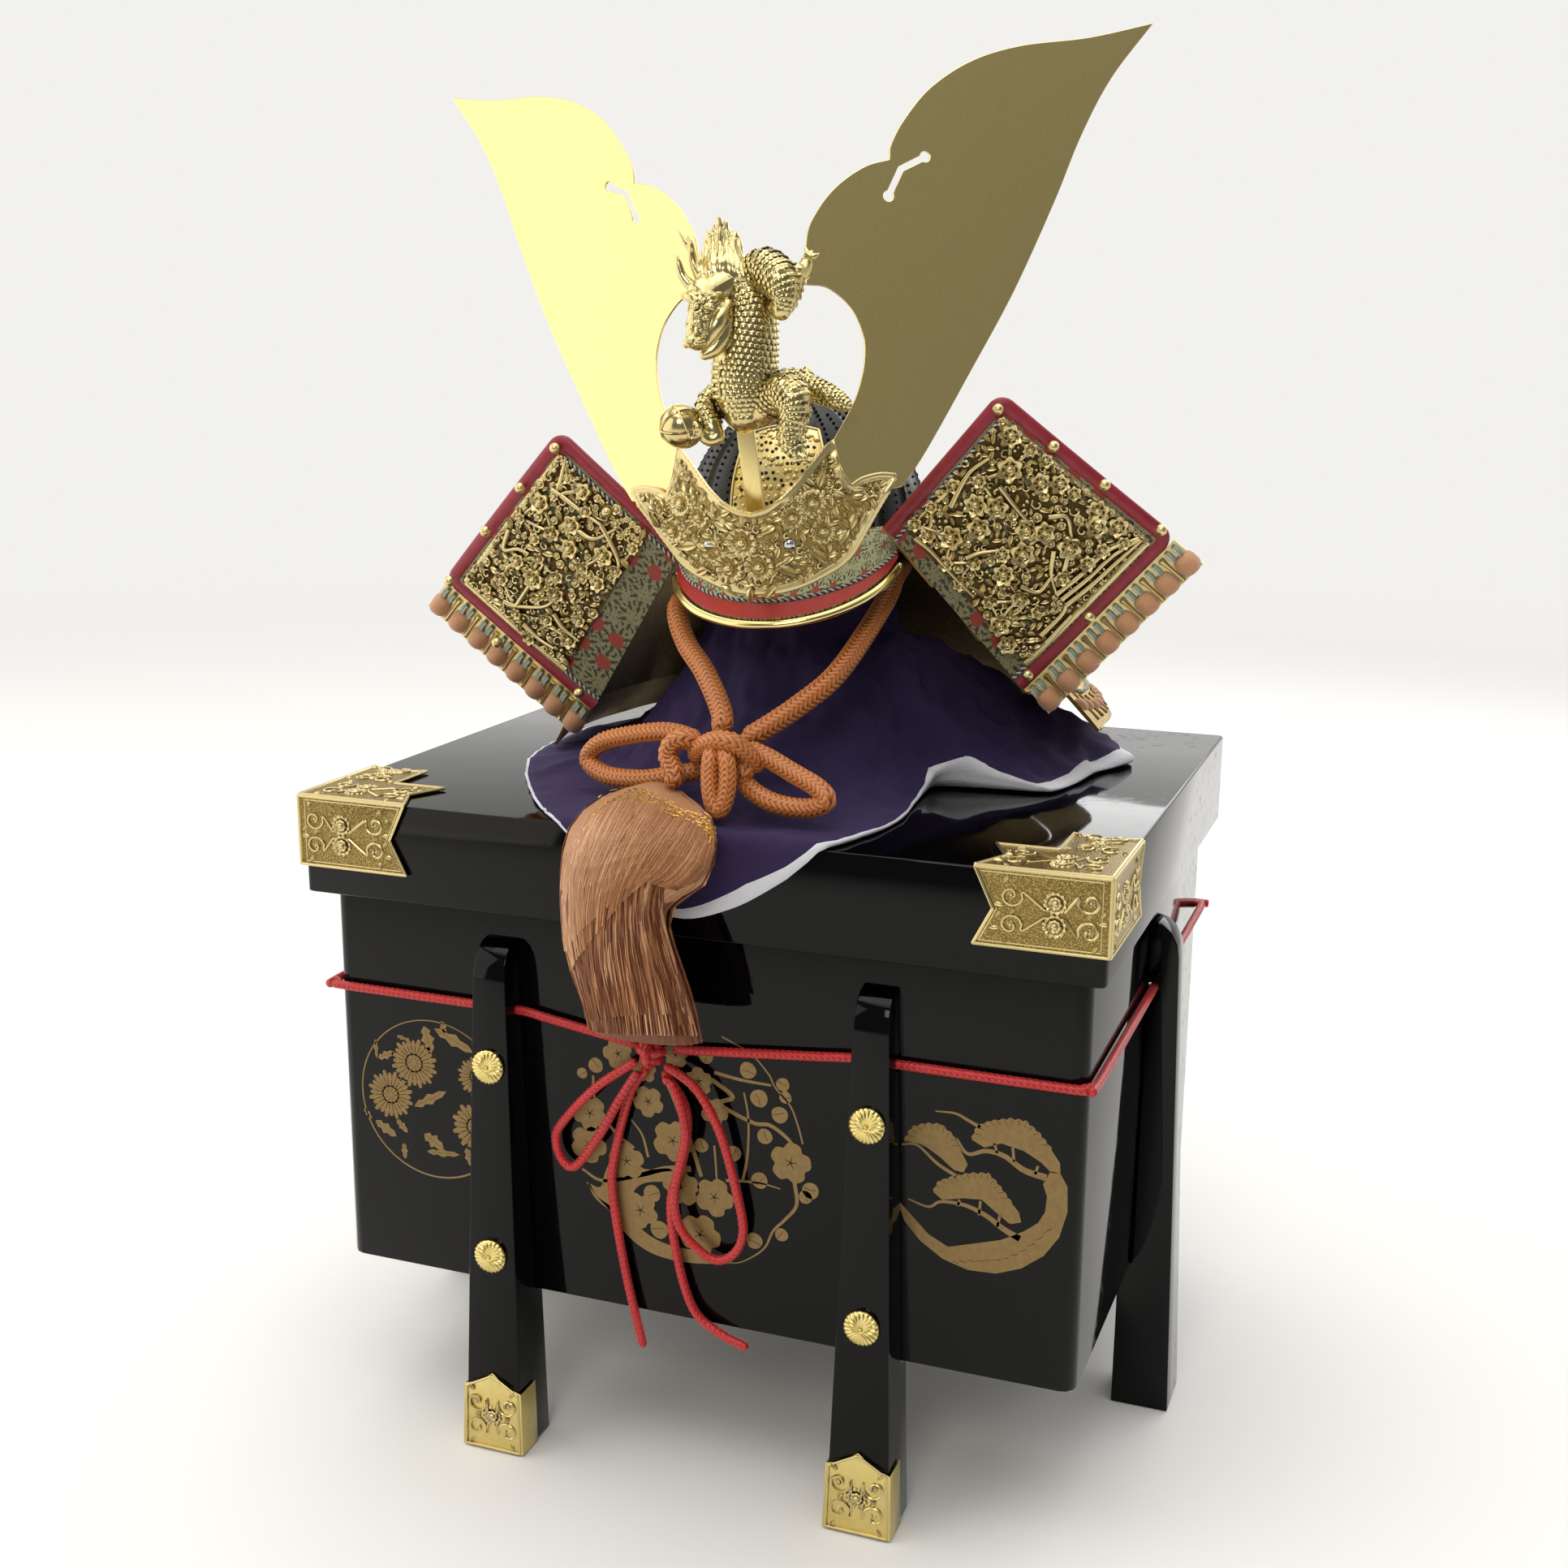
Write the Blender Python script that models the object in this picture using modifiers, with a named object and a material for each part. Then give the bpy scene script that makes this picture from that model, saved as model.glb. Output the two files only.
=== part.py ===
"""Display kabuto on its lacquered armour chest, as separate pieces. Metres, +Z up, the front faces -Y.

The origin is on the floor under the middle of the chest. The helmet is built square in its own frame,
whose zero is on the chest's lid, and its seat then turns and leans it the way it stands.
"""
import math

import bmesh
import bpy
import numpy as np
from mathutils import Matrix, Vector

GAP = 0.0003                # clearance between pieces that touch

# chest
LID_TOP = 0.2702            # height of the lid's top
LID_W = 0.330
LID_D = 0.2689
LID_SKIRT = 0.0398
LID_WALL = 0.0063
LID_PLATE = 0.007
LID_ROUND = 0.003
LID_CLEAR_X = 0.0006         # room between the lid's skirt and the body's sides
LID_CLEAR_Y = 0.0031         # and its front and back
BODY_W = LID_W - 2 * (LID_WALL + LID_CLEAR_X)
BODY_D = LID_D - 2 * (LID_WALL + LID_CLEAR_Y)
BODY_BOTTOM = 0.0664
BODY_WALL = 0.006
BODY_ROUND = 0.006

# legs
LEG_X = 0.0796              # front and back legs, from the middle
LEG_TOP = 0.2185
LEG_SHOULDER = 0.0155       # height of the rounded top
LEG_REACH_TOP = 0.0125      # how far the leg stands out from the wall
LEG_REACH_FOOT = 0.019
LEG_STEP = 0.0055           # ledge under the body
LEG_WIDTH_TOP = 0.0134
LEG_WIDTH_FOOT = 0.026
CAP_SHEET = 0.0007
CAP_CORNER = 0.028
CAP_PEAK = 0.035
STUD_R = 0.0073
STUD_H = 0.003
STUD_UPPER = 0.168
STUD_LOWER = 0.087

# corner fittings of the lid
FIT_SHEET = 0.0008
FIT_DROP = 0.0285
FIT_FRONT = 0.0495
FIT_SIDE = 0.056
FIT_ARM_X = 0.031           # widths of the two arms on top
FIT_ARM_Y = 0.0262
FIT_NOTCH = 0.007

# belt cord round the chest
BELT_D = 0.0039
BELT_Z = 0.189
BELT_KNOT_X = -0.0116
BELT_KNOT_DROP = 0.008
BELT_KNOT_R = 0.0065

# seat of the helmet
SEAT_X = 0.011
SEAT_YAW = math.radians(8.0)
SEAT_LEAN = math.radians(4.27)

# bowl
BOWL_R = 0.0495
BOWL_CENTRE = 0.1081        # height above the lid
BOWL_SKIRT = 0.0118
BOWL_WALL = 0.0012
RIDGES = 16
RIDGE_OUT = 0.0011
FRONT_PLATE_HALF = 0.021
FRONT_PLATE_T = 0.0008

# visor
VISOR_HALF = 0.047
VISOR_REACH = 0.082
VISOR_DROP = 0.0318
VISOR_T = 0.0015
RIM_D = 0.0035

# horns and their socket
HORN_REACH = 0.1413
HORN_RISE = 0.1675
HORN_T = 0.001
HORN_SWEEP = math.radians(27.8)
HORN_LEAN = math.radians(13.5)
HORN_X = 0.040
HORN_Y = -0.078
HORN_H = 0.130
SLOT_W = 0.003
SOCKET_HALF = 0.0525
SOCKET_H = 0.0573
SOCKET_FOOT = 0.0857
SOCKET_T = 0.0014
SOCKET_ROUND = 0.015
SOCKET_BEND = 0.008         # how far under the horns' foot it starts to curve back
FLOWER_R = 0.0046
SCREW_R = 0.0024

# crest
POST_W = 0.007
POST_T = 0.002
POST_TOP = 0.150
POST_X = -0.0014
CREST_H = 0.076
CREST_Y = -0.0905
BALL_R = 0.0068

# turned-back panels
TURN_REACH = 0.1556
TURN_Y = 0.0475
TURN_H = 0.1545
TURN_T = 0.0022
TURN_CROWN = 0.004
TURN_SHIFT = 0.002          # the right one sits higher, the left one lower
EDGING_D = 0.0045
PLATE_T = 0.0012
STRIP_T = 0.0012
PUFF_D = 0.009
PUFFS = 8

# neck guard
NECK_HALF = 0.1225
NECK_BACK = 0.135
NECK_TOP = 0.1035
LAME_T = 0.0013
LAME_TUCK = 0.012           # how far the lowest lame's front stays behind the panel
LAME_STEP = 0.0031          # how far each lame stands out over the one above

# stand and cloth
FOOT_R = 0.034
FOOT_T = 0.006
POLE_R = 0.010
HEAD_R = 0.0305
CLOTH_T = 0.0012
CLOTH_FLARE = 0.0645        # height where the cloth starts to spread
CLOTH_NECK = 0.034
CLOTH_REACH = 0.1685        # how far the hem lies out at the front
PLEAT = 0.0018

# chin cord and tassel
CHIN_D = 0.009
BOW_D = 0.008
KNOT_R = 0.0085
TASSEL_LEN = 0.107
TASSEL_HALF = 0.031

MAIN = "kabuto"
HELPERS = "helpers"

FINISHES = {
    "black lacquer": ("141314", 0.18, 0.0),
    "gilt brass": ("c9a24b", 0.30, 1.0),
    "cast gilt": ("a98f52", 0.45, 1.0),
    "dark iron": ("17181b", 0.38, 0.6),
    "printed leather": ("8f9576", 0.60, 0.0),
    "panel cloth": ("3d3a2c", 0.70, 0.0),
    "crimson leather": ("7d1c2c", 0.50, 0.0),
    "orange cord": ("b5622c", 0.75, 0.0),
    "red cord": ("a8252a", 0.70, 0.0),
    "orange silk": ("c9702f", 0.80, 0.0),
    "purple cloth": ("2c1d44", 0.90, 0.0),
    "copper silk": ("8a5638", 0.45, 0.0),
    "plain wood": ("8a6a44", 0.60, 0.0),
    "laced scales": ("6d5126", 0.55, 0.3),
}


def clear_scene():
    for obj in list(bpy.data.objects):
        bpy.data.objects.remove(obj, do_unlink=True)
    for name in (MAIN, HELPERS):
        group = bpy.data.collections.new(name)
        bpy.context.scene.collection.children.link(group)
    bpy.data.collections[HELPERS].hide_render = True


def linear(channel):
    return channel / 12.92 if channel <= 0.04045 else ((channel + 0.055) / 1.055) ** 2.4


def finish_material(piece, finish):
    colour, roughness, metallic = FINISHES[finish]
    material = bpy.data.materials.new(f"{piece} {finish}")
    material.use_nodes = True
    shader = material.node_tree.nodes["Principled BSDF"]
    rgb = [linear(int(colour[i:i + 2], 16) / 255) for i in (0, 2, 4)]
    shader.inputs["Base Color"].default_value = (*rgb, 1)
    shader.inputs["Roughness"].default_value = roughness
    shader.inputs["Metallic"].default_value = metallic
    material.diffuse_color = (*rgb, 1)
    return material


def add_part(name, data, finish, seat=None, smooth=True):
    obj = bpy.data.objects.new(name, data)
    bpy.data.collections[MAIN].objects.link(obj)
    if not data.materials:
        data.materials.append(finish_material(name, finish))
    if seat is not None:
        obj.parent = seat
    if smooth and isinstance(data, bpy.types.Mesh):
        data.shade_smooth()
        data.set_sharp_from_angle(angle=math.radians(35))
    return obj


def add_helper(name, data, group=None):
    obj = bpy.data.objects.new(name, data)
    (group or bpy.data.collections[HELPERS]).objects.link(obj)
    obj.hide_render = True
    obj.display_type = "WIRE"
    return obj


def mesh_from(bm, name):
    bmesh.ops.delete(bm, geom=[v for v in bm.verts if not v.link_faces], context="VERTS")
    mesh = bpy.data.meshes.new(name)
    bm.to_mesh(mesh)
    bm.free()
    return mesh


def thicken(obj, thickness, offset=0.0):
    shell = obj.modifiers.new("wall", "SOLIDIFY")
    shell.thickness = thickness
    shell.offset = offset
    shell.use_even_offset = True
    return obj


def sheet_mesh(name, rows, wrap=False, tip=None, holes=()):
    """An open surface through rows of points; each four-sided cell is split along its higher diagonal."""
    bm = bmesh.new()
    grid = [[bm.verts.new(point) for point in row] for row in rows]
    count = len(rows[0])
    for j in range(len(rows) - 1):
        for i in range(count if wrap else count - 1):
            if (j, i) in holes:
                continue
            k = (i + 1) % count
            a, b, c, d = grid[j][i], grid[j][k], grid[j + 1][k], grid[j + 1][i]
            if a.co.z + c.co.z > b.co.z + d.co.z:
                bm.faces.new((a, b, c))
                bm.faces.new((a, c, d))
            else:
                bm.faces.new((a, b, d))
                bm.faces.new((b, c, d))
    if tip is not None:
        point = bm.verts.new(tip)
        for i in range(count):
            bm.faces.new((point, grid[0][(i + 1) % count], grid[0][i]))
    return mesh_from(bm, name)


def loft_mesh(name, rings):
    """A closed solid through rings of the same number of points."""
    bm = bmesh.new()
    loops = [[bm.verts.new(point) for point in ring] for ring in rings]
    count = len(loops[0])
    for low, high in zip(loops, loops[1:]):
        for i in range(count):
            k = (i + 1) % count
            bm.faces.new((low[i], low[k], high[k], high[i]))
    bm.faces.new(loops[0][::-1])
    bm.faces.new(loops[-1])
    bmesh.ops.recalc_face_normals(bm, faces=bm.faces)
    return mesh_from(bm, name)


def swept_mesh(name, path, halves, sides=8, flutes=0.0, across=(1, 0, 0)):
    """Elliptical sections along a path. halves holds (half width, half depth) for each point of it."""
    points = [Vector(p) for p in path]
    rings = []
    across = Vector(across)
    for i, point in enumerate(points):
        tangent = (points[min(i + 1, len(points) - 1)] - points[max(i - 1, 0)]).normalized()
        side = across - tangent * across.dot(tangent)
        side.normalize()
        up = tangent.cross(side)
        wide, deep = halves[i]
        ring = []
        for k in range(sides):
            turn = 2 * math.pi * k / sides
            out = 1 - flutes * (k % 2)
            ring.append(point + side * (wide * out * math.cos(turn)) + up * (deep * out * math.sin(turn)))
        rings.append(ring)
    return loft_mesh(name, rings)


def prism_mesh(name, outline, depth):
    """A flat outline pushed along a vector."""
    depth = Vector(depth)
    return loft_mesh(name, [[Vector(p) for p in outline], [Vector(p) + depth for p in outline]])


def box_mesh(name, low, high):
    bm = bmesh.new()
    bmesh.ops.create_cube(bm, size=1.0)
    low, high = Vector(low), Vector(high)
    for v in bm.verts:
        v.co = Vector([(low[i] + high[i]) / 2 + v.co[i] * (high[i] - low[i]) for i in range(3)])
    return mesh_from(bm, name)


def rounded_box_mesh(name, low, high, radius, segments=3):
    """A box whose upright edges are rounded."""
    mesh = box_mesh(name, low, high)
    bm = bmesh.new()
    bm.from_mesh(mesh)
    upright = [e for e in bm.edges if abs(e.verts[0].co.z - e.verts[1].co.z) > 1e-6]
    bmesh.ops.bevel(bm, geom=upright, offset=radius, segments=segments, profile=0.5, affect="EDGES")
    bm.to_mesh(mesh)
    bm.free()
    return mesh


def ball_mesh(name, centre, halves, across=10, down=6):
    bm = bmesh.new()
    bmesh.ops.create_uvsphere(bm, u_segments=across, v_segments=down, radius=1.0)
    for v in bm.verts:
        v.co = Vector([centre[i] + v.co[i] * halves[i] for i in range(3)])
    return mesh_from(bm, name)


def flower_mesh(name, radius, height, petals, sink=0.0):
    """A flower boss with its back at z = -sink: a rim of round petals and a raised heart."""
    def ring(share, z, depth):
        turns = [math.pi * k / petals for k in range(2 * petals)]
        reach = [radius * share * (1 - depth * (k % 2)) for k in range(2 * petals)]
        return [(r * math.cos(t), r * math.sin(t), z) for r, t in zip(reach, turns)]
    middle = [] if sink else [ring(0.90, height * 0.70, 0.16)]
    return loft_mesh(name, [ring(1.0, -sink, 0.16), *middle, ring(0.30, height, 0.0)])


def fuse(obj, helpers, itself=False):
    """Joins helper meshes onto the object with one Boolean union; itself says that a helper crosses itself."""
    group = bpy.data.collections.new(f"{obj.name} pieces")
    bpy.data.collections[HELPERS].children.link(group)
    for i, (mesh, matrix) in enumerate(helpers):
        piece = add_helper(f"{obj.name} piece {i}", mesh, group)
        if obj.parent is not None:
            piece.parent = obj.parent
        piece.matrix_local = matrix or Matrix.Identity(4)
    union = obj.modifiers.new("join", "BOOLEAN")
    union.operation = "UNION"
    union.operand_type = "COLLECTION"
    union.collection = group
    union.solver = "EXACT"
    union.use_self = itself
    return obj


def carve(obj, mesh):
    cutter = add_helper(f"{obj.name} cutter {len(obj.modifiers)}", mesh)
    if obj.parent is not None:
        cutter.parent = obj.parent
    cut = obj.modifiers.new("cut", "BOOLEAN")
    cut.operation = "DIFFERENCE"
    cut.object = cutter
    cut.solver = "EXACT"
    return obj


def smooth_route(points, step):
    """Points every step or so along a smooth curve through the given ones."""
    pts = [np.array(p, float) for p in points]
    pts = [2 * pts[0] - pts[1]] + pts + [2 * pts[-1] - pts[-2]]
    route = []
    for a, b, c, d in zip(pts, pts[1:], pts[2:], pts[3:]):
        count = max(1, round(float(np.linalg.norm(c - b)) / step))
        for k in range(count):
            t = k / count
            route.append(0.5 * ((2 * b) + (c - a) * t + (2 * a - 5 * b + 4 * c - d) * t ** 2
                                + (3 * b - a - 3 * c + d) * t ** 3))
    route.append(pts[-2])
    return route


def add_tube(name, points, diameter, finish, seat=None):
    curve = bpy.data.curves.new(name, "CURVE")
    curve.dimensions = "3D"
    curve.bevel_depth = diameter / 2
    curve.bevel_resolution = 2
    curve.use_fill_caps = True
    line = curve.splines.new("POLY")
    line.points.add(len(points) - 1)
    for dot, point in zip(line.points, points):
        dot.co = (*[float(c) for c in point], 1)
    line.use_smooth = True
    return add_part(name, curve, finish, seat)


def add_plate(name, outlines, thickness, basis, finish, seat=None):
    """A flat plate from closed outlines; basis places its plane."""
    curve = bpy.data.curves.new(name, "CURVE")
    curve.dimensions = "2D"
    curve.fill_mode = "BOTH"
    curve.extrude = thickness / 2
    for outline in outlines:
        line = curve.splines.new("POLY")
        line.points.add(len(outline) - 1)
        for dot, point in zip(line.points, outline):
            dot.co = (point[0], point[1], 0, 1)
        line.use_cyclic_u = True
    obj = add_part(name, curve, finish, seat)
    obj.matrix_local = basis
    return obj


def frame_at(origin, x_axis, z_axis):
    """Matrix whose z is z_axis and whose x lies nearest x_axis."""
    z_axis = Vector(z_axis).normalized()
    x_axis = Vector(x_axis)
    x_axis = (x_axis - z_axis * x_axis.dot(z_axis)).normalized()
    y_axis = z_axis.cross(x_axis)
    return Matrix.LocRotScale(Vector(origin), Matrix((x_axis, y_axis, z_axis)).transposed(), None)


def mirrored(points):
    return [(-p[0], *p[1:]) for p in points]


# Chest

def build_chest():
    body = add_part("chest_body", rounded_box_mesh(
        "chest_body", (-BODY_W / 2, -BODY_D / 2, BODY_BOTTOM),
        (BODY_W / 2, BODY_D / 2, LID_TOP - LID_PLATE - GAP), BODY_ROUND), "black lacquer")
    carve(body, box_mesh(
        "chest hollow", (-BODY_W / 2 + BODY_WALL, -BODY_D / 2 + BODY_WALL, BODY_BOTTOM + BODY_WALL),
        (BODY_W / 2 - BODY_WALL, BODY_D / 2 - BODY_WALL, LID_TOP)))
    lid = add_part("chest_lid", rounded_box_mesh(
        "chest_lid", (-LID_W / 2, -LID_D / 2, LID_TOP - LID_SKIRT), (LID_W / 2, LID_D / 2, LID_TOP),
        LID_ROUND, 2), "black lacquer")
    carve(lid, box_mesh(
        "lid hollow", (-LID_W / 2 + LID_WALL, -LID_D / 2 + LID_WALL, LID_TOP - LID_SKIRT - 0.01),
        (LID_W / 2 - LID_WALL, LID_D / 2 - LID_WALL, LID_TOP - LID_PLATE)))


def leg_width(z):
    return LEG_WIDTH_FOOT + (LEG_WIDTH_TOP - LEG_WIDTH_FOOT) * z / LEG_TOP


def leg_reach(z):
    return LEG_REACH_FOOT + (LEG_REACH_TOP - LEG_REACH_FOOT) * z / (LEG_TOP - LEG_SHOULDER)


def leg_mesh():
    """A leg that stands against a wall at y = 0, outward along -Y."""
    notch = BELT_D * 0.7
    depth = BELT_D + 0.0013
    profile = [(-LEG_STEP, 0), (leg_reach(0), 0)]
    for k in range(5):
        turn = math.pi / 2 * k / 4
        profile.append((GAP + (LEG_REACH_TOP - GAP) * math.cos(turn),
                        LEG_TOP - LEG_SHOULDER + LEG_SHOULDER * math.sin(turn)))
    profile += [(GAP, BELT_Z + notch), (depth, BELT_Z + notch), (depth, BELT_Z - notch), (GAP, BELT_Z - notch),
                (GAP, BODY_BOTTOM - GAP), (-LEG_STEP, BODY_BOTTOM - GAP)]
    rings = [[(side * leg_width(z) / 2, -out, z) for out, z in profile] for side in (-1, 1)]
    return loft_mesh("leg", rings)


def wall_frame(x, y, turn):
    return Matrix.Translation((x, y, 0)) @ Matrix.Rotation(turn, 4, "Z")


LEG_PLACES = {
    "leg_front_left": (-LEG_X, -BODY_D / 2, 0),
    "leg_front_right": (LEG_X, -BODY_D / 2, 0),
    "leg_back_left": (-LEG_X, BODY_D / 2, math.pi),
    "leg_back_right": (LEG_X, BODY_D / 2, math.pi),
    "leg_side_left": (-BODY_W / 2, 0, -math.pi / 2),
    "leg_side_right": (BODY_W / 2, 0, math.pi / 2),
}


def build_legs():
    for name, (x, y, turn) in LEG_PLACES.items():
        leg = add_part(name, leg_mesh(), "black lacquer")
        leg.matrix_world = wall_frame(x, y, turn)


def foot_cap_mesh():
    """A thin shoe round the front and sides of a foot, its upper edge drawn up to a peak."""
    skin = GAP + CAP_SHEET / 2
    stations = [(-1, 0.35, CAP_CORNER), (-1, 1, CAP_CORNER), (-0.5, 1, (2 * CAP_CORNER + CAP_PEAK) / 3),
                (0, 1, CAP_PEAK), (0.5, 1, (2 * CAP_CORNER + CAP_PEAK) / 3), (1, 1, CAP_CORNER),
                (1, 0.35, CAP_CORNER)]
    rows = []
    for level in (0, 1):
        row = []
        for across, out, top in stations:
            z = top if level else CAP_SHEET
            x = across * leg_width(z) / 2
            x += math.copysign(skin, across) if abs(across) == 1 else 0
            row.append((x, -(leg_reach(z) * out + (skin if out == 1 else 0)), z))
        rows.append(row)
    return sheet_mesh("foot cap", rows)


def build_leg_trim():
    tilt = math.atan((LEG_REACH_FOOT - LEG_REACH_TOP) / (LEG_TOP - LEG_SHOULDER))
    for side, sign in (("left", -1), ("right", 1)):
        place = wall_frame(sign * LEG_X, -BODY_D / 2, 0)
        cap = add_part(f"foot_cap_{side}", foot_cap_mesh(), "cast gilt", smooth=False)
        cap.matrix_world = place
        thicken(cap, CAP_SHEET)
        for level, z in (("upper", STUD_UPPER), ("lower", STUD_LOWER)):
            stud = add_part(f"stud_{level}_{side}", flower_mesh("stud", STUD_R, STUD_H, 10), "gilt brass")
            out = Vector((0, -math.cos(tilt), math.sin(tilt)))
            foot = Vector((0, -leg_reach(z), z)) + out * GAP
            stud.matrix_world = place @ frame_at(foot, (1, 0, 0), out)


def corner_fitting_parts(side):
    """Front, side and top leaves of one corner fitting as prisms that share their edges."""
    x0 = LID_W / 2 + GAP
    y0 = LID_D / 2 + GAP
    top = LID_TOP + GAP
    x1, y1, t = x0 + FIT_SHEET, y0 + FIT_SHEET, FIT_SHEET
    low, mid = LID_TOP - FIT_DROP, LID_TOP - FIT_DROP / 2
    front = [(x1, -y0, low), (x1 - FIT_FRONT, -y0, low), (x1 - FIT_FRONT + FIT_NOTCH, -y0, mid),
             (x1 - FIT_FRONT, -y0, top + t), (x1, -y0, top + t)]
    flank = [(x0, -y1, low), (x0, -y1 + FIT_SIDE, low), (x0, -y1 + FIT_SIDE - FIT_NOTCH, mid),
             (x0, -y1 + FIT_SIDE, top + t), (x0, -y1, top + t)]
    cover = [(x1, -y1, top), (x1 - FIT_FRONT, -y1, top), (x1 - FIT_FRONT + FIT_NOTCH, -y1 + FIT_ARM_X / 2, top),
             (x1 - FIT_FRONT, -y1 + FIT_ARM_X, top), (x1 - FIT_ARM_Y, -y1 + FIT_ARM_X, top),
             (x1 - FIT_ARM_Y, -y1 + FIT_SIDE, top), (x1 - FIT_ARM_Y / 2, -y1 + FIT_SIDE - FIT_NOTCH, top),
             (x1, -y1 + FIT_SIDE, top)]
    leaves = [(front, (0, -t, 0)), (flank, (t, 0, 0)), (cover, (0, 0, t))]
    if side < 0:
        leaves = [(mirrored(outline), mirrored([push])[0]) for outline, push in leaves]
    return [prism_mesh("leaf", outline, push) for outline, push in leaves]


def build_corner_fittings():
    for name, sign in (("left", -1), ("right", 1)):
        front, flank, cover = corner_fitting_parts(sign)
        fitting = add_part(f"corner_fitting_{name}", cover, "cast gilt", smooth=False)
        fuse(fitting, [(front, None), (flank, None)])


def belt_route():
    """Once round the chest, from the knot's right side through the legs' notches back to its left side."""
    out = BELT_D / 2 + 0.0007
    hx, hy = BODY_W / 2 + out, BODY_D / 2 + out
    bend = BODY_ROUND + out
    leg_side = leg_width(BELT_Z) / 2 + BELT_D / 2
    knot_z = BELT_Z - BELT_KNOT_DROP
    start = BELT_KNOT_X + BELT_KNOT_R + GAP + BELT_D * 0.2
    end = BELT_KNOT_X - BELT_KNOT_R - GAP - BELT_D * 0.2
    points = []
    for k in range(5):
        t = k / 5
        points.append((start + (LEG_X - leg_side - start) * t, -hy, knot_z + (BELT_Z - knot_z) * (0.1 + 0.9 * t)))
    points += [(LEG_X - leg_side, -hy, BELT_Z), (LEG_X + leg_side, -hy, BELT_Z)]
    corners = [(1, -1, -90), (1, 1, 0), (-1, 1, 90), (-1, -1, 180)]
    for cx, cy, first in corners:
        for k in range(4):
            turn = math.radians(first + 30 * k)
            points.append((cx * (hx - bend) + bend * math.cos(turn), cy * (hy - bend) + bend * math.sin(turn),
                           BELT_Z))
        if (cx, cy) == (1, -1):
            points.append((hx, 0, BELT_Z))
        if (cx, cy) == (1, 1):
            points.append((0, hy, BELT_Z))
        if (cx, cy) == (-1, 1):
            points.append((-hx, 0, BELT_Z))
    points += [(-LEG_X - leg_side, -hy, BELT_Z), (-LEG_X + leg_side, -hy, BELT_Z)]
    for k in range(4, -1, -1):
        t = k / 5
        points.append((end + (-LEG_X + leg_side - end) * t, -hy, knot_z + (BELT_Z - knot_z) * (0.1 + 0.9 * t)))
    return points


# Bow of the belt cord, as (x, step out from the wall, height) from the knot; a step is one cord's thickness.
BELT_BOW = {
    "belt_bow_left": [(-0.0060, 1.05, -0.0040), (-0.0240, 1.3, -0.0180), (-0.0400, 0.8, -0.0360),
                      (-0.0437, 0.4, -0.0440), (-0.0418, 0.3, -0.0520), (-0.0354, 0.5, -0.0545),
                      (-0.0235, 1.0, -0.0390), (-0.0133, 1.3, -0.0212), (-0.0055, 1.1, -0.0085)],
    "belt_bow_right": [(0.0060, 1.1, -0.0040), (0.0150, 1.3, -0.0080), (0.0211, 1.2, -0.0136),
                       (0.0290, 0.8, -0.0300), (0.0351, 0.4, -0.0546), (0.0375, 0.3, -0.0706),
                       (0.0330, 0.3, -0.0810), (0.0240, 0.4, -0.0839), (0.0122, 0.8, -0.0731),
                       (0.0099, 1.2, -0.0569), (0.0150, 1.3, -0.0318), (0.0110, 1.25, -0.0140),
                       (0.0055, 1.1, -0.0090)],
    "belt_tail_left": [(-0.0035, 0.15, -0.0080), (-0.0110, 0.1, -0.0200), (-0.0183, 0.05, -0.0471),
                       (-0.0196, 0.0, -0.0641), (-0.0144, 0.0, -0.0971), (-0.0067, 0.0, -0.1298)],
    "belt_tail_right": [(0.0035, 0.15, -0.0080), (0.0130, 0.1, -0.0230), (0.0120, 0.05, -0.0420),
                        (0.0060, 0.0, -0.0640), (0.0093, 0.0, -0.0901), (0.0162, 0.0, -0.1093),
                        (0.0274, 0.0, -0.1170), (0.0393, 0.0, -0.1209)],
}


def build_belt():
    add_tube("belt_cord", belt_route(), BELT_D, "red cord")
    wall = -BODY_D / 2 - BELT_D / 2 - 0.0006
    knot_z = BELT_Z - BELT_KNOT_DROP
    centre = (BELT_KNOT_X, -BODY_D / 2 - GAP - BELT_KNOT_R * 0.9, knot_z)
    add_part("belt_knot", ball_mesh("belt_knot", centre,
                                    (BELT_KNOT_R, BELT_KNOT_R * 0.9, BELT_KNOT_R)), "red cord")
    for name, table in BELT_BOW.items():
        points = [(BELT_KNOT_X + x, wall - step * (BELT_D + 0.0006), knot_z + h) for x, step, h in table]
        add_tube(name, smooth_route(points, 3 * BELT_D), BELT_D, "red cord")


# Stand and cloth

# Sections of the stand's padded head: share of the cloth's height, share of the head's radius.
HEAD_ROWS = [(0.985, 0.36), (0.95, 0.66), (0.90, 0.87), (0.82, 1.0), (0.74, 1.0)]

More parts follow.
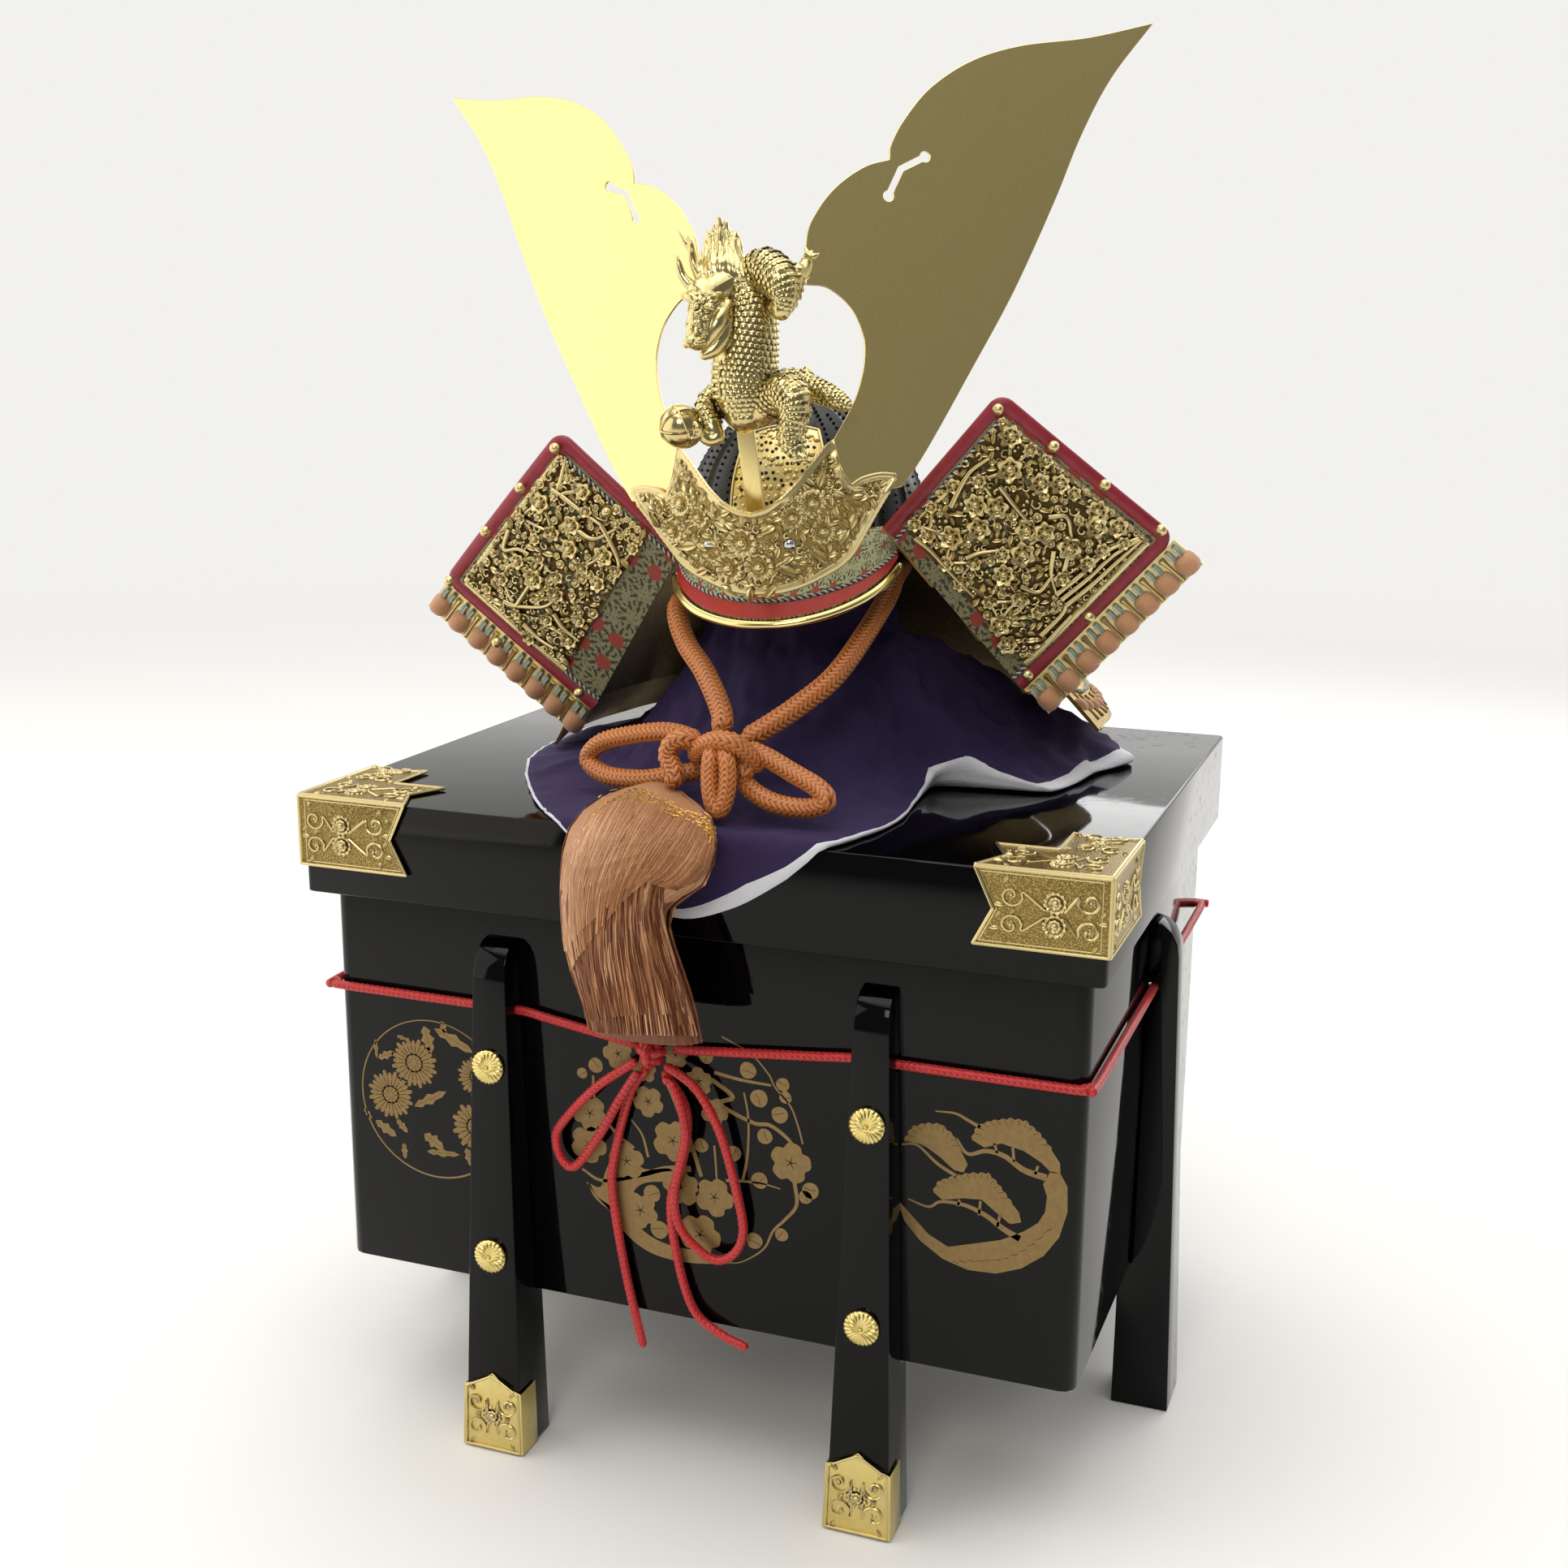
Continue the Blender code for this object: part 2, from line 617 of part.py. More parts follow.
# Hem of the cloth: angle from +X (-90 is the front), how far it lies out as a share of its reach, lift of
# the hem and bulge above it as shares of the flare's height, how steeply it flares.
HEM = [(-178, 0.7003, 0.0, 0.0, 3.0), (-165, 0.7003, 0.0, 0.0, 3.0), (-151, 0.7062, 0.0, 0.0, 3.0),
       (-137, 0.7270, 0.0, 0.0, 3.6), (-125, 0.7715, 0.0, 0.0, 4.2), (-110, 0.8582, 0.0, 0.0, 4.5),
       (-100, 0.9496, 0.0, 0.0, 4.5), (-90, 1.0000, 0.0, 0.0, 4.5), (-80, 0.9733, 0.0, 0.0, 4.5),
       (-72, 0.9258, 0.0, 0.0, 4.5), (-67, 0.8760, 0.0, 0.0, 4.2), (-60, 0.7834, 0.0, 0.0, 3.6),
       (-50, 0.6588, 0.0, 0.0, 2.4), (-40, 0.5341, 0.0, 0.0, 2.1), (-28, 0.4629, 0.062, 0.0, 1.9),
       (-20, 0.4510, 0.124, 0.062, 1.7), (-15.5, 0.4926, 0.155, 0.155, 1.5),
       (-11, 0.5786, 0.078, 0.093, 1.7), (-8, 0.6825, 0.0, 0.031, 1.9), (2, 0.7181, 0.0, 0.093, 1.9),
       (13, 0.7596, 0.0, 0.186, 1.9), (24, 0.8724, 0.0, 0.233, 1.9), (34, 0.8190, 0.0, 0.233, 1.9),
       (45, 0.7715, 0.0, 0.155, 1.9), (70, 0.6825, 0.0, 0.062, 1.9), (90, 0.7240, 0.0, 0.0, 1.9),
       (120, 0.7418, 0.0, 0.0, 1.9), (150, 0.7240, 0.0, 0.0, 2.4)]


def seat_matrix():
    return (Matrix.Translation((SEAT_X, 0, LID_TOP)) @ Matrix.Rotation(SEAT_YAW, 4, "Z")
            @ Matrix.Rotation(-SEAT_LEAN, 4, "Y"))


def dome_height():
    """Height over the lid of the cloth's middle surface under the bowl's crown."""
    crown = seat_matrix() @ Vector((0, 0, BOWL_CENTRE))
    return crown.z + BOWL_R - BOWL_WALL - LID_TOP - GAP * 2 - CLOTH_T / 2


def stand_x():
    return (seat_matrix() @ Vector((0, 0, BOWL_CENTRE))).x - 0.002


def build_stand():
    top = dome_height()
    inner = CLOTH_T / 2 + GAP
    profile = [(0.0, top - inner)]
    profile += [(HEAD_R * share, top * rise - inner) for rise, share in HEAD_ROWS]
    profile += [(POLE_R, top * 0.70), (POLE_R, FOOT_T + GAP), (FOOT_R, FOOT_T + GAP), (FOOT_R, GAP), (0.0, GAP)]
    mesh = bpy.data.meshes.new("stand_post")
    mesh.from_pydata([(r, 0, z) for r, z in profile], [(i, i + 1) for i in range(len(profile) - 1)], [])
    post = add_part("stand_post", mesh, "plain wood", smooth=False)
    post.location = (stand_x(), 0, LID_TOP)
    turn = post.modifiers.new("turn", "SCREW")
    turn.steps = turn.render_steps = 12
    turn.use_merge_vertices = True
    turn.merge_threshold = 0.00005


def cloth_rows():
    top = dome_height()
    clear = CLOTH_T / 2 + GAP * 2
    x0 = stand_x()
    floor = LID_TOP + GAP + CLOTH_T / 2 + 0.0003
    edge = LID_D / 2 + GAP + CLOTH_T / 2 + 0.0008
    rows = [[] for _ in range(11)]
    for angle, reach, lift, bulge, steep in HEM:
        reach, lift, bulge = reach * CLOTH_REACH, lift * CLOTH_FLARE, bulge * CLOTH_FLARE
        turn = math.radians(angle)
        ux, uy = math.cos(turn), math.sin(turn)
        ring = []
        for rise, share in HEAD_ROWS[:4]:
            r = HEAD_R * share + clear + 0.0006
            ring.append((r, LID_TOP + top * rise))
        pleat = PLEAT * math.cos(11 * turn)
        ring.append((CLOTH_NECK + 0.4 * pleat, LID_TOP + top * 0.60))
        neck = CLOTH_NECK + 0.005
        ring.append((neck + pleat, LID_TOP + CLOTH_FLARE))
        over = reach * -uy > edge - 0.002
        limit = edge / -uy if over else 0
        shares = [0.20, 0.42, 0.64, 0.84, 1.0]
        if over:
            last = min(limit, reach)
            at_edge = (last - neck) / (reach - neck)
            shares = [0.22 * at_edge, 0.48 * at_edge, 0.75 * at_edge, at_edge if reach > limit + 0.002 else 0.95, 1.0]
        for share in shares:
            r = neck + share * (reach - neck)
            z = floor + (CLOTH_FLARE - 0.001) * (1 - min(share, 1)) ** steep
            z += lift * share ** 2 + bulge * math.sin(math.pi * share)
            if over and r > limit:
                z = floor - (r - limit)
                r = limit
            ring.append((r, z))
        for row, (r, z) in zip(rows, ring):
            row.append((x0 + r * ux, r * uy, z))
    return rows, (x0, 0, LID_TOP + top)


def build_cloth():
    rows, tip = cloth_rows()
    cloth = add_part("cover_cloth", sheet_mesh("cover_cloth", rows, wrap=True, tip=tip), "purple cloth")
    thicken(cloth, CLOTH_T)


# Helmet

def build_bowl(seat):
    count = 2 * RIDGES
    rows = []
    for level in (72, 50, 28, 0, None):
        row = []
        for k in range(count):
            turn = math.pi * k / RIDGES
            out = 0 if k % 2 else RIDGE_OUT
            tall = math.radians(level or 0)
            r = (BOWL_R + out) * math.cos(tall)
            z = BOWL_CENTRE + (BOWL_R + out) * math.sin(tall) - (BOWL_SKIRT if level is None else 0)
            row.append((r * math.cos(turn), r * math.sin(turn), z))
        rows.append(row)
    mesh = sheet_mesh("bowl", rows, wrap=True, tip=(0, 0, BOWL_CENTRE + BOWL_R))
    thicken(add_part("bowl", mesh, "dark iron", seat), BOWL_WALL, 1.0)


def build_front_plate(seat):
    """A pierced plate that hugs the front of the bowl."""
    out = BOWL_R + RIDGE_OUT + GAP * 2 + FRONT_PLATE_T / 2
    rows = []
    spread = math.asin(FRONT_PLATE_HALF / out)
    for level in (50, 38, 27, 16, 5):
        tall = math.radians(level)
        rows.append([(out * math.cos(tall) * math.sin(spread * t), -out * math.cos(tall) * math.cos(spread * t),
                      BOWL_CENTRE + out * math.sin(tall)) for t in np.linspace(-1, 1, 8)])
    holes = {(1, 1), (1, 3), (1, 5)}
    plate = add_part("bowl_front_plate", sheet_mesh("bowl_front_plate", rows, holes=holes), "cast gilt", seat)
    thicken(plate, FRONT_PLATE_T)


def visor_point(turn, share):
    """share 0 is at the bowl, 1 at the outer edge; turn is measured from the front."""
    inner_r = BOWL_R + RIDGE_OUT + GAP * 2 + VISOR_T / 2
    inner_turn = turn * 0.66
    inner = Vector((inner_r * math.sin(inner_turn), -inner_r * math.cos(inner_turn), BOWL_CENTRE - 0.003))
    centre_y = -VISOR_REACH + 0.044
    y = centre_y - 0.044 * math.cos(turn)
    outer = Vector((VISOR_HALF * math.sin(turn), y,
                    BOWL_CENTRE - 0.003 - VISOR_DROP + 0.46 * (y + VISOR_REACH)))
    return inner.lerp(outer, share)


def visor_normal(turn, share):
    e = 0.02
    along = visor_point(turn + e, share) - visor_point(turn - e, share)
    out = visor_point(turn, share + e) - visor_point(turn, share - e)
    return out.cross(along).normalized()


VISOR_END = math.radians(80)


def build_visor(seat):
    turns = np.linspace(-VISOR_END, VISOR_END, 13)
    rows = [[], [], []]
    for turn in turns:
        span = visor_point(turn, 1) - visor_point(turn, 0)
        along = (visor_point(turn + 0.02, 1) - visor_point(turn - 0.02, 1)).normalized()
        edge = 1 - (RIM_D / 2 + GAP * 2) / span.cross(along).length
        for row, share in zip(rows, (0, 0.5, edge)):
            row.append(visor_point(turn, share))
    thicken(add_part("visor", sheet_mesh("visor", rows), "printed leather", seat), VISOR_T)
    rim = [visor_point(t, 1.0) for t in np.linspace(-VISOR_END, VISOR_END, 13)]
    add_tube("visor_rim", rim, RIM_D, "gilt brass", seat)


# Half of a horn, from the tip round its inner side to the tang and up its outer side: shares of reach and rise.
HORN = [(1.0, 1.0), (0.800, 0.970), (0.597, 0.955), (0.449, 0.924), (0.322, 0.866), (0.234, 0.794),
        (0.188, 0.737), (0.178, 0.703), (0.108, 0.690), (0.028, 0.652), (-0.035, 0.601), (-0.079, 0.537),
        (-0.096, 0.429), (-0.035, 0.418), (0.021, 0.370), (0.044, 0.313), (0.044, 0.266), (0.024, 0.205),
        (-0.018, 0.138), (-0.127, 0.015), (-0.138, -0.006), (-0.085, -0.048), (0.014, -0.051),
        (0.104, -0.042), (0.184, 0.034), (0.343, 0.214), (0.492, 0.388), (0.640, 0.588), (0.743, 0.740),
        (0.853, 0.872)]
HORN_SLOT = [(0.280, 0.706), (0.207, 0.681), (0.163, 0.620)]


def slot_outline(points, width):
    """A bent slot with round ends."""
    pts = [Vector(p) for p in points]
    left, right = [], []
    for i, p in enumerate(pts):
        along = (pts[min(i + 1, len(pts) - 1)] - pts[max(i - 1, 0)]).normalized()
        out = Vector((-along.y, along.x)) * width / 2
        left.append(p + out)
        right.append(p - out)
    first = pts[0] - (pts[1] - pts[0]).normalized() * width / 2
    last = pts[-1] + (pts[-1] - pts[-2]).normalized() * width / 2
    return [first] + left + [last] + right[::-1]


def build_horns(seat):
    scale = (HORN_REACH, HORN_RISE)
    outline = [(u * scale[0], v * scale[1]) for u, v in HORN]
    slot = slot_outline([(u * scale[0], v * scale[1]) for u, v in HORN_SLOT], SLOT_W)
    sweep, lean = math.tan(HORN_SWEEP), math.tan(HORN_LEAN)
    for name, sign in (("left", -1), ("right", 1)):
        normal = Vector((sign * sweep, -1, lean))
        along = Vector((1, sign * sweep, 0))
        shape = [outline, slot] if sign > 0 else [mirrored(outline), mirrored(slot)]
        basis = frame_at((sign * HORN_X, HORN_Y, HORN_H), along, normal)
        add_plate(f"horn_{name}", shape, HORN_T, basis, "gilt brass", seat)


# Outline of the socket's right half: share of the half width, foot and top as shares of its height.
SOCKET = [(0.0, 0.0, 0.56), (0.14, 0.006, 0.60), (0.30, 0.040, 0.72), (0.43, 0.090, 0.86), (0.52, 0.130, 0.96),
          (0.58, 0.165, 1.0), (0.635, 0.205, 0.80), (0.69, 0.270, 0.70), (0.76, 0.370, 0.74),
          (0.88, 0.540, 0.76), (1.0, 0.700, 0.745)]
# Flowers on the socket: share of the half width (both sides where not 0), share of the height.
SOCKET_FLOWERS = [(0.0, 0.30), (0.36, 0.42), (0.50, 0.74), (0.64, 0.50), (0.80, 0.62)]


def socket_y(x, h):
    """Depth of the socket's surface, just in front of the horns."""
    tang = HORN_X + HORN[20][0] * HORN_REACH * math.cos(HORN_SWEEP)
    soft = math.hypot(x, SOCKET_ROUND) - math.hypot(tang, SOCKET_ROUND) + tang
    front = (HORN_T / 2 + GAP + SOCKET_T / 2 + 0.0001) * 1.16
    bend = HORN_H - SOCKET_BEND
    y = HORN_Y + math.tan(HORN_SWEEP) * (soft - HORN_X) - front
    y += math.tan(HORN_LEAN) * (max(h, bend) - HORN_H)
    return y + 0.35 * max(bend - h, 0)


def socket_normal(x, h):
    e = 0.0005
    dx = (socket_y(x + e, h) - socket_y(x - e, h)) / (2 * e)
    dh = (socket_y(x, h + e) - socket_y(x, h - e)) / (2 * e)
    return Vector((dx, -1, dh)).normalized()


def on_rows(rows, x, h):
    """The point of a sheet through rows, read across x and then down to the height h."""
    column = []
    for row in rows:
        for a, b in zip(row, row[1:]):
            if a.x <= x <= b.x:
                column.append(a.lerp(b, (x - a.x) / (b.x - a.x)))
                break
    for a, b in zip(column, column[1:]):
        if b.z <= h <= a.z:
            return a.lerp(b, (a.z - h) / (a.z - b.z))
    return column[len(column) // 2]


def build_socket(seat):
    half = [(share * SOCKET_HALF, SOCKET_FOOT + low * SOCKET_H, SOCKET_FOOT + high * SOCKET_H)
            for share, low, high in SOCKET]
    stations = [(-x, low, high) for x, low, high in half[:0:-1]] + half
    rows = [[], [], []]
    for x, low, high in stations:
        fold = min(max(HORN_H - SOCKET_BEND, low + 0.12 * (high - low)), high - 0.12 * (high - low))
        if low > HORN_H - SOCKET_BEND:
            fold = (low + high) / 2
        for row, h in zip(rows, (high, fold, low)):
            row.append(Vector((x, socket_y(x, h), h)))
    socket = add_part("horn_socket", sheet_mesh("horn_socket", rows), "cast gilt", seat)
    thicken(socket, SOCKET_T)
    pieces = []
    for share, rise in SOCKET_FLOWERS:
        for sign in ((1, -1) if share else (1,)):
            face = on_rows(rows, sign * share * SOCKET_HALF, SOCKET_FOOT + rise * SOCKET_H)
            normal = socket_normal(face.x, face.z)
            place = frame_at(face + normal * SOCKET_T / 2, (1, 0, 0), normal)
            pieces.append((flower_mesh("flower", FLOWER_R, 0.0016, 5, sink=0.0009), place))
    for sign in (1, -1):
        face = on_rows(rows, sign * 0.29 * SOCKET_HALF, SOCKET_FOOT + 0.20 * SOCKET_H)
        turn = math.radians(sign * 22)
        tail = visor_point(turn, 0.62) + visor_normal(turn, 0.62) * (VISOR_T / 2 + GAP + SCREW_R * 0.3)
        head = face + (face - tail).normalized() * (SOCKET_T / 2 + 0.0012)
        pieces.append((swept_mesh("screw", [head, face.lerp(tail, 0.9), tail],
                                  [(SCREW_R, SCREW_R)] * 2 + [(SCREW_R * 0.4, SCREW_R * 0.4)], 6), None))
    fuse(socket, pieces)


def build_crest_post(seat):
    normal = visor_normal(0, 0.80)
    rise = (VISOR_T / 2 + GAP) / normal.z + POST_T * abs(normal.y / normal.z) + GAP
    foot = visor_point(0, 0.80) + Vector((POST_X, 0, rise))
    head = Vector((POST_X, CREST_Y - POST_T / 2, POST_TOP))
    side = Vector((POST_W / 2, 0, 0))
    rings = []
    for p in (foot, head):
        rings.append([p - side, p + side, p + side + Vector((0, POST_T, 0)), p - side + Vector((0, POST_T, 0))])
    add_part("crest_post", loft_mesh("crest_post", rings), "gilt brass", seat, smooth=False)


# Dragon, in (x, forward, height) shares of the crest's height: trunk and limbs with their half thickness.
DRAGON_TRUNK = [(-0.170, -0.04, 0.600, 0.050), (-0.110, 0.00, 0.650, 0.066), (-0.050, 0.02, 0.640, 0.082),
                (-0.020, 0.02, 0.560, 0.092), (-0.020, 0.01, 0.440, 0.098), (-0.030, 0.01, 0.320, 0.104),
                (-0.020, 0.01, 0.215, 0.104), (0.020, 0.02, 0.130, 0.088), (0.100, 0.02, 0.100, 0.066),
                (0.190, 0.01, 0.092, 0.056), (0.290, 0.00, 0.130, 0.042), (0.400, 0.00, 0.160, 0.030),
                (0.490, -0.01, 0.130, 0.012)]
DRAGON_HEAD = [(-0.110, -0.01, 0.640, 0.060, 0.055), (-0.190, -0.05, 0.620, 0.080, 0.075),
               (-0.250, -0.09, 0.560, 0.066, 0.062), (-0.300, -0.12, 0.480, 0.046, 0.040),
               (-0.325, -0.13, 0.440, 0.026, 0.022)]
DRAGON_LIMBS = {
    "fore left": [(-0.020, 0.00, 0.640, 0.050), (-0.120, -0.05, 0.480, 0.042), (-0.220, -0.07, 0.290, 0.034),
                  (-0.330, -0.07, 0.120, 0.030)],
    "fore right": [(0.020, -0.04, 0.330, 0.042), (-0.090, -0.07, 0.200, 0.036), (-0.190, -0.07, 0.110, 0.030),
                   (-0.250, -0.07, 0.060, 0.028)],
    "hind high": [(0.020, -0.01, 0.600, 0.055), (0.130, -0.03, 0.620, 0.052), (0.140, -0.03, 0.750, 0.036), (0.240, -0.03, 0.830, 0.028),
                  (0.330, -0.03, 0.830, 0.026)],
    "hind low": [(0.170, -0.02, 0.130, 0.050), (0.260, -0.04, 0.060, 0.042), (0.200, -0.05, -0.050, 0.034),
                 (0.250, -0.06, -0.100, 0.030)],
}
# Horns, mane tufts and back fins: root, tip, half thickness.
DRAGON_SPIKES = [((-0.190, -0.03, 0.660), (-0.290, 0.00, 0.960), 0.026),
                 ((-0.150, -0.02, 0.680), (-0.190, 0.03, 1.000), 0.026),
                 ((-0.120, 0.00, 0.680), (-0.070, 0.03, 1.000), 0.044),
                 ((-0.060, 0.01, 0.690), (0.030, 0.03, 0.860), 0.044),
                 ((-0.010, 0.02, 0.640), (0.080, 0.04, 0.760), 0.040),
                 ((0.040, 0.01, 0.500), (0.200, 0.02, 0.520), 0.040),
                 ((0.040, 0.01, 0.400), (0.190, 0.02, 0.380), 0.040),
                 ((0.050, 0.00, 0.270), (0.290, 0.01, 0.280), 0.050),
                 ((0.320, 0.00, 0.150), (0.380, 0.01, 0.260), 0.032),
                 ((0.250, -0.06, -0.100), (0.150, -0.08, -0.130), 0.018),
                 ((0.250, -0.06, -0.100), (0.300, -0.08, -0.140), 0.018),
                 ((0.330, -0.03, 0.830), (0.420, -0.05, 0.860), 0.018),
                 ((0.330, -0.03, 0.830), (0.410, -0.05, 0.780), 0.018),
                 ((-0.250, -0.11, 0.500), (-0.360, -0.14, 0.380), 0.018)]


def crest_point(p):
    return Vector((p[0] * CREST_H, CREST_Y + p[1] * CREST_H, POST_TOP + p[2] * CREST_H))


def build_dragon(seat):
    trunk = swept_mesh("dragon_crest", [crest_point(p) for p in DRAGON_TRUNK],
                       [(p[3] * CREST_H * 0.92, p[3] * CREST_H) for p in DRAGON_TRUNK], 7, across=(0, 1, 0))
    dragon = add_part("dragon_crest", trunk, "gilt brass", seat)
    pieces = [swept_mesh("head", [crest_point(p) for p in DRAGON_HEAD],
                         [(p[3] * CREST_H, p[4] * CREST_H) for p in DRAGON_HEAD], 6, across=(0, 1, 0))]
    for table in DRAGON_LIMBS.values():
        pieces.append(swept_mesh("limb", [crest_point(p) for p in table],
                                 [(p[3] * CREST_H, p[3] * CREST_H) for p in table], 5, across=(0, 1, 0)))
    for root, tip, half in DRAGON_SPIKES:
        a, b = crest_point(root), crest_point(tip)
        pieces.append(swept_mesh("spike", [a, a.lerp(b, 0.5), b],
                                 [(half * CREST_H * 0.6, half * CREST_H), (half * CREST_H * 0.4, half * CREST_H * 0.8),
                                  (0.0004, 0.0004)], 4, across=(0, 1, 0)))
    ball = crest_point((-0.350, -0.06, 0.045))
    pieces.append(ball_mesh("ball", ball, (BALL_R, BALL_R, BALL_R), 8, 6))
    foot_y = CREST_Y - POST_T / 2
    pieces.append(box_mesh("clip", (POST_X - POST_W / 2, foot_y, POST_TOP + GAP),
                           (POST_X + POST_W / 2, foot_y + POST_T, POST_TOP + 0.2 * CREST_H)))
    fuse(dragon, [(mesh, None) for mesh in pieces], itself=True)


# Corners of a turned-back panel as shares of its reach, depth and height: top, outer, inner, bottom.
TURN_CORNERS = [(0.578, -1.0, 1.0), (1.0, -0.611, 0.608), (0.265, -0.968, 0.676), (0.594, -0.632, 0.223)]
# Cells of the cast plate that are cut through.
PLATE_HOLES = {(1, 1), (1, 3), (1, 5), (1, 7), (3, 1), (3, 3), (3, 5), (3, 7)}
PLATE_FLOWERS = [(0.24, 0.26), (0.50, 0.42), (0.74, 0.24), (0.36, 0.62)]


def turn_point(sign, a, b, proud=0.0):
    """A point of the panel: a runs from the top corner to the outer one, b inward; proud is toward the front."""
    size = (TURN_REACH, TURN_Y, TURN_H)
    top, outer, inner, bottom = [Vector([c[i] * size[i] for i in range(3)]) for c in TURN_CORNERS]
    point = top.lerp(outer, a).lerp(inner.lerp(bottom, a), b)
    normal = (outer - top).cross(inner - top).normalized()
    if normal.y > 0:
        normal = -normal
    ca, cb = min(max(a, 0), 1), min(max(b, 0), 1)
    point += normal * (TURN_CROWN * 4 * ca * (1 - ca) * (0.4 + 0.6 * 4 * cb * (1 - cb)) + proud)
    point.z += sign * TURN_SHIFT
    return Vector((sign * point.x, point.y, point.z))


def build_turnbacks(seat):
    for name, sign in (("left", -1), ("right", 1)):
        edge = 0.055
        rows = [[turn_point(sign, a, b) for a in np.linspace(edge, 1 - edge, 7)]
                for b in np.linspace(edge + 0.012, 1.0, 5)]
        panel = add_part(f"turnback_{name}", sheet_mesh("turnback", rows), "panel cloth", seat)
        thicken(panel, TURN_T)
        border = [turn_point(sign, 0.022, 1.0 - 0.2 * k) for k in range(5)]
        border += [turn_point(sign, 0.022, 0.045), turn_point(sign, 0.040, 0.027), turn_point(sign, 0.27, 0.027)]
        border += [turn_point(sign, 0.5, 0.027), turn_point(sign, 0.73, 0.027), turn_point(sign, 0.960, 0.027)]
        border += [turn_point(sign, 0.978, 0.045)]
        border += [turn_point(sign, 0.978, 0.2 * k) for k in range(1, 5)] + [turn_point(sign, 0.978, 0.96)]
        add_tube(f"turnback_edging_{name}", border, EDGING_D, "crimson leather", seat)
        proud = TURN_T / 2 + GAP * 2 + PLATE_T / 2
        rows = [[turn_point(sign, a, b, proud) for a in np.linspace(0.10, 0.90, 10)]
                for b in np.linspace(0.10, 0.72, 7)]
        plate = add_part(f"turnback_plate_{name}", sheet_mesh("plate", rows, holes=PLATE_HOLES), "cast gilt", seat)
        thicken(plate, PLATE_T)
        flowers = []
        for a, b in PLATE_FLOWERS:
            foot = turn_point(sign, a, b, proud + PLATE_T / 2)
            normal = foot - turn_point(sign, a, b, proud)
            place = frame_at(foot, (1, 0, 0), normal)
            flowers.append((flower_mesh("flower", 0.0062, 0.0022, 5, sink=0.0005), place))
        fuse(plate, flowers)
        rows = [[turn_point(sign, a, b) for b in np.linspace(0.04, 0.98, 9)] for a in (1.010, 1.085, 1.16)]
        strip = add_part(f"scale_strip_{name}", sheet_mesh("strip", rows), "laced scales", seat)
        thicken(strip, STRIP_T)
        path, halves = [], []
        steps = 2 * PUFFS + 1
        for k in range(steps):
            b = 0.05 + 0.90 * k / (steps - 1)
            path.append(turn_point(sign, 1.085, b, STRIP_T / 2 + GAP * 2 + PUFF_D / 2))
            half = PUFF_D / 2 * (1.0 if k % 2 else 0.55)
            halves.append((half, half))
        add_part(f"silk_puffs_{name}", swept_mesh("puffs", path, halves, 6), "orange silk", seat)


# Stations of the neck guard's right half, front to back: top, lower edge of lame 3, hem of lame 4,
# as shares of its half width, its back reach and its top height. The front of the first two follows the panel.
NECK = [((0.45, -0.10, 1.0), (0.86, 0.02, 0.30), (0.990, 0.060, 0.140)),
        ((0.417, 0.098, 1.0), (0.882, 0.193, 0.290), (1.0, 0.222, 0.140)),
        ((0.334, 0.265, 1.0), (0.80, 0.46, 0.290), (0.925, 0.50, 0.140)),
        ((0.216, 0.353, 1.0), (0.62, 0.69, 0.290), (0.730, 0.77, 0.140)),
        ((0.0, 0.3825, 1.0), (0.0, 0.874, 0.290), (0.0, 1.0, 0.140))]
NECK_FRONT = (0.980, -0.037, 0.130)     # pointed front corner of lame 4


def neck_station(i, level):
    share = NECK[i][level]
    return Vector((share[0] * NECK_HALF, share[1] * NECK_BACK, share[2] * NECK_TOP))


def lame_line(level, down, step):
    """Points from the left front round the back to the right front, down from one level to the next."""
    half = []
    back = (TURN_T + LAME_T) / 2 + GAP * 2
    if level == 0:
        front = turn_point(1, 1.0 * down, 1.0)
        front.z -= TURN_SHIFT
        front.y += back
    else:
        top = turn_point(1, 0.97, 0.90)
        top.z -= TURN_SHIFT
        top.y += back + LAME_TUCK
        low = Vector((NECK_FRONT[0] * NECK_HALF, NECK_FRONT[1] * NECK_BACK, NECK_FRONT[2] * NECK_TOP))
        front = top.lerp(low, down)
    half.append(front)
    for i in range(len(NECK)):
        half.append(neck_station(i, level).lerp(neck_station(i, level + 1), down))
    moved = []
    for i, p in enumerate(half):
        out = Vector((p.x, p.y, 0)).normalized() if i else Vector((1, 0.3, 0)).normalized()
        moved.append(p + out * LAME_STEP * step)
    return [Vector((-p.x, p.y, p.z)) for p in moved[:-1]] + moved[::-1]


def build_neck_guard(seat):
    lap = 0.07
    for k in range(3):
        top = k / 3 - (lap if k else 0)
        rows = [lame_line(0, top, 1.0 if k else 0.0), lame_line(0, (k + 1) / 3, 0.0)]
        lame = add_part(f"neck_lame_{k + 1}", sheet_mesh("lame", rows), "laced scales", seat)
        thicken(lame, LAME_T)
    rows = [lame_line(1, 0.0, 0.70), lame_line(1, 0.5, 0.45), lame_line(1, 1.0, 0.0)]
    thicken(add_part("neck_lame_4", sheet_mesh("lame", rows), "laced scales", seat), LAME_T)


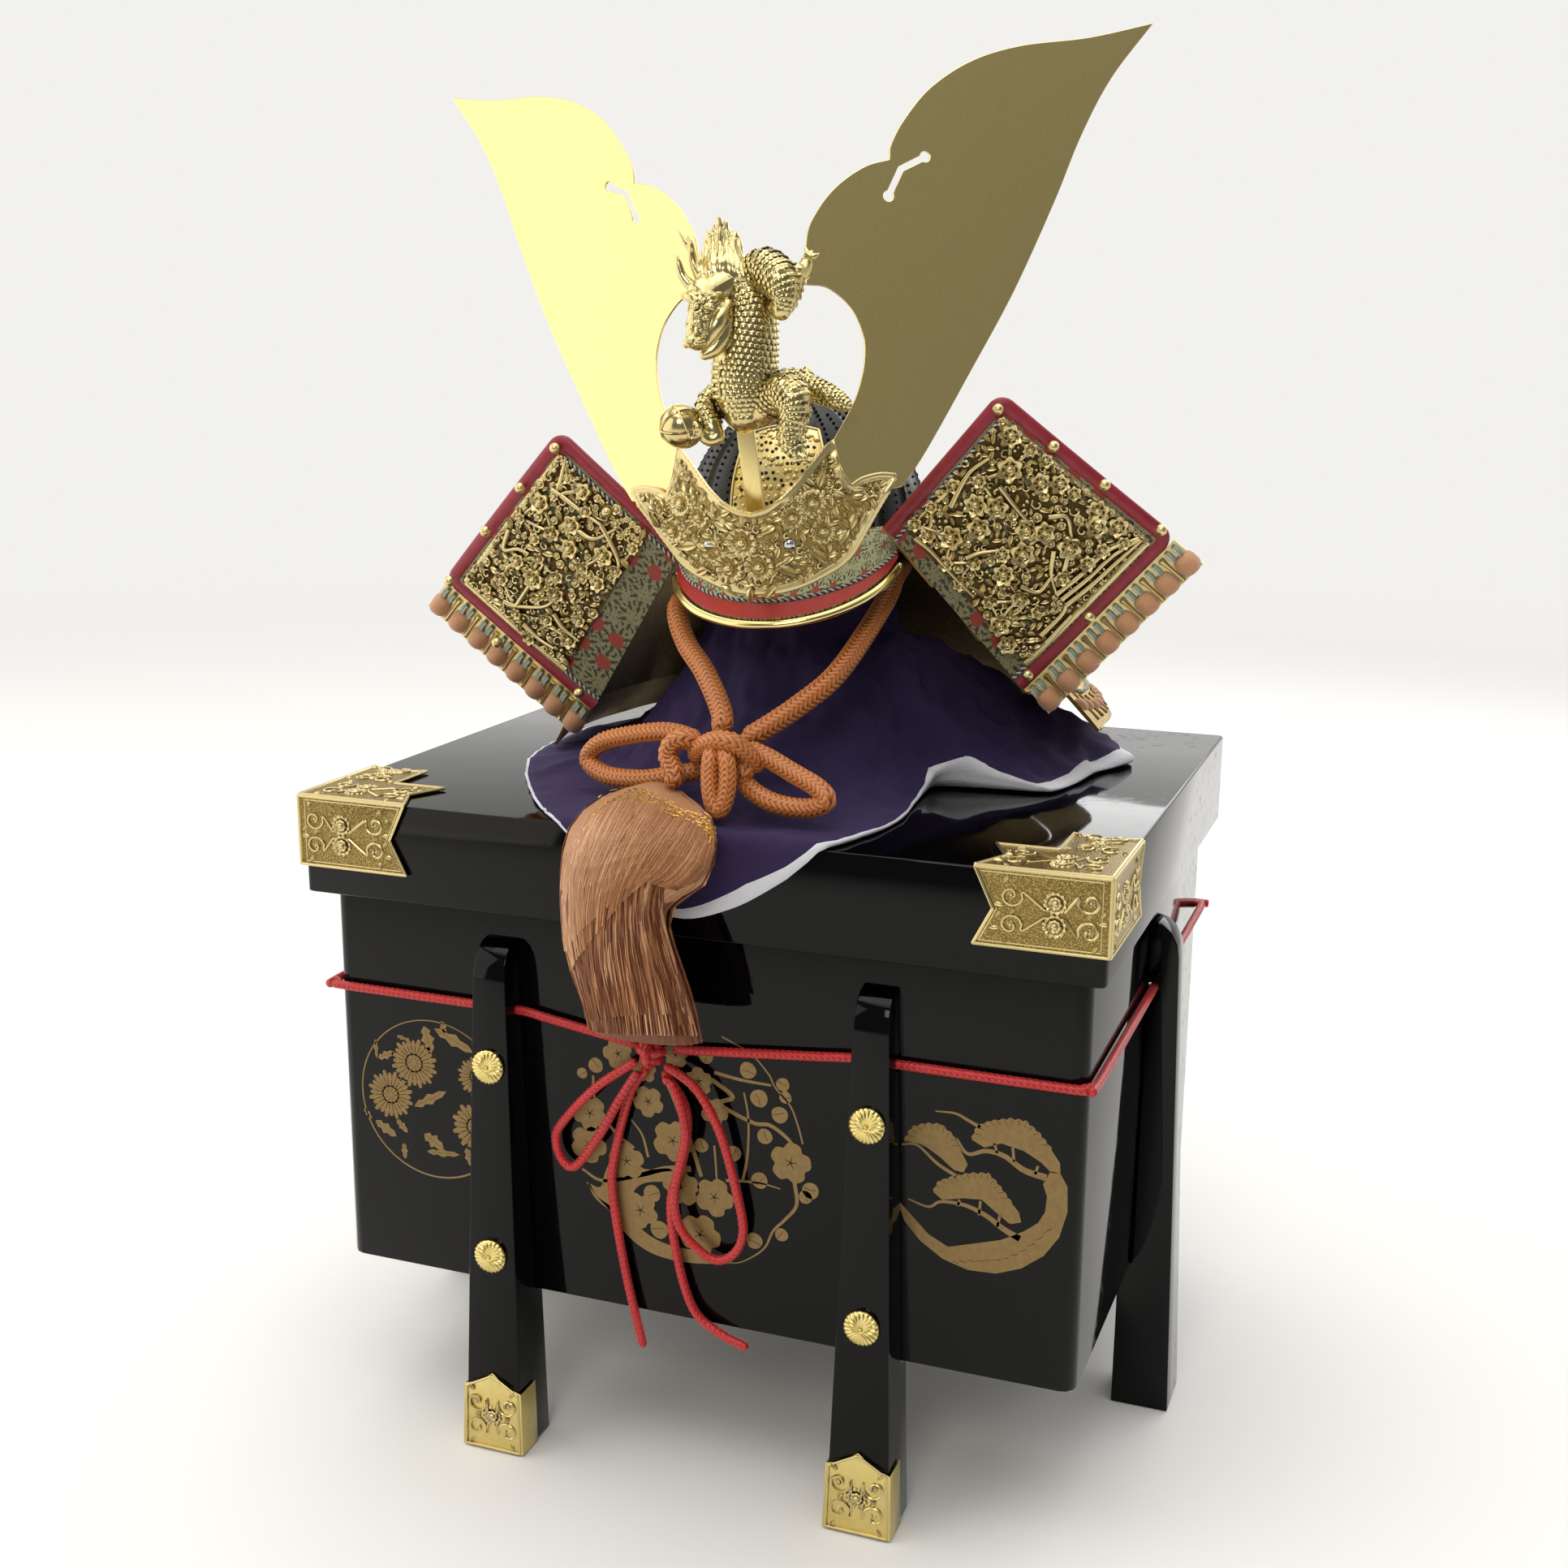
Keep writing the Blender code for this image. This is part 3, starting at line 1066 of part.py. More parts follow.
# Chin cord in the helmet's frame: chosen points, up the left side, round the back inside, down the right.
CHIN_LEFT = [(-0.0188, -0.0978, 0.0337), (-0.0180, -0.0928, 0.0402), (-0.0281, -0.0763, 0.0542),
             (-0.0403, -0.0593, 0.0650), (-0.0475, -0.0430, 0.0766), (-0.0460, -0.0200, 0.0830)]
CHIN_RIGHT = [(0.0395, -0.0180, 0.0825), (0.0370, -0.0340, 0.0735), (0.0250, -0.0710, 0.0530),
              (0.0110, -0.0862, 0.0420), (-0.0038, -0.0975, 0.0335), (-0.0090, -0.0993, 0.0315)]
CHIN_KNOT = (-0.0166, -0.1034, 0.0268)
CHIN_BOW_LEFT = [(-0.0257, -0.1010, 0.0320), (-0.0400, -0.0940, 0.0345), (-0.0567, -0.0880, 0.0325),
                 (-0.0720, -0.0820, 0.0285), (-0.0791, -0.0796, 0.0214), (-0.0700, -0.0860, 0.0160),
                 (-0.0530, -0.0934, 0.0156), (-0.0400, -0.0965, 0.0175), (-0.0255, -0.0995, 0.0200)]
CHIN_BOW_RIGHT = [(-0.0058, -0.1070, 0.0300), (0.0040, -0.1110, 0.0265), (0.0140, -0.1150, 0.0215),
                  (0.0240, -0.1190, 0.0165), (0.0276, -0.1215, 0.0120), (0.0200, -0.1200, 0.0090),
                  (0.0080, -0.1190, 0.0105), (-0.0020, -0.1150, 0.0145), (-0.0075, -0.1100, 0.0190)]
CHIN_PENDANT = [(-0.0166, -0.1060, 0.0300), (-0.0160, -0.1130, 0.0230), (-0.0150, -0.1185, 0.0150),
                (-0.0142, -0.1215, 0.0090)]


def build_chin_cord(seat):
    ring = CLOTH_NECK + CHIN_D / 2 + 0.0048
    centre = (seat_matrix().inverted() @ Vector((stand_x(), 0, LID_TOP + 0.085))).x
    back = [(centre + ring * math.cos(math.radians(a)), ring * math.sin(math.radians(a)), 0.085)
            for a in (185, 160, 135, 110, 90, 70, 45, 20, -5)]
    route = smooth_route(CHIN_LEFT + back + CHIN_RIGHT, 0.014)
    add_tube("chin_cord", route, CHIN_D, "orange cord", seat)
    knot = add_part("chin_knot", ball_mesh("chin_knot", CHIN_KNOT, (KNOT_R * 1.15, KNOT_R * 0.9, KNOT_R)),
                    "orange cord", seat)
    fuse(knot, [(swept_mesh("pendant", smooth_route(CHIN_PENDANT, 0.008),
                            [(BOW_D / 2 * 1.1, BOW_D / 2)] * len(smooth_route(CHIN_PENDANT, 0.008)), 8), None)])
    add_tube("chin_bow_left", smooth_route(CHIN_BOW_LEFT, 0.012), BOW_D, "orange cord", seat)
    add_tube("chin_bow_right", smooth_route(CHIN_BOW_RIGHT, 0.012), BOW_D, "orange cord", seat)


# Tassel from its cord down: sideways, forward and drop as shares of its length, half width and depth of its own.
TASSEL = [(0.0, 0.0, 0.0, 0.14, 0.14), (-0.070, 0.075, 0.020, 0.28, 0.20), (-0.126, 0.167, 0.045, 0.62, 0.31),
          (-0.112, 0.287, 0.098, 0.88, 0.36), (-0.099, 0.388, 0.190, 0.98, 0.38), (-0.089, 0.421, 0.300, 1.0, 0.42),
          (-0.083, 0.427, 0.434, 0.92, 0.38), (-0.097, 0.407, 0.559, 0.80, 0.34), (-0.106, 0.400, 0.739, 0.80, 0.33),
          (-0.064, 0.394, 0.979, 0.84, 0.33)]
TASSEL_START = (-0.0018, -0.1097, 0.0243)    # beside the knot, over the lid


def build_tassel():
    start = Vector(TASSEL_START) + Vector((0, 0, LID_TOP))
    path = [start + Vector((x * TASSEL_LEN, -y * TASSEL_LEN, -z * TASSEL_LEN)) for x, y, z, _, _ in TASSEL]
    halves = [(wide * TASSEL_HALF, deep * TASSEL_HALF) for *_, wide, deep in TASSEL]
    mesh = swept_mesh("tassel", path, halves, 16, 0.06)
    add_part("tassel", mesh, "copper silk")


def main():
    clear_scene()
    build_chest()
    build_legs()
    build_leg_trim()
    build_corner_fittings()
    build_belt()
    build_stand()
    build_cloth()
    seat = bpy.data.objects.new("helmet seat", None)
    bpy.data.collections[MAIN].objects.link(seat)
    seat.matrix_world = seat_matrix()
    build_bowl(seat)
    build_front_plate(seat)
    build_visor(seat)
    build_horns(seat)
    build_socket(seat)
    build_crest_post(seat)
    build_dragon(seat)
    build_turnbacks(seat)
    build_neck_guard(seat)
    build_chin_cord(seat)
    build_tassel()


main()
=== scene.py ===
import math
import random

import bmesh
import bpy
import numpy as np
from mathutils import Matrix, Vector, noise
from mathutils.bvhtree import BVHTree


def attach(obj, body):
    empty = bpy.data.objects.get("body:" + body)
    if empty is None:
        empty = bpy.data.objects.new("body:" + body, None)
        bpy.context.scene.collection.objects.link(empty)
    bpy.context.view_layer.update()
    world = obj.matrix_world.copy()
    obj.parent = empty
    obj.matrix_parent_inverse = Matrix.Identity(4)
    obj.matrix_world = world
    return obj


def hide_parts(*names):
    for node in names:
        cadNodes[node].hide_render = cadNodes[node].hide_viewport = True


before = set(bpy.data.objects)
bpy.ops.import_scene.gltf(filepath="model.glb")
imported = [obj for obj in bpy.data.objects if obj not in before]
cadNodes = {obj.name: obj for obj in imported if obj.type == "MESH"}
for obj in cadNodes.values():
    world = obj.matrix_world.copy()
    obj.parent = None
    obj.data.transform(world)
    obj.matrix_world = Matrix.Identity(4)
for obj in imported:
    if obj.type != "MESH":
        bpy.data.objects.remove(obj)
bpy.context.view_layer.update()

# Where the helmet's own frame stands, as the part's source seats it.
seat = {"x": 0.011, "lidTop": 0.2702, "turn": 8.0, "lean": 4.27}
seatMatrix = (Matrix.Translation((seat["x"], 0, seat["lidTop"]))
              @ Matrix.Rotation(math.radians(seat["turn"]), 4, "Z")
              @ Matrix.Rotation(math.radians(-seat["lean"]), 4, "Y"))
wallFront = -0.12505        # front wall of the chest


def toLinear(code):
    parts = [int(code[i:i + 2], 16) / 255 for i in (0, 2, 4)]
    return [p / 12.92 if p <= 0.04045 else ((p + 0.055) / 1.055) ** 2.4 for p in parts] + [1.0]


def addNode(tree, kind, inputs=None, stops=None, into=None, **settings):
    # One node with its settings. An input takes a number, a colour's hex value or another node;
    # into names the socket that its own output goes to.
    item = tree.nodes.new("ShaderNode" + kind)
    for key, value in settings.items():
        setattr(item, key, value)
    for key, value in (inputs or {}).items():
        if isinstance(value, bpy.types.Node):
            value = next(o for o in value.outputs if o.enabled)
        if isinstance(value, bpy.types.NodeSocket):
            tree.links.new(value, item.inputs[key])
        else:
            item.inputs[key].default_value = toLinear(value) if isinstance(value, str) else value
    for k, (at, tone) in enumerate(stops or []):
        mark = item.color_ramp.elements[k] if k < 2 else item.color_ramp.elements.new(at)
        mark.position = at
        mark.color = toLinear(tone) if isinstance(tone, str) else (tone, tone, tone, 1)
    if into:
        tree.links.new(next(o for o in item.outputs if o.enabled), into)
    return item


def startMaterial(name, colour, roughness, metallic=0.0, **sockets):
    material = bpy.data.materials.new(name)
    material.use_nodes = True
    material.diffuse_color = toLinear(colour)
    tree = material.node_tree
    shader = tree.nodes["Principled BSDF"]
    settings = {"Base Color": toLinear(colour), "Roughness": roughness, "Metallic": metallic}
    settings.update({key.replace("_", " "): value for key, value in sockets.items()})
    for key, value in settings.items():
        shader.inputs[key].default_value = value
    return material, tree, shader


def patternSpace(tree, size, stretch=(1, 1, 1), space="Object"):
    # Coordinates in which a pattern of the given size in metres has scale 1.
    source = addNode(tree, "TexCoord")
    return addNode(tree, "Mapping", {"Vector": source.outputs[space], "Scale": [s / size for s in stretch]})


def newObject(name, mesh, materials, smoothAngle=40):
    piece = bpy.data.objects.new(name, mesh)
    bpy.context.scene.collection.objects.link(piece)
    for material in materials if isinstance(materials, (list, tuple)) else [materials]:
        mesh.materials.append(material)
    if smoothAngle:
        mesh.shade_smooth()
        if smoothAngle < 180:
            mesh.set_sharp_from_angle(angle=math.radians(smoothAngle))
    return piece


def place(piece, slotName, *nodes):
    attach(piece, "root")
    if nodes:
        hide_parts(*nodes)
    return piece


def meshFrom(bm, name):
    mesh = bpy.data.meshes.new(name)
    bm.to_mesh(mesh)
    bm.free()
    return mesh


def outwardNormals(mesh):
    bm = bmesh.new()
    bm.from_mesh(mesh)
    bmesh.ops.recalc_face_normals(bm, faces=bm.faces)
    bm.to_mesh(mesh)
    bm.free()
    return mesh


def curveAt(a, b, c, d, t):
    # A point between b and c of the smooth curve that passes through all four.
    return 0.5 * ((2 * b) + (c - a) * t + (2 * a - 5 * b + 4 * c - d) * t ** 2
                  + (3 * b - a - 3 * c + d) * t ** 3)


def smoothRoute(points, step):
    # Points every step or so along a smooth curve through the given ones.
    pts = [np.array(p, float) for p in points]
    pts = [2 * pts[0] - pts[1]] + pts + [2 * pts[-1] - pts[-2]]
    route = []
    for a, b, c, d in zip(pts, pts[1:], pts[2:], pts[3:]):
        count = max(1, round(float(np.linalg.norm(c - b)) / step))
        route += [curveAt(a, b, c, d, k / count) for k in range(count)]
    route.append(pts[-2])
    return route


def evenRoute(points, step):
    # The same line with its points an equal step apart.
    pts = np.array([list(p) for p in points], float)
    gaps = np.linalg.norm(np.diff(pts, axis=0), axis=1)
    along = np.concatenate([[0], np.cumsum(gaps)])
    count = max(2, int(round(along[-1] / step)) + 1)
    marks = np.linspace(0, along[-1], count)
    return np.stack([np.interp(marks, along, pts[:, i]) for i in range(3)], axis=1), along[-1]


def routeFrames(pts, firstSide=(0, 0, 1)):
    # A side and an up for each point that turn as little as they can.
    tangents = np.gradient(pts, axis=0)
    tangents /= np.linalg.norm(tangents, axis=1)[:, None]
    side = np.cross(tangents[0], firstSide)
    if np.linalg.norm(side) < 1e-4:
        side = np.cross(tangents[0], (0, 1, 0))
    sides, ups = [], []
    for t in tangents:
        side = side - t * np.dot(side, t)
        side = side / np.linalg.norm(side)
        sides.append(side.copy())
        ups.append(np.cross(t, side))
    return np.array(sides), np.array(ups)


def pointValues(mesh, name, values):
    # Values that a material reads at each point of a mesh.
    mesh.attributes.new(name, "FLOAT", "POINT").data.foreach_set("value", values.ravel().astype(np.float32))


def gridFaces(rows, columns, wrapColumns=True):
    faces = []
    for j in range(rows - 1):
        for i in range(columns if wrapColumns else columns - 1):
            k = (i + 1) % columns
            faces.append((j * columns + i, j * columns + k, (j + 1) * columns + k, (j + 1) * columns + i))
    return faces


def gridRim(rows, columns):
    # Indexes round the edge of a grid of points.
    rim = list(range(columns)) + [j * columns + columns - 1 for j in range(1, rows)]
    rim += [(rows - 1) * columns + i for i in range(columns - 2, -1, -1)]
    return rim + [j * columns for j in range(rows - 2, 0, -1)]


def tubeFaces(rings, sides):
    # Faces of a closed tube, with a cap at each end.
    last = (rings - 1) * sides
    return gridFaces(rings, sides) + [tuple(range(sides))[::-1], tuple(last + i for i in range(sides))]


def tubeAround(pts, radius, sides):
    # Rings of points round a line, at a radius for each point of the line or of every ring.
    across, ups = routeFrames(pts)
    turns = 2 * np.pi * np.arange(sides) / sides
    verts = pts[:, None, :] + radius[..., None] * (np.cos(turns)[None, :, None] * across[:, None, :]
                                                   + np.sin(turns)[None, :, None] * ups[:, None, :])
    return verts.reshape(-1, 3), tubeFaces(len(pts), sides)


def braidMesh(name, points, braid):
    # A round braid: columns of slanted stitches that lean to and fro and meet in chevrons.
    diameter, columns, pitch = braid["diameter"], braid["columns"], braid["pitch"]
    perColumn = braid["perColumn"]
    sides = columns * perColumn
    pts, length = evenRoute(points, pitch / braid["perPitch"])
    marks = np.linspace(0, length, len(pts))
    share = (np.arange(sides) % perColumn) / perColumn
    column = np.arange(sides) // perColumn
    lean = np.where(column % 2 == 0, share, 1 - share) * 0.9
    phase = marks[:, None] / pitch + lean[None, :]
    bulge = np.abs(np.sin(np.pi * phase)) ** 0.6
    groove = (0.55 + 0.45 * np.sin(np.pi * (share + 0.5 / perColumn)) ** 0.5)[None, :]
    height = bulge * groove
    radius = diameter / 2 * (1 - braid["depth"] * (1 - height))
    fade = np.minimum(1, np.minimum(marks, length - marks) / (0.5 * diameter) + 0.25)
    verts, faces = tubeAround(pts, radius * np.sqrt(fade)[:, None], sides)
    mesh = bpy.data.meshes.new(name)
    mesh.from_pydata(verts.tolist(), [], faces)
    pointValues(mesh, "stitch", height)
    return outwardNormals(mesh), pts, length


class Heap:
    # Collects the vertices and faces of many small forms into one mesh.
    def __init__(self):
        self.verts, self.faces, self.slots, self.flat = [], [], [], []
        self.count = 0

    def add(self, verts, faces, matrix=None, slotIndex=0, uv=None):
        verts = np.asarray(verts, float)
        if matrix is not None:
            m = np.array(matrix)
            verts = verts @ m[:3, :3].T + m[:3, 3]
        self.verts.append(verts)
        self.flat.append(np.zeros((len(verts), 2)) if uv is None else np.asarray(uv, float))
        self.faces.extend(tuple(i + self.count for i in face) for face in faces)
        self.slots.extend(slotIndex if hasattr(slotIndex, "__len__") else [slotIndex] * len(faces))
        self.count += len(verts)

    def tube(self, points, widths, sides=10, slotIndex=0):
        # A round tube of one radius, or with a radius for each given point.
        pts = np.array([list(p) for p in points], float)
        radii = np.broadcast_to(np.asarray(widths, float), len(pts))
        self.add(*tubeAround(pts, radii[:, None], sides), slotIndex=slotIndex)

    def ball(self, radius, centre, sides, rings):
        self.add(*ballForm(radius, 1, sides, rings), Matrix.Translation(centre))

    def piece(self, name, materials, smoothAngle, slotName, *nodes):
        return place(newObject(name, self.mesh(name), materials, smoothAngle), slotName, *nodes)

    def mesh(self, name):
        mesh = bpy.data.meshes.new(name)
        mesh.from_pydata(np.concatenate(self.verts).tolist(), [], self.faces)
        mesh.polygons.foreach_set("material_index", self.slots)
        flat = np.concatenate(self.flat)
        if flat.any():
            corners = np.zeros(len(mesh.loops), int)
            mesh.loops.foreach_get("vertex_index", corners)
            mesh.uv_layers.new(name="UVMap").data.foreach_set("uv", flat[corners].ravel())
        return outwardNormals(mesh)


def gridNormals(grid, towards):
    # Normals of a grid of points, on the side of the given direction.
    normals = np.cross(np.gradient(grid, axis=0), np.gradient(grid, axis=1))
    normals /= np.maximum(np.linalg.norm(normals, axis=2), 1e-12)[..., None]
    if np.sum(normals @ np.array(towards, float)) < 0:
        normals = -normals
    return normals


def slab(grid, normals, thick, rise=0.0):
    # A closed sheet round a grid of points; rise lifts its front face, all over or point by point.
    lift = np.broadcast_to(np.asarray(rise, float), grid.shape[:2])[..., None]
    front, back = grid + normals * (thick / 2 + lift), grid - normals * thick / 2
    rows, columns = grid.shape[:2]
    faces = gridFaces(rows, columns, False)
    base = rows * columns
    faces += [tuple(base + i for i in face[::-1]) for face in faces]
    rim = gridRim(rows, columns)
    faces += [(a, b, base + b, base + a) for a, b in zip(rim, rim[1:] + rim[:1])]
    return np.concatenate([front.reshape(-1, 3), back.reshape(-1, 3)]), faces


def ribbon(points, ups, half, rise, sides=10):
    # A flat band along a line, rounded over, lying square to the given ups.
    pts, ups = np.array([list(p) for p in points], float), np.array([list(u) for u in ups], float)
    tangents = np.gradient(pts, axis=0)
    tangents /= np.linalg.norm(tangents, axis=1)[:, None]
    across = np.cross(tangents, ups)
    across /= np.linalg.norm(across, axis=1)[:, None]
    turns = 2 * np.pi * (np.arange(sides) + 0.5) / sides
    squarish = np.sign(np.cos(turns)) * np.abs(np.cos(turns)) ** 0.6
    verts = (pts[:, None, :] + half * squarish[None, :, None] * across[:, None, :]
             + rise * np.sin(turns)[None, :, None] * ups[:, None, :])
    return verts.reshape(-1, 3), tubeFaces(len(pts), sides)


def twist(heap, points, radius, pitch, slotIndexes=(0, 1)):
    # Strands laid round each other along a line, each a thin tube of four sides.
    pts, length = evenRoute(points, pitch / 5)
    across, ups = routeFrames(pts, (0.3, 0.2, 1))
    phase = 2 * np.pi * np.linspace(0, length / pitch, len(pts))
    for k, slotIndex in enumerate(slotIndexes):
        turn = (phase + 2 * np.pi * k / len(slotIndexes))[:, None]
        line = pts + radius * 0.52 * (np.cos(turn) * across + np.sin(turn) * ups)
        heap.tube(line, radius * 0.58, 4, slotIndex=slotIndex)


def pixelRay(x, y):
    # The line from the camera through a pixel of the photograph.
    eye, wide = bpy.context.scene.camera.matrix_world, camera["photoWide"]
    scale = camera["focal"] / camera["sensor"] * wide
    way = Vector(((x - wide / 2) / scale, (wide / 2 - y) / scale, -1))
    return eye.translation, (eye.to_3x3() @ way).normalized()


def cropPixel(plan, x, y):
    # The photograph's pixel for one of an enlarged crop: a plan holds the crop's corner and scale.
    (cx, cy), scale = plan["corner"], plan["scale"]
    return cx + x / scale, cy + y / scale


def behindPixel(plan, x, y, depth):
    # The point behind a pixel of a crop at a given Y.
    start, way = pixelRay(*cropPixel(plan, x, y))
    return start + way * ((depth - start.y) / way.y)


def castOn(tree, x, y):
    # Where that line meets a surface, and the surface's normal toward the camera.
    start, way = pixelRay(x, y)
    point, normal = tree.ray_cast(start, way)[:2]
    if point is None:
        return None, None
    return point, -normal if normal.dot(way) > 0 else normal


def axesAt(origin, normal, towards=(0, 0, 1)):
    # A frame whose Z is the normal and whose X lies across the given direction.
    z = Vector(normal).normalized()
    y = Vector(towards) - z * z.dot(Vector(towards))
    if y.length < 1e-6:
        y = Vector((0, 1, 0)) - z * z.y
    y.normalize()
    x = y.cross(z)
    return Matrix.LocRotScale(Vector(origin), Matrix((x, y, z)).transposed(), None)


def flowerForm(radius, height, petals=5, ruffle=0.14, small=0.0027):
    # Round petals with a raised edge, a ring of stamens and a button; a small one has fewer faces.
    sides = petals * (3 if radius < small else 5)
    turns = 2 * np.pi * np.arange(sides) / sides
    lobe = 1 - ruffle * np.abs(np.cos(petals * turns / 2)) ** 3
    rings = [(1.0, -0.35), (1.0, 0.16), (0.90, 0.66), (0.72, 0.56), (0.52, 0.08), (0.40, 0.08),
             (0.33, 0.74), (0.24, 0.60), (0.17, 0.92), (0.08, 1.0)]
    if radius < small:
        rings = [(1.0, -0.35), (1.0, 0.12), (0.84, 0.62), (0.48, 0.26), (0.30, 0.78), (0.12, 0.95)]
    verts = []
    for share, rise in rings:
        outward = lobe if share > 0.45 else np.ones(sides)
        dip = (0.32 * np.abs(np.cos(petals * turns / 2)) ** 2 if 0.45 < share < 0.95 else 0)
        r = radius * share * outward
        level = np.full(sides, height * rise) - height * dip
        verts.append(np.stack([r * np.cos(turns), r * np.sin(turns), level], 1))
    return np.concatenate(verts), tubeFaces(len(rings), sides)


def leafForm(length, width, height):
    # A pointed leaf with a sunken midrib, along +X from its stalk.
    verts, faces = [], []
    cuts = 4 if length < 0.005 else 7
    for k in range(cuts + 1):
        t = k / cuts
        half = width / 2 * math.sin(math.pi * min(1.0, 0.06 + 0.94 * t)) ** 0.8 * (1 + 0.12 * (k % 2))
        x = length * t
        rise = height * math.sin(math.pi * (0.15 + 0.8 * t))
        for side, up in ((-1, 0.25), (-0.5, 1), (0, 0.55), (0.5, 1), (1, 0.25)):
            verts.append((x, half * side, up * rise))
        verts.append((x, 0, -0.3 * height))
    for k in range(cuts):
        a, b = 6 * k, 6 * (k + 1)
        for i in range(4):
            faces.append((a + i, a + i + 1, b + i + 1, b + i))
        faces.append((a + 4, a + 5, b + 5, b + 4))
        faces.append((a + 5, a, b, b + 5))
    faces += [tuple(range(6)), tuple(range(6 * cuts, 6 * cuts + 6))[::-1]]
    return np.array(verts), faces


def ballForm(radius, squash=1.0, sides=10, rings=6, span=180):
    # A ball, or as much of one as the span from its top takes in.
    whole = span == 180
    count = rings - 1 if whole else rings
    verts = [(0, 0, radius * squash)]
    for j in range(1, count + 1):
        tall = math.radians(span) * j / rings
        for i in range(sides):
            turn = 2 * math.pi * i / sides
            verts.append((radius * math.sin(tall) * math.cos(turn), radius * math.sin(tall) * math.sin(turn),
                          radius * squash * math.cos(tall)))
    faces = [(0, 1 + i, 1 + (i + 1) % sides) for i in range(sides)]
    for j in range(count - 1):
        for i in range(sides):
            a, b = 1 + j * sides + i, 1 + j * sides + (i + 1) % sides
            faces.append((a, a + sides, b + sides, b))
    last, first = len(verts), 1 + (count - 1) * sides
    if whole:
        verts.append((0, 0, -radius * squash))
        faces += [(last, first + (i + 1) % sides, first + i) for i in range(sides)]
    else:
        faces.append(tuple(range(first, last))[::-1])
    return np.array(verts), faces


def domeForm(radius, squash=1.0, sides=7, rings=2):
    # The upper part of a ball, for what is half sunk in a surface.
    return ballForm(radius, squash, sides, rings, 112)


def refine(name, node, materials, bevel, segments=3, smoothAngle=40):
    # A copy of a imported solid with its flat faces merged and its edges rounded.
    bm = bmesh.new()
    bm.from_mesh(cadNodes[node].data)
    bmesh.ops.remove_doubles(bm, verts=bm.verts, dist=1e-6)
    bmesh.ops.dissolve_limit(bm, angle_limit=math.radians(1.0), verts=bm.verts, edges=bm.edges)
    sharp = [e for e in bm.edges if len(e.link_faces) == 2 and e.calc_face_angle(0) > math.radians(35)]
    bmesh.ops.bevel(bm, geom=sharp, offset=bevel, segments=segments, profile=0.5, affect="EDGES",
                    clamp_overlap=True)
    mesh = meshFrom(bm, name)
    mesh.materials.clear()
    return newObject(name, mesh, materials, smoothAngle)


def treeOf(*meshes):
    verts, faces = [], []
    for mesh in meshes:
        base = len(verts)
        verts.extend(v.co.copy() for v in mesh.vertices)
        faces.extend([i + base for i in p.vertices] for p in mesh.polygons)
    return BVHTree.FromPolygons(verts, faces)


# Camera where the photograph was taken from, solved from the chest's corners.
camera = {
    "place": (0.2824, -0.7656, 0.4506), "turn": 20.70, "lift": 13.09, "roll": 0.37, "focal": 43.67,
    "sensor": 36, "photoWide": 1932,
}

# Lights stand around the helmet: turn and lift of the way to them, how far, width, height, power and colour.
lights = {
    "window left": (-70, 16, 1.7, 2.8, 1.7, 21, "fffaf0"), "ceiling": (-20, 74, 1.7, 1.4, 1.4, 7, "ffffff"),
    "room front": (8, 30, 2.2, 0.7, 0.7, 9, "fffaf0"), "back wall": (165, 22, 1.9, 1.6, 0.8, 9, "ffffff"),
}
# The room is bright behind the helmet and dim in front of it; the backdrop itself is pale all round.
room = {
    "colour": "f2f1ee", "behind": 0.95, "front": 0.20, "backdrop": 1.0, "floor": "e8e7e4",
    "floorSize": 14.0, "aim": 0.32, "sun": 1.6, "sunSpread": 80,
}


def wayOut(turn, lift):
    # A direction from the object: turn 0 is the front, positive to the right.
    turn, lift = math.radians(turn), math.radians(lift)
    return Vector((math.sin(turn) * math.cos(lift), -math.cos(turn) * math.cos(lift), math.sin(lift)))


def setCamera():
    data = bpy.data.cameras.new("camera")
    data.sensor_width = camera["sensor"]
    data.lens = camera["focal"]
    data.clip_start = 0.01
    eye = bpy.data.objects.new("camera", data)
    bpy.context.scene.collection.objects.link(eye)
    back = wayOut(camera["turn"], camera["lift"])
    side = Vector((math.cos(math.radians(camera["turn"])), math.sin(math.radians(camera["turn"])), 0))
    facing = Matrix((side, back.cross(side), back)).transposed().to_4x4()
    eye.matrix_world = (Matrix.Translation(camera["place"]) @ facing
                        @ Matrix.Rotation(math.radians(camera["roll"]), 4, "Z"))
    bpy.context.scene.camera = eye
    bpy.context.scene.view_settings.view_transform = "Standard"      # keeps gilt and silk as deep as they are


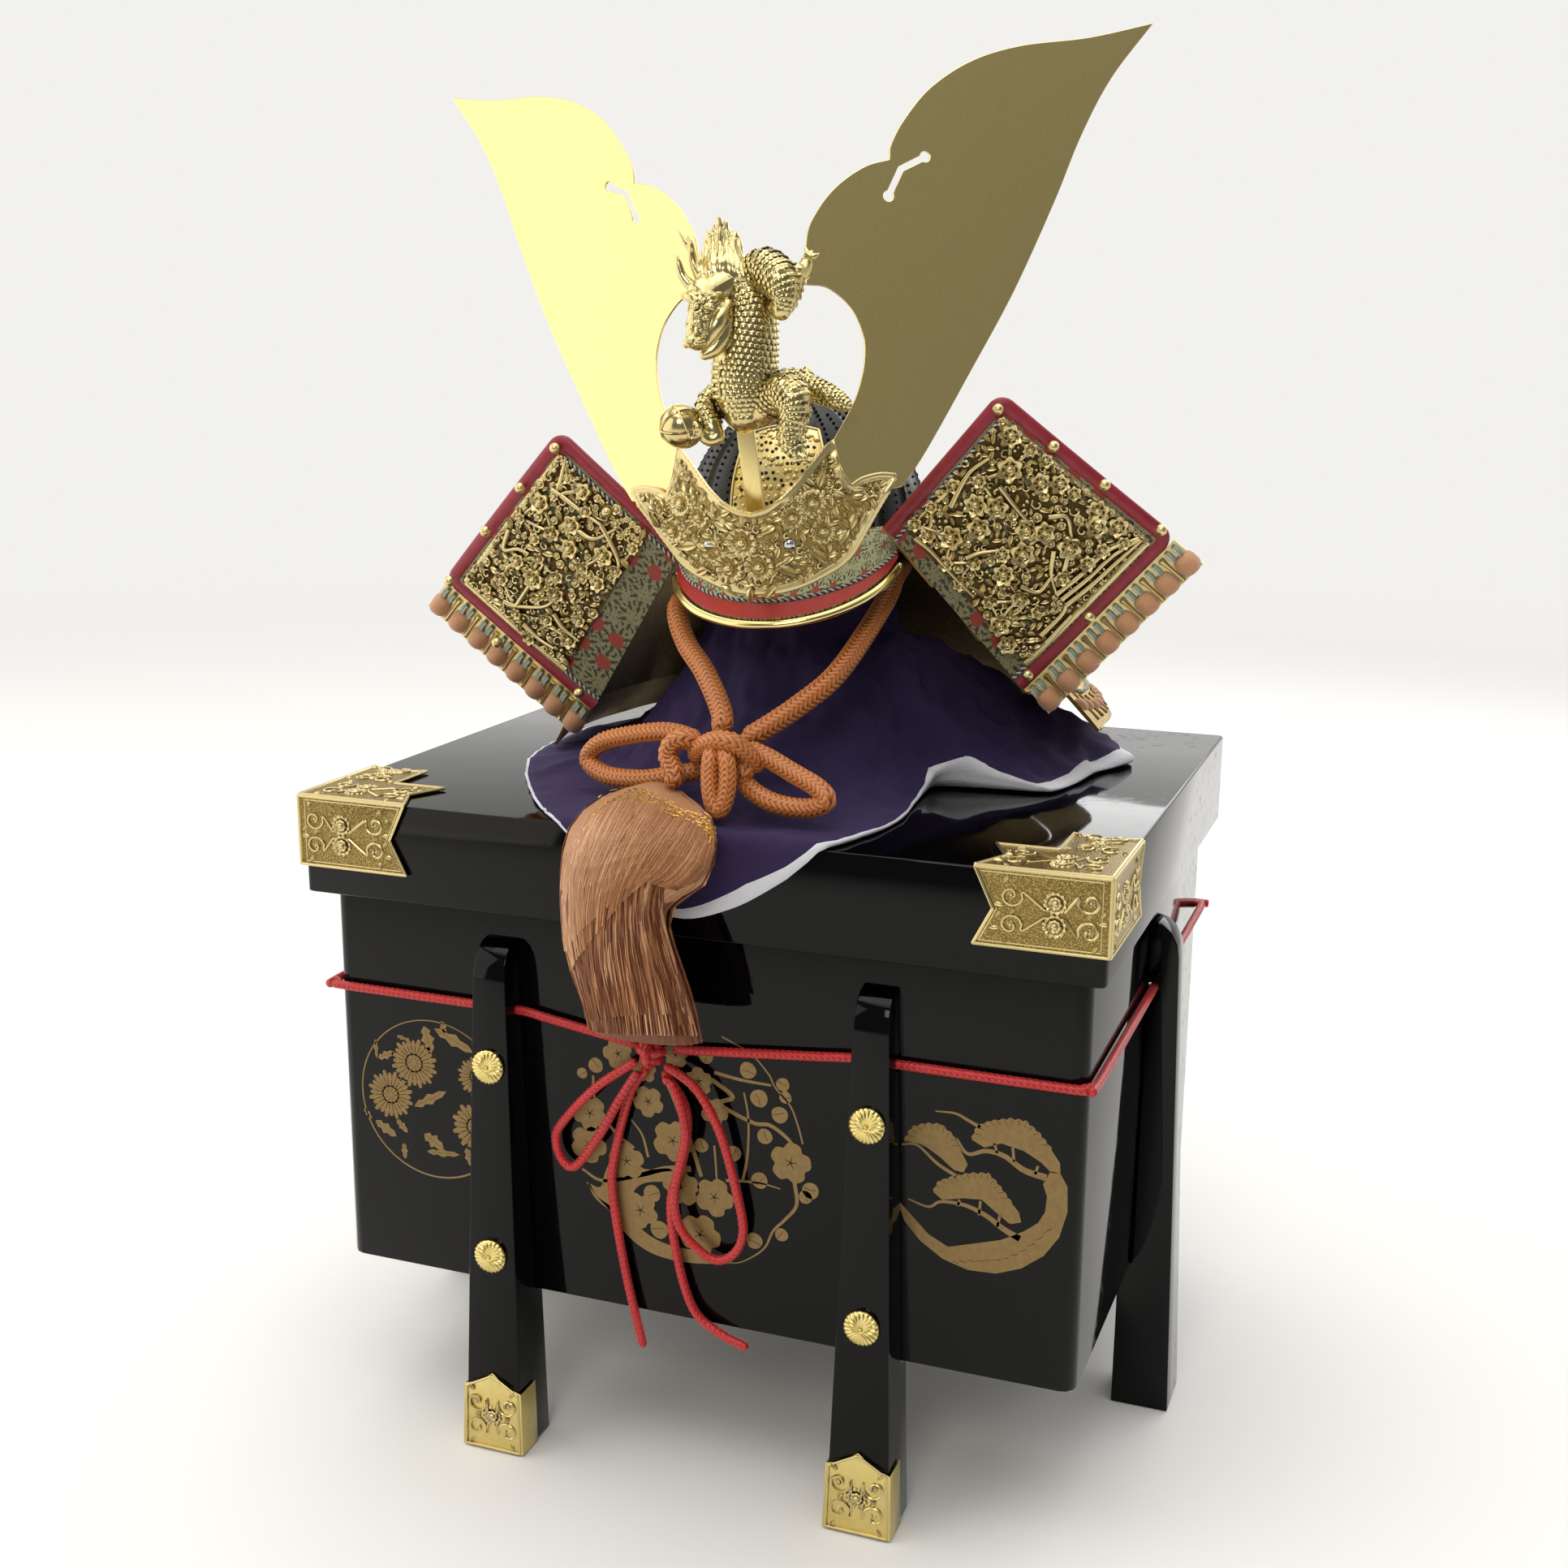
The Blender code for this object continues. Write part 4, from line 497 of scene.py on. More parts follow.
def setLights():
    for name, (turn, lift, away, wide, tall, power, tone) in lights.items():
        data = bpy.data.lights.new(name, "AREA")
        data.shape = "RECTANGLE"
        data.size, data.size_y, data.energy = wide, tall, power
        data.color = toLinear(tone)[:3]
        item = bpy.data.objects.new(name, data)
        bpy.context.scene.collection.objects.link(item)
        out = wayOut(turn, lift)
        item.location = Vector((0, 0, room["aim"])) + out * away
        item.rotation_euler = out.to_track_quat("Z", "Y").to_euler()
    # A broad sun keeps the far floor as pale as the near.
    data = bpy.data.lights.new("sky", "SUN")
    data.energy, data.angle = room["sun"], math.radians(room["sunSpread"])
    bpy.context.scene.collection.objects.link(bpy.data.objects.new("sky", data))
    world = bpy.data.worlds.new("studio")
    bpy.context.scene.world = world
    world.use_nodes = True
    tree = world.node_tree
    air = tree.nodes["Background"]
    air.inputs["Color"].default_value = toLinear(room["colour"])
    way = addNode(tree, "SeparateXYZ", {"Vector": addNode(tree, "TexCoord")})
    depth = addNode(tree, "MapRange", {"Value": way.outputs["Y"], "From Min": -0.25, "From Max": 0.6,
                                       "To Min": room["front"], "To Max": room["behind"]},
                    interpolation_type="SMOOTHSTEP")
    seen = addNode(tree, "LightPath")
    addNode(tree, "Mix", {0: seen, 2: depth, 3: room["backdrop"]}, into=air.inputs["Strength"])
    print("lights set", len(lights))


def layFloor():
    bm = bmesh.new()
    bmesh.ops.create_grid(bm, x_segments=1, y_segments=1, size=room["floorSize"])
    paper, tree, shader = startMaterial("matt studio paper", room["floor"], 0.9)
    # Far off the paper fades into the backdrop, so that no edge shows.
    spot = addNode(tree, "TexCoord")
    far = addNode(tree, "VectorMath", {0: spot.outputs["Object"]}, operation="LENGTH")
    share = addNode(tree, "MapRange", {"Value": far.outputs["Value"], "From Min": 0.8, "From Max": 3.0},
                    interpolation_type="SMOOTHSTEP")
    clear = addNode(tree, "BsdfTransparent")
    surface = tree.nodes["Material Output"].inputs["Surface"]
    addNode(tree, "MixShader", {0: share, 1: shader, 2: clear}, into=surface)
    newObject("floor", meshFrom(bm, "floor"), paper, 0)


def polishedUrushi():
    # Polished lacquer: deep black, mirror-like, with the faint waviness of many rubbed coats.
    material, tree, shader = startMaterial("polished urushi lacquer", "030304", 0.07, IOR=1.29)
    dust = addNode(tree, "TexNoise", {"Vector": patternSpace(tree, 0.004), "Scale": 1, "Detail": 4})
    addNode(tree, "ValToRGB", {"Fac": dust}, stops=[(0.55, 0.05), (0.80, 0.15)],
            into=shader.inputs["Roughness"])
    wave = addNode(tree, "TexNoise", {"Vector": patternSpace(tree, 0.035), "Scale": 1, "Detail": 1})
    addNode(tree, "Bump", {"Height": wave, "Distance": 0.0006, "Strength": 0.25},
            into=shader.inputs["Normal"])
    return material


def brushedGilt():
    # Sheet brass, gilt and satin brushed along its height: an even sheen with fine streaks.
    material, tree, shader = startMaterial("satin gilt brass sheet", "f2dd98", 0.27, 1.0)
    streaks = addNode(tree, "TexNoise", {"Vector": patternSpace(tree, 0.0012, (1, 1, 0.03)), "Scale": 1,
                                         "Detail": 3})
    addNode(tree, "MapRange", {"Value": streaks, "To Min": 0.26, "To Max": 0.30},
            into=shader.inputs["Roughness"])
    addNode(tree, "Bump", {"Height": streaks, "Distance": 0.000003, "Strength": 0.3},
            into=shader.inputs["Normal"])
    return material


def castGilt(name, bright, dark, rough):
    # Cast ornament, gilt bright, with painted shade in its hollows: darker and duller as far as they are
    # enclosed.
    material, tree, shader = startMaterial(name, bright, rough, 1.0)
    hollow = addNode(tree, "AmbientOcclusion", {"Distance": 0.0022}, samples=6, only_local=True)
    depth = addNode(tree, "ValToRGB", {"Fac": hollow.outputs["AO"]}, stops=[(0.25, 0.0), (0.85, 1.0)])
    # The dark colour is the painted shade of the hollows.
    addNode(tree, "Mix", {0: depth, 6: dark, 7: bright}, data_type="RGBA", into=shader.inputs["Base Color"])
    addNode(tree, "MapRange", {"Value": depth, "To Min": 0.5, "To Max": rough},
            into=shader.inputs["Roughness"])
    skin = addNode(tree, "TexNoise", {"Vector": patternSpace(tree, 0.0009), "Scale": 1, "Detail": 3})
    addNode(tree, "Bump", {"Height": skin, "Distance": 0.00008, "Strength": 0.5},
            into=shader.inputs["Normal"])
    return material


def stippledGilt():
    # Ground between cast forms: punched grains 0.7 mm apart.
    material, tree, shader = startMaterial("stippled gilt ground", "bfa968", 0.38, 1.0)
    grains = addNode(tree, "TexVoronoi", {"Vector": patternSpace(tree, 0.0007), "Scale": 1})
    dots = addNode(tree, "ValToRGB", {"Fac": grains.outputs["Distance"]}, stops=[(0.1, 1.0), (0.55, 0.0)])
    addNode(tree, "Mix", {0: dots, 6: "7f6a3a", 7: "cbb678"}, data_type="RGBA",
            into=shader.inputs["Base Color"])
    addNode(tree, "Bump", {"Height": dots, "Distance": 0.00012, "Strength": 0.8},
            into=shader.inputs["Normal"])
    return material


def polishedWire():
    # Drawn rod, polished and gilt: sharp highlights with light handling marks.
    material, tree, shader = startMaterial("polished gilt wire", "ecd794", 0.16, 1.0)
    marks = addNode(tree, "TexNoise", {"Vector": patternSpace(tree, 0.003), "Scale": 1, "Detail": 3})
    addNode(tree, "MapRange", {"Value": marks, "To Min": 0.10, "To Max": 0.24},
            into=shader.inputs["Roughness"])
    return material


def lacqueredIron():
    # Forged iron under black lacquer: half gloss with a fine grain.
    material, tree, shader = startMaterial("black lacquered iron", "060607", 0.30, IOR=1.38)
    grain = addNode(tree, "TexNoise", {"Vector": patternSpace(tree, 0.0007), "Scale": 1, "Detail": 3})
    addNode(tree, "Bump", {"Height": grain, "Distance": 0.00008, "Strength": 0.5},
            into=shader.inputs["Normal"])
    film = addNode(tree, "TexNoise", {"Vector": patternSpace(tree, 0.006), "Scale": 1, "Detail": 3})
    addNode(tree, "MapRange", {"Value": film, "To Min": 0.22, "To Max": 0.42},
            into=shader.inputs["Roughness"])
    return material


def stencilLeather(name, pale, deep, bloom, unit, petal):
    # Deer leather, smoked and stencil printed: rosettes of spots, red blossoms and a fine speckle.
    material, tree, shader = startMaterial(name, pale, 0.62)
    flat = patternSpace(tree, unit, space="UV")
    cells = addNode(tree, "TexVoronoi", {"Vector": flat, "Scale": 1, "Randomness": 0.35},
                    voronoi_dimensions="2D")
    inCell = addNode(tree, "VectorMath", {0: flat, 1: cells.outputs["Position"]}, operation="SUBTRACT")
    parts = addNode(tree, "SeparateXYZ", {"Vector": inCell})
    angle = addNode(tree, "Math", {0: parts.outputs["Y"], 1: parts.outputs["X"]}, operation="ARCTAN2")
    reach = cells.outputs["Distance"]
    speck = addNode(tree, "TexNoise", {"Vector": patternSpace(tree, 0.0011, space="UV"), "Scale": 1,
                                       "Detail": 3})
    shade = addNode(tree, "ValToRGB", {"Fac": speck}, stops=[(0.56, 0.0), (0.62, 0.75)])
    colour = addNode(tree, "Mix", {0: shade, 6: pale, 7: deep}, data_type="RGBA")
    # Five-lobed blossoms in some of the cells.
    fives = addNode(tree, "Math", {0: angle, 1: 5.0}, operation="MULTIPLY")
    lobes = addNode(tree, "Math", {0: fives}, operation="COSINE")
    rim = addNode(tree, "Math", {0: lobes, 1: 0.022, 2: petal}, operation="MULTIPLY_ADD")
    inside = addNode(tree, "Math", {0: reach, 1: rim}, operation="LESS_THAN")
    pick = addNode(tree, "SeparateColor", {"Color": cells.outputs["Color"]})
    chosen = addNode(tree, "Math", {0: pick.outputs["Red"], 1: 0.45}, operation="GREATER_THAN")
    red = addNode(tree, "Math", {0: inside, 1: chosen}, operation="MULTIPLY")
    colour = addNode(tree, "Mix", {0: red, 6: colour, 7: bloom}, data_type="RGBA")
    # Two rings of dark spots round each cell's middle: eight, then sixteen.
    for count, at, thin, low in ((8.0, petal + 0.09, 8.0, 0.16), (16.0, petal + 0.23, 11.0, 0.2)):
        off = addNode(tree, "Math", {0: reach, 1: at}, operation="SUBTRACT")
        near = addNode(tree, "Math", {0: off}, operation="ABSOLUTE")
        ring = addNode(tree, "Math", {0: near, 1: -thin, 2: 1.0}, operation="MULTIPLY_ADD", use_clamp=True)
        around = addNode(tree, "Math", {0: angle, 1: count}, operation="MULTIPLY")
        beat = addNode(tree, "Math", {0: around}, operation="COSINE")
        spot = addNode(tree, "Math", {0: ring, 1: beat}, operation="MULTIPLY", use_clamp=True)
        spot = addNode(tree, "ValToRGB", {"Fac": spot}, stops=[(low, 0.0), (low + 0.15, 0.9)])
        colour = addNode(tree, "Mix", {0: spot, 6: colour, 7: deep}, data_type="RGBA")
    tree.links.new(colour.outputs[2], shader.inputs["Base Color"])
    grain = addNode(tree, "TexNoise", {"Vector": patternSpace(tree, 0.0009, space="UV"), "Scale": 1,
                                       "Detail": 4})
    addNode(tree, "Bump", {"Height": grain, "Distance": 0.0001, "Strength": 0.6},
            into=shader.inputs["Normal"])
    return material


def mottled(name, low, high, rough, size, metallic=0.0, bumpHeight=0.0, bumpSize=0.0007, stretch=(1, 1, 1),
            **sockets):
    # A finish that drifts between two tones, with a fine surface grain where it has a height.
    material, tree, shader = startMaterial(name, high, rough, metallic, **sockets)
    drift = addNode(tree, "TexNoise", {"Vector": patternSpace(tree, size, stretch), "Scale": 1, "Detail": 3})
    addNode(tree, "Mix", {0: drift, 6: low, 7: high}, data_type="RGBA", into=shader.inputs["Base Color"])
    if bumpHeight:
        grain = addNode(tree, "TexNoise", {"Vector": patternSpace(tree, bumpSize, stretch), "Scale": 1,
                                           "Detail": 3})
        addNode(tree, "Bump", {"Height": grain, "Distance": bumpHeight, "Strength": 0.6},
                into=shader.inputs["Normal"])
    return material


def braidedSilk(name, light, deep, strand=0.0004, relief=0.00006):
    # Silk cord: painted highlight on the crest of each stitch and painted shade between them, set by the
    # stitch's height, with silk's soft sheen.
    material, tree, shader = startMaterial(name, light, 0.33, Sheen_Weight=0.12, Sheen_Roughness=0.4)
    stitch = addNode(tree, "Attribute", attribute_name="stitch")
    # The light colour is a painted highlight on the crests, the deep one painted shade in the grooves.
    crest = addNode(tree, "ValToRGB", {"Fac": stitch.outputs["Fac"]}, stops=[(0.25, deep), (0.80, light)])
    worn = addNode(tree, "TexNoise", {"Vector": patternSpace(tree, 0.012), "Scale": 1, "Detail": 2})
    faded = addNode(tree, "MapRange", {"Value": worn, "To Min": 0.0, "To Max": 0.3})
    addNode(tree, "Mix", {0: faded, 6: crest, 7: deep}, data_type="RGBA", into=shader.inputs["Base Color"])
    threads = addNode(tree, "TexNoise", {"Vector": patternSpace(tree, strand), "Scale": 1, "Detail": 2})
    addNode(tree, "Bump", {"Height": threads, "Distance": relief, "Strength": 0.5},
            into=shader.inputs["Normal"])
    return material


def dyedCrepe():
    # Crepe dyed purple: its crinkled threads are drawn at 0.85 mm, twice the real ones, so that they show.
    material, tree, shader = startMaterial("dyed crepe cloth", "2f1b4a", 0.88, Sheen_Weight=0.13,
                                           Sheen_Roughness=0.5, Sheen_Tint=toLinear("8070b0"))
    weave = addNode(tree, "TexNoise", {"Vector": patternSpace(tree, 0.00085, (1, 1, 0.45), "UV"), "Scale": 1,
                                       "Detail": 3})
    fade = addNode(tree, "TexNoise", {"Vector": patternSpace(tree, 0.03), "Scale": 1, "Detail": 2})
    tone = addNode(tree, "Mix", {0: weave, 6: "160b29", 7: "321d55"}, data_type="RGBA")
    share = addNode(tree, "MapRange", {"Value": fade, "To Min": 0.0, "To Max": 0.5})
    tone = addNode(tree, "Mix", {0: share, 6: tone, 7: "22123c"}, data_type="RGBA")
    # The white lining shows where the hem turns over.
    hem = addNode(tree, "Attribute", attribute_name="hem")
    over = addNode(tree, "Math", {0: hem.outputs["Fac"], 1: 0.0}, operation="LESS_THAN")
    addNode(tree, "Mix", {0: over, 6: tone, 7: "d6d7dd"}, data_type="RGBA", into=shader.inputs["Base Color"])
    addNode(tree, "Bump", {"Height": weave, "Distance": 0.0003, "Strength": 0.8},
            into=shader.inputs["Normal"])
    return material


def turnedWood():
    # Bare turned softwood: growth rings about 2 mm apart.
    material, tree, shader = startMaterial("turned softwood", "a8834f", 0.6)
    rings = addNode(tree, "TexWave", {"Vector": patternSpace(tree, 0.02, (1, 1, 0.15)), "Scale": 1,
                                      "Distortion": 3}, wave_type="RINGS")
    addNode(tree, "Mix", {0: rings, 6: "8d6a3c", 7: "b8935c"}, data_type="RGBA",
            into=shader.inputs["Base Color"])
    return material


setCamera()
setLights()
layFloor()
hanging = (0.0006, 0, 0.0002, 0.0006, (1, 1, 0.04))     # threads 0.6 mm wide, drawn out along their length
finish = {
    "lacquer": polishedUrushi(),
    "sheet": brushedGilt(),
    # The second colour of each casting is the painted shade of its hollows.
    "cast": castGilt("cast gilt ornament", "d8c690", "4a3a1c", 0.33),
    "bright": castGilt("bright gilt casting", "d2c28a", "4c3c1a", 0.20),
    # Ground left between the forms of a casting: dull and nearly brown, painted dark as the shade between
    # them.
    "shadeGround": mottled("ground painted dark as shade", "33260f", "6d5830", 0.5, 0.0016, 0.9, 0.00012, 0.0008),
    "ground": stippledGilt(),
    # Pressed brass sheet, gilt: bright, with the softness of a thin stamping.
    "brass": mottled("pressed gilt brass", "d3bc70", "e6d48e", 0.24, 0.003, 1.0, 0.00004, 0.0006),
    "wire": polishedWire(),
    "iron": lacqueredIron(),
    "leather": stencilLeather("stencil printed leather", "b9bb93", "262b22", "a8473a", 0.0125, 0.20),
    "panelLeather": stencilLeather("stencil printed panel leather", "827d5a", "24251c", "8f3528", 0.012,
                                   0.27),
    # Vegetable-dyed leather: a low even sheen with fine pores.
    "crimson": mottled("dyed leather binding", "7a1626", "9a2434", 0.42, 0.004, 0, 0.00006, 0.0006),
    "redBorder": mottled("painted red border", "971b1b", "b52a26", 0.38, 0.004),
    # A cord's first colour is its painted highlight on the stitch crests, the second its painted shade
    # between stitches.
    "orangeBraid": braidedSilk("braided silk cord", "de8742", "4a1c0a"),
    "redBraid": braidedSilk("twisted rayon cord", "dc2c2c", "5a0709", 0.0011, 0.0007),
    # Flat silk lacing: fine threads side by side, matt with a little sheen.
    "puffSilk": mottled("orange silk lacing", "98643f", "dba67c", 0.7, 0.00045, 0, 0.0001, Sheen_Weight=0.3),
    "greenSilk": mottled("pale green silk", "4f6352", "a9bfa4", 0.7, 0.00045, 0, 0.0001, Sheen_Weight=0.3),
    "whiteSilk": mottled("white silk twist", "9a948c", "e8e4da", 0.7, 0.00045, 0, 0.0001, Sheen_Weight=0.3),
    "navySilk": mottled("navy silk twist", "101024", "28284c", 0.7, 0.00045, 0, 0.0001, Sheen_Weight=0.3),
    "cloth": dyedCrepe(),
    "lining": mottled("white lining cloth", "cfd0d6", "e2e2e6", 0.85, 0.01, 0, 0.0002),
    # Silk fringe: threads hang side by side, each with a thin painted highlight streaked along it. The copies
    # in shade and in light are the same fringe with painted shade and painted light.
    "fringe": mottled("silk fringe threads", "82502f", "cd9a70", 0.46, *hanging),
    "fringeShaded": mottled("silk fringe in shade", "4c2412", "8e5433", 0.46, *hanging),
    "fringeLight": mottled("silk fringe in light", "a8703f", "e6b68c", 0.42, *hanging),
    "fleck": mottled("gold thread wrapping", "9a6a2a", "d9a850", 0.30, 0.002, 0.9),
    # Lacquered scales, gilt: warm dull gold, a little worn.
    "scale": mottled("lacquered gilt scales", "8f7640", "c2a767", 0.34, 0.003, 0.85, 0.00008, 0.0008),
    # Gold powder strewn on wet lacquer: flat, dull and grainy.
    "powder": mottled("gold powder on lacquer", "766038", "94794c", 0.42, 0.002, 0.55),
    "steel": mottled("nickel plated steel", "b9babd", "d2d3d6", 0.18, 0.004, 1.0),
    "wood": turnedWood(),
}
print("materials made", len(finish))


# Cords: their points repeat the routes of the part's source, in metres.
beltCord = {
    "height": 0.189, "knotX": -0.0116, "knotDrop": 0.008, "knotR": 0.0065, "gap": 0.0003,
    "bodyWide": 0.3162, "bodyDeep": 0.2501, "bodyRound": 0.006, "legX": 0.0796, "legHalf": 0.0075543,
    "braid": {
        "diameter": 0.0039, "columns": 8, "perColumn": 2, "pitch": 0.0024, "perPitch": 3, "depth": 0.32,
    },
}

# Bow of the belt cord, as (x, step out from the wall, height) from the knot; a step is one cord's thickness.
beltBow = {
    "belt_bow_left": [
        (-0.0060, 1.05, -0.0040), (-0.0240, 1.3, -0.0180), (-0.0400, 0.8, -0.0360), (-0.0437, 0.4, -0.0440),
        (-0.0418, 0.3, -0.0520), (-0.0354, 0.5, -0.0545), (-0.0235, 1.0, -0.0390), (-0.0133, 1.3, -0.0212),
        (-0.0055, 1.1, -0.0085)],
    "belt_bow_right": [
        (0.0060, 1.1, -0.0040), (0.0150, 1.3, -0.0080), (0.0211, 1.2, -0.0136), (0.0290, 0.8, -0.0300),
        (0.0351, 0.4, -0.0546), (0.0375, 0.3, -0.0706), (0.0330, 0.3, -0.0810), (0.0240, 0.4, -0.0839),
        (0.0122, 0.8, -0.0731), (0.0099, 1.2, -0.0569), (0.0150, 1.3, -0.0318), (0.0110, 1.25, -0.0140),
        (0.0055, 1.1, -0.0090)],
    "belt_tail_left": [
        (-0.0035, 0.15, -0.0080), (-0.0110, 0.1, -0.0200), (-0.0183, 0.05, -0.0471),
        (-0.0196, 0.0, -0.0641), (-0.0144, 0.0, -0.0971), (-0.0067, 0.0, -0.1298)],
    "belt_tail_right": [
        (0.0035, 0.15, -0.0080), (0.0130, 0.1, -0.0230), (0.0120, 0.05, -0.0420), (0.0060, 0.0, -0.0640),
        (0.0093, 0.0, -0.0901), (0.0162, 0.0, -0.1093), (0.0274, 0.0, -0.1170), (0.0393, 0.0, -0.1209)],
}


def beltRoute():
    # Once round the chest, from the knot's right side through the legs' notches back to its left side.
    b = beltCord
    thick = b["braid"]["diameter"]
    out = thick / 2 + 0.0007
    hx, hy = b["bodyWide"] / 2 + out, b["bodyDeep"] / 2 + out
    bend = b["bodyRound"] + out
    legSide = b["legHalf"] + thick / 2
    knotZ = b["height"] - b["knotDrop"]
    start = b["knotX"] + b["knotR"] + b["gap"] + thick * 0.2
    end = b["knotX"] - b["knotR"] - b["gap"] - thick * 0.2
    points = []
    for k in range(5):
        t = k / 5
        points.append((start + (b["legX"] - legSide - start) * t, -hy,
                       knotZ + (b["height"] - knotZ) * (0.1 + 0.9 * t)))
    points += [(b["legX"] - legSide, -hy, b["height"]), (b["legX"] + legSide, -hy, b["height"])]
    middles = {(1, -1): (hx, 0), (1, 1): (0, hy), (-1, 1): (-hx, 0)}
    for cx, cy, first in ((1, -1, -90), (1, 1, 0), (-1, 1, 90), (-1, -1, 180)):
        for k in range(4):
            turn = math.radians(first + 30 * k)
            points.append((cx * (hx - bend) + bend * math.cos(turn), cy * (hy - bend) + bend * math.sin(turn),
                           b["height"]))
        if (cx, cy) in middles:
            points.append((*middles[cx, cy], b["height"]))
    points += [(-b["legX"] - legSide, -hy, b["height"]), (-b["legX"] + legSide, -hy, b["height"])]
    for k in range(4, -1, -1):
        t = k / 5
        points.append((end + (-b["legX"] + legSide - end) * t, -hy,
                       knotZ + (b["height"] - knotZ) * (0.1 + 0.9 * t)))
    return points


# Chin cord in the helmet's frame: up the left side, round the back inside, down the right, and its bow.
chinCord = {
    "braid": {
        "diameter": 0.009, "columns": 10, "perColumn": 3, "pitch": 0.0024, "perPitch": 4, "depth": 0.34,
    },
    "bowBraid": {
        "diameter": 0.008, "columns": 10, "perColumn": 3, "pitch": 0.0023, "perPitch": 4, "depth": 0.34,
    },
    "left": [
        (-0.0188, -0.0978, 0.0337), (-0.0180, -0.0928, 0.0402), (-0.0281, -0.0763, 0.0542),
        (-0.0403, -0.0593, 0.0650), (-0.0475, -0.0430, 0.0766), (-0.0460, -0.0200, 0.0830)],
    "right": [
        (0.0395, -0.0180, 0.0825), (0.0370, -0.0340, 0.0735), (0.0250, -0.0710, 0.0530),
        (0.0110, -0.0862, 0.0420), (-0.0038, -0.0975, 0.0335), (-0.0090, -0.0993, 0.0315)],
    "ring": 0.0433, "ringTurns": (185, 160, 135, 110, 90, 70, 45, 20, -5), "ringHeight": 0.085,
    "bowLeft": [
        (-0.0257, -0.1010, 0.0320), (-0.0400, -0.0940, 0.0345), (-0.0567, -0.0880, 0.0325),
        (-0.0720, -0.0820, 0.0285), (-0.0791, -0.0796, 0.0214), (-0.0700, -0.0860, 0.0160),
        (-0.0530, -0.0934, 0.0156), (-0.0400, -0.0965, 0.0175), (-0.0255, -0.0995, 0.0200)],
    "bowRight": [
        (-0.0058, -0.1070, 0.0300), (0.0040, -0.1110, 0.0265), (0.0140, -0.1150, 0.0215),
        (0.0240, -0.1190, 0.0165), (0.0276, -0.1215, 0.0120), (0.0200, -0.1200, 0.0090),
        (0.0080, -0.1190, 0.0105), (-0.0020, -0.1150, 0.0145), (-0.0075, -0.1100, 0.0190)],
}

# The bowl: its round shell and what the visor, the cloth and the stand take from it.
bowl = {
    "radius": 0.0495, "centre": 0.1081, "skirt": 0.0118, "wall": 0.0012, "ridgeOut": 0.0011, "ribs": 16,
    "ribOut": 0.0013, "ribHalf": 0.0012, "perRib": 10, "capEdge": 80, "rivet": 0.00072,
    "rivetPitch": 0.0030, "rivetTop": 74, "plateHalf": 0.021, "plateThick": 0.0008, "plateFrom": 5,
    "plateTo": 50, "plateCurve": 0.10, "plateRows": 12, "plateColumns": 15, "hole": 0.00085,
    "blossoms": (0.0019, 0.0027), "beads": (0.0008, 0.0015), "plateRim": 0.0006,
    "cap": [(0.0098, -0.0004), (0.0098, 0.0010), (0.0080, 0.0016), (0.0050, 0.0019), (0.0001, 0.0020)],
}


def standX():
    # The stand's axis: under the bowl's centre, as the source has it.
    return (seatMatrix @ Vector((0, 0, bowl["centre"]))).x - 0.002


def chinRoute():
    c = chinCord
    centre = (seatMatrix.inverted() @ Vector((standX(), 0, seat["lidTop"] + c["ringHeight"]))).x
    back = [(centre + c["ring"] * math.cos(math.radians(a)), c["ring"] * math.sin(math.radians(a)),
             c["ringHeight"]) for a in c["ringTurns"]]
    return [seatMatrix @ Vector(p) for p in smoothRoute(c["left"] + back + c["right"], 0.003)]


def addCord(name, points, braid, material, slotName, *nodes):
    mesh, pts, length = braidMesh(name, points, braid)
    piece = place(newObject(name, mesh, material, 180), slotName, *nodes)
    return piece, pts


def buildCords():
    b = beltCord
    thick = b["braid"]["diameter"]
    addCord("belt_cord_braid", smoothRoute(beltRoute(), 0.002), b["braid"], finish["redBraid"], "red_cord",
            "belt_cord")
    wall = -b["bodyDeep"] / 2 - thick / 2 - 0.0006
    for name, table in beltBow.items():
        points = [(b["knotX"] + x, wall - step * (thick + 0.0006), b["height"] - b["knotDrop"] + h)
                  for x, step, h in table]
        addCord(name + "_braid", smoothRoute(points, 0.002), b["braid"], finish["redBraid"], "red_cord", name)
    c = chinCord
    addCord("chin_cord_braid", chinRoute(), c["braid"], finish["orangeBraid"], "orange_cord", "chin_cord")
    for name, key in (("chin_bow_left", "bowLeft"), ("chin_bow_right", "bowRight")):
        points = [seatMatrix @ Vector(p) for p in smoothRoute(c[key], 0.003)]
        addCord(name + "_braid", points, c["bowBraid"], finish["orangeBraid"], "orange_cord", name)
    print("cords laid")


buildCords()


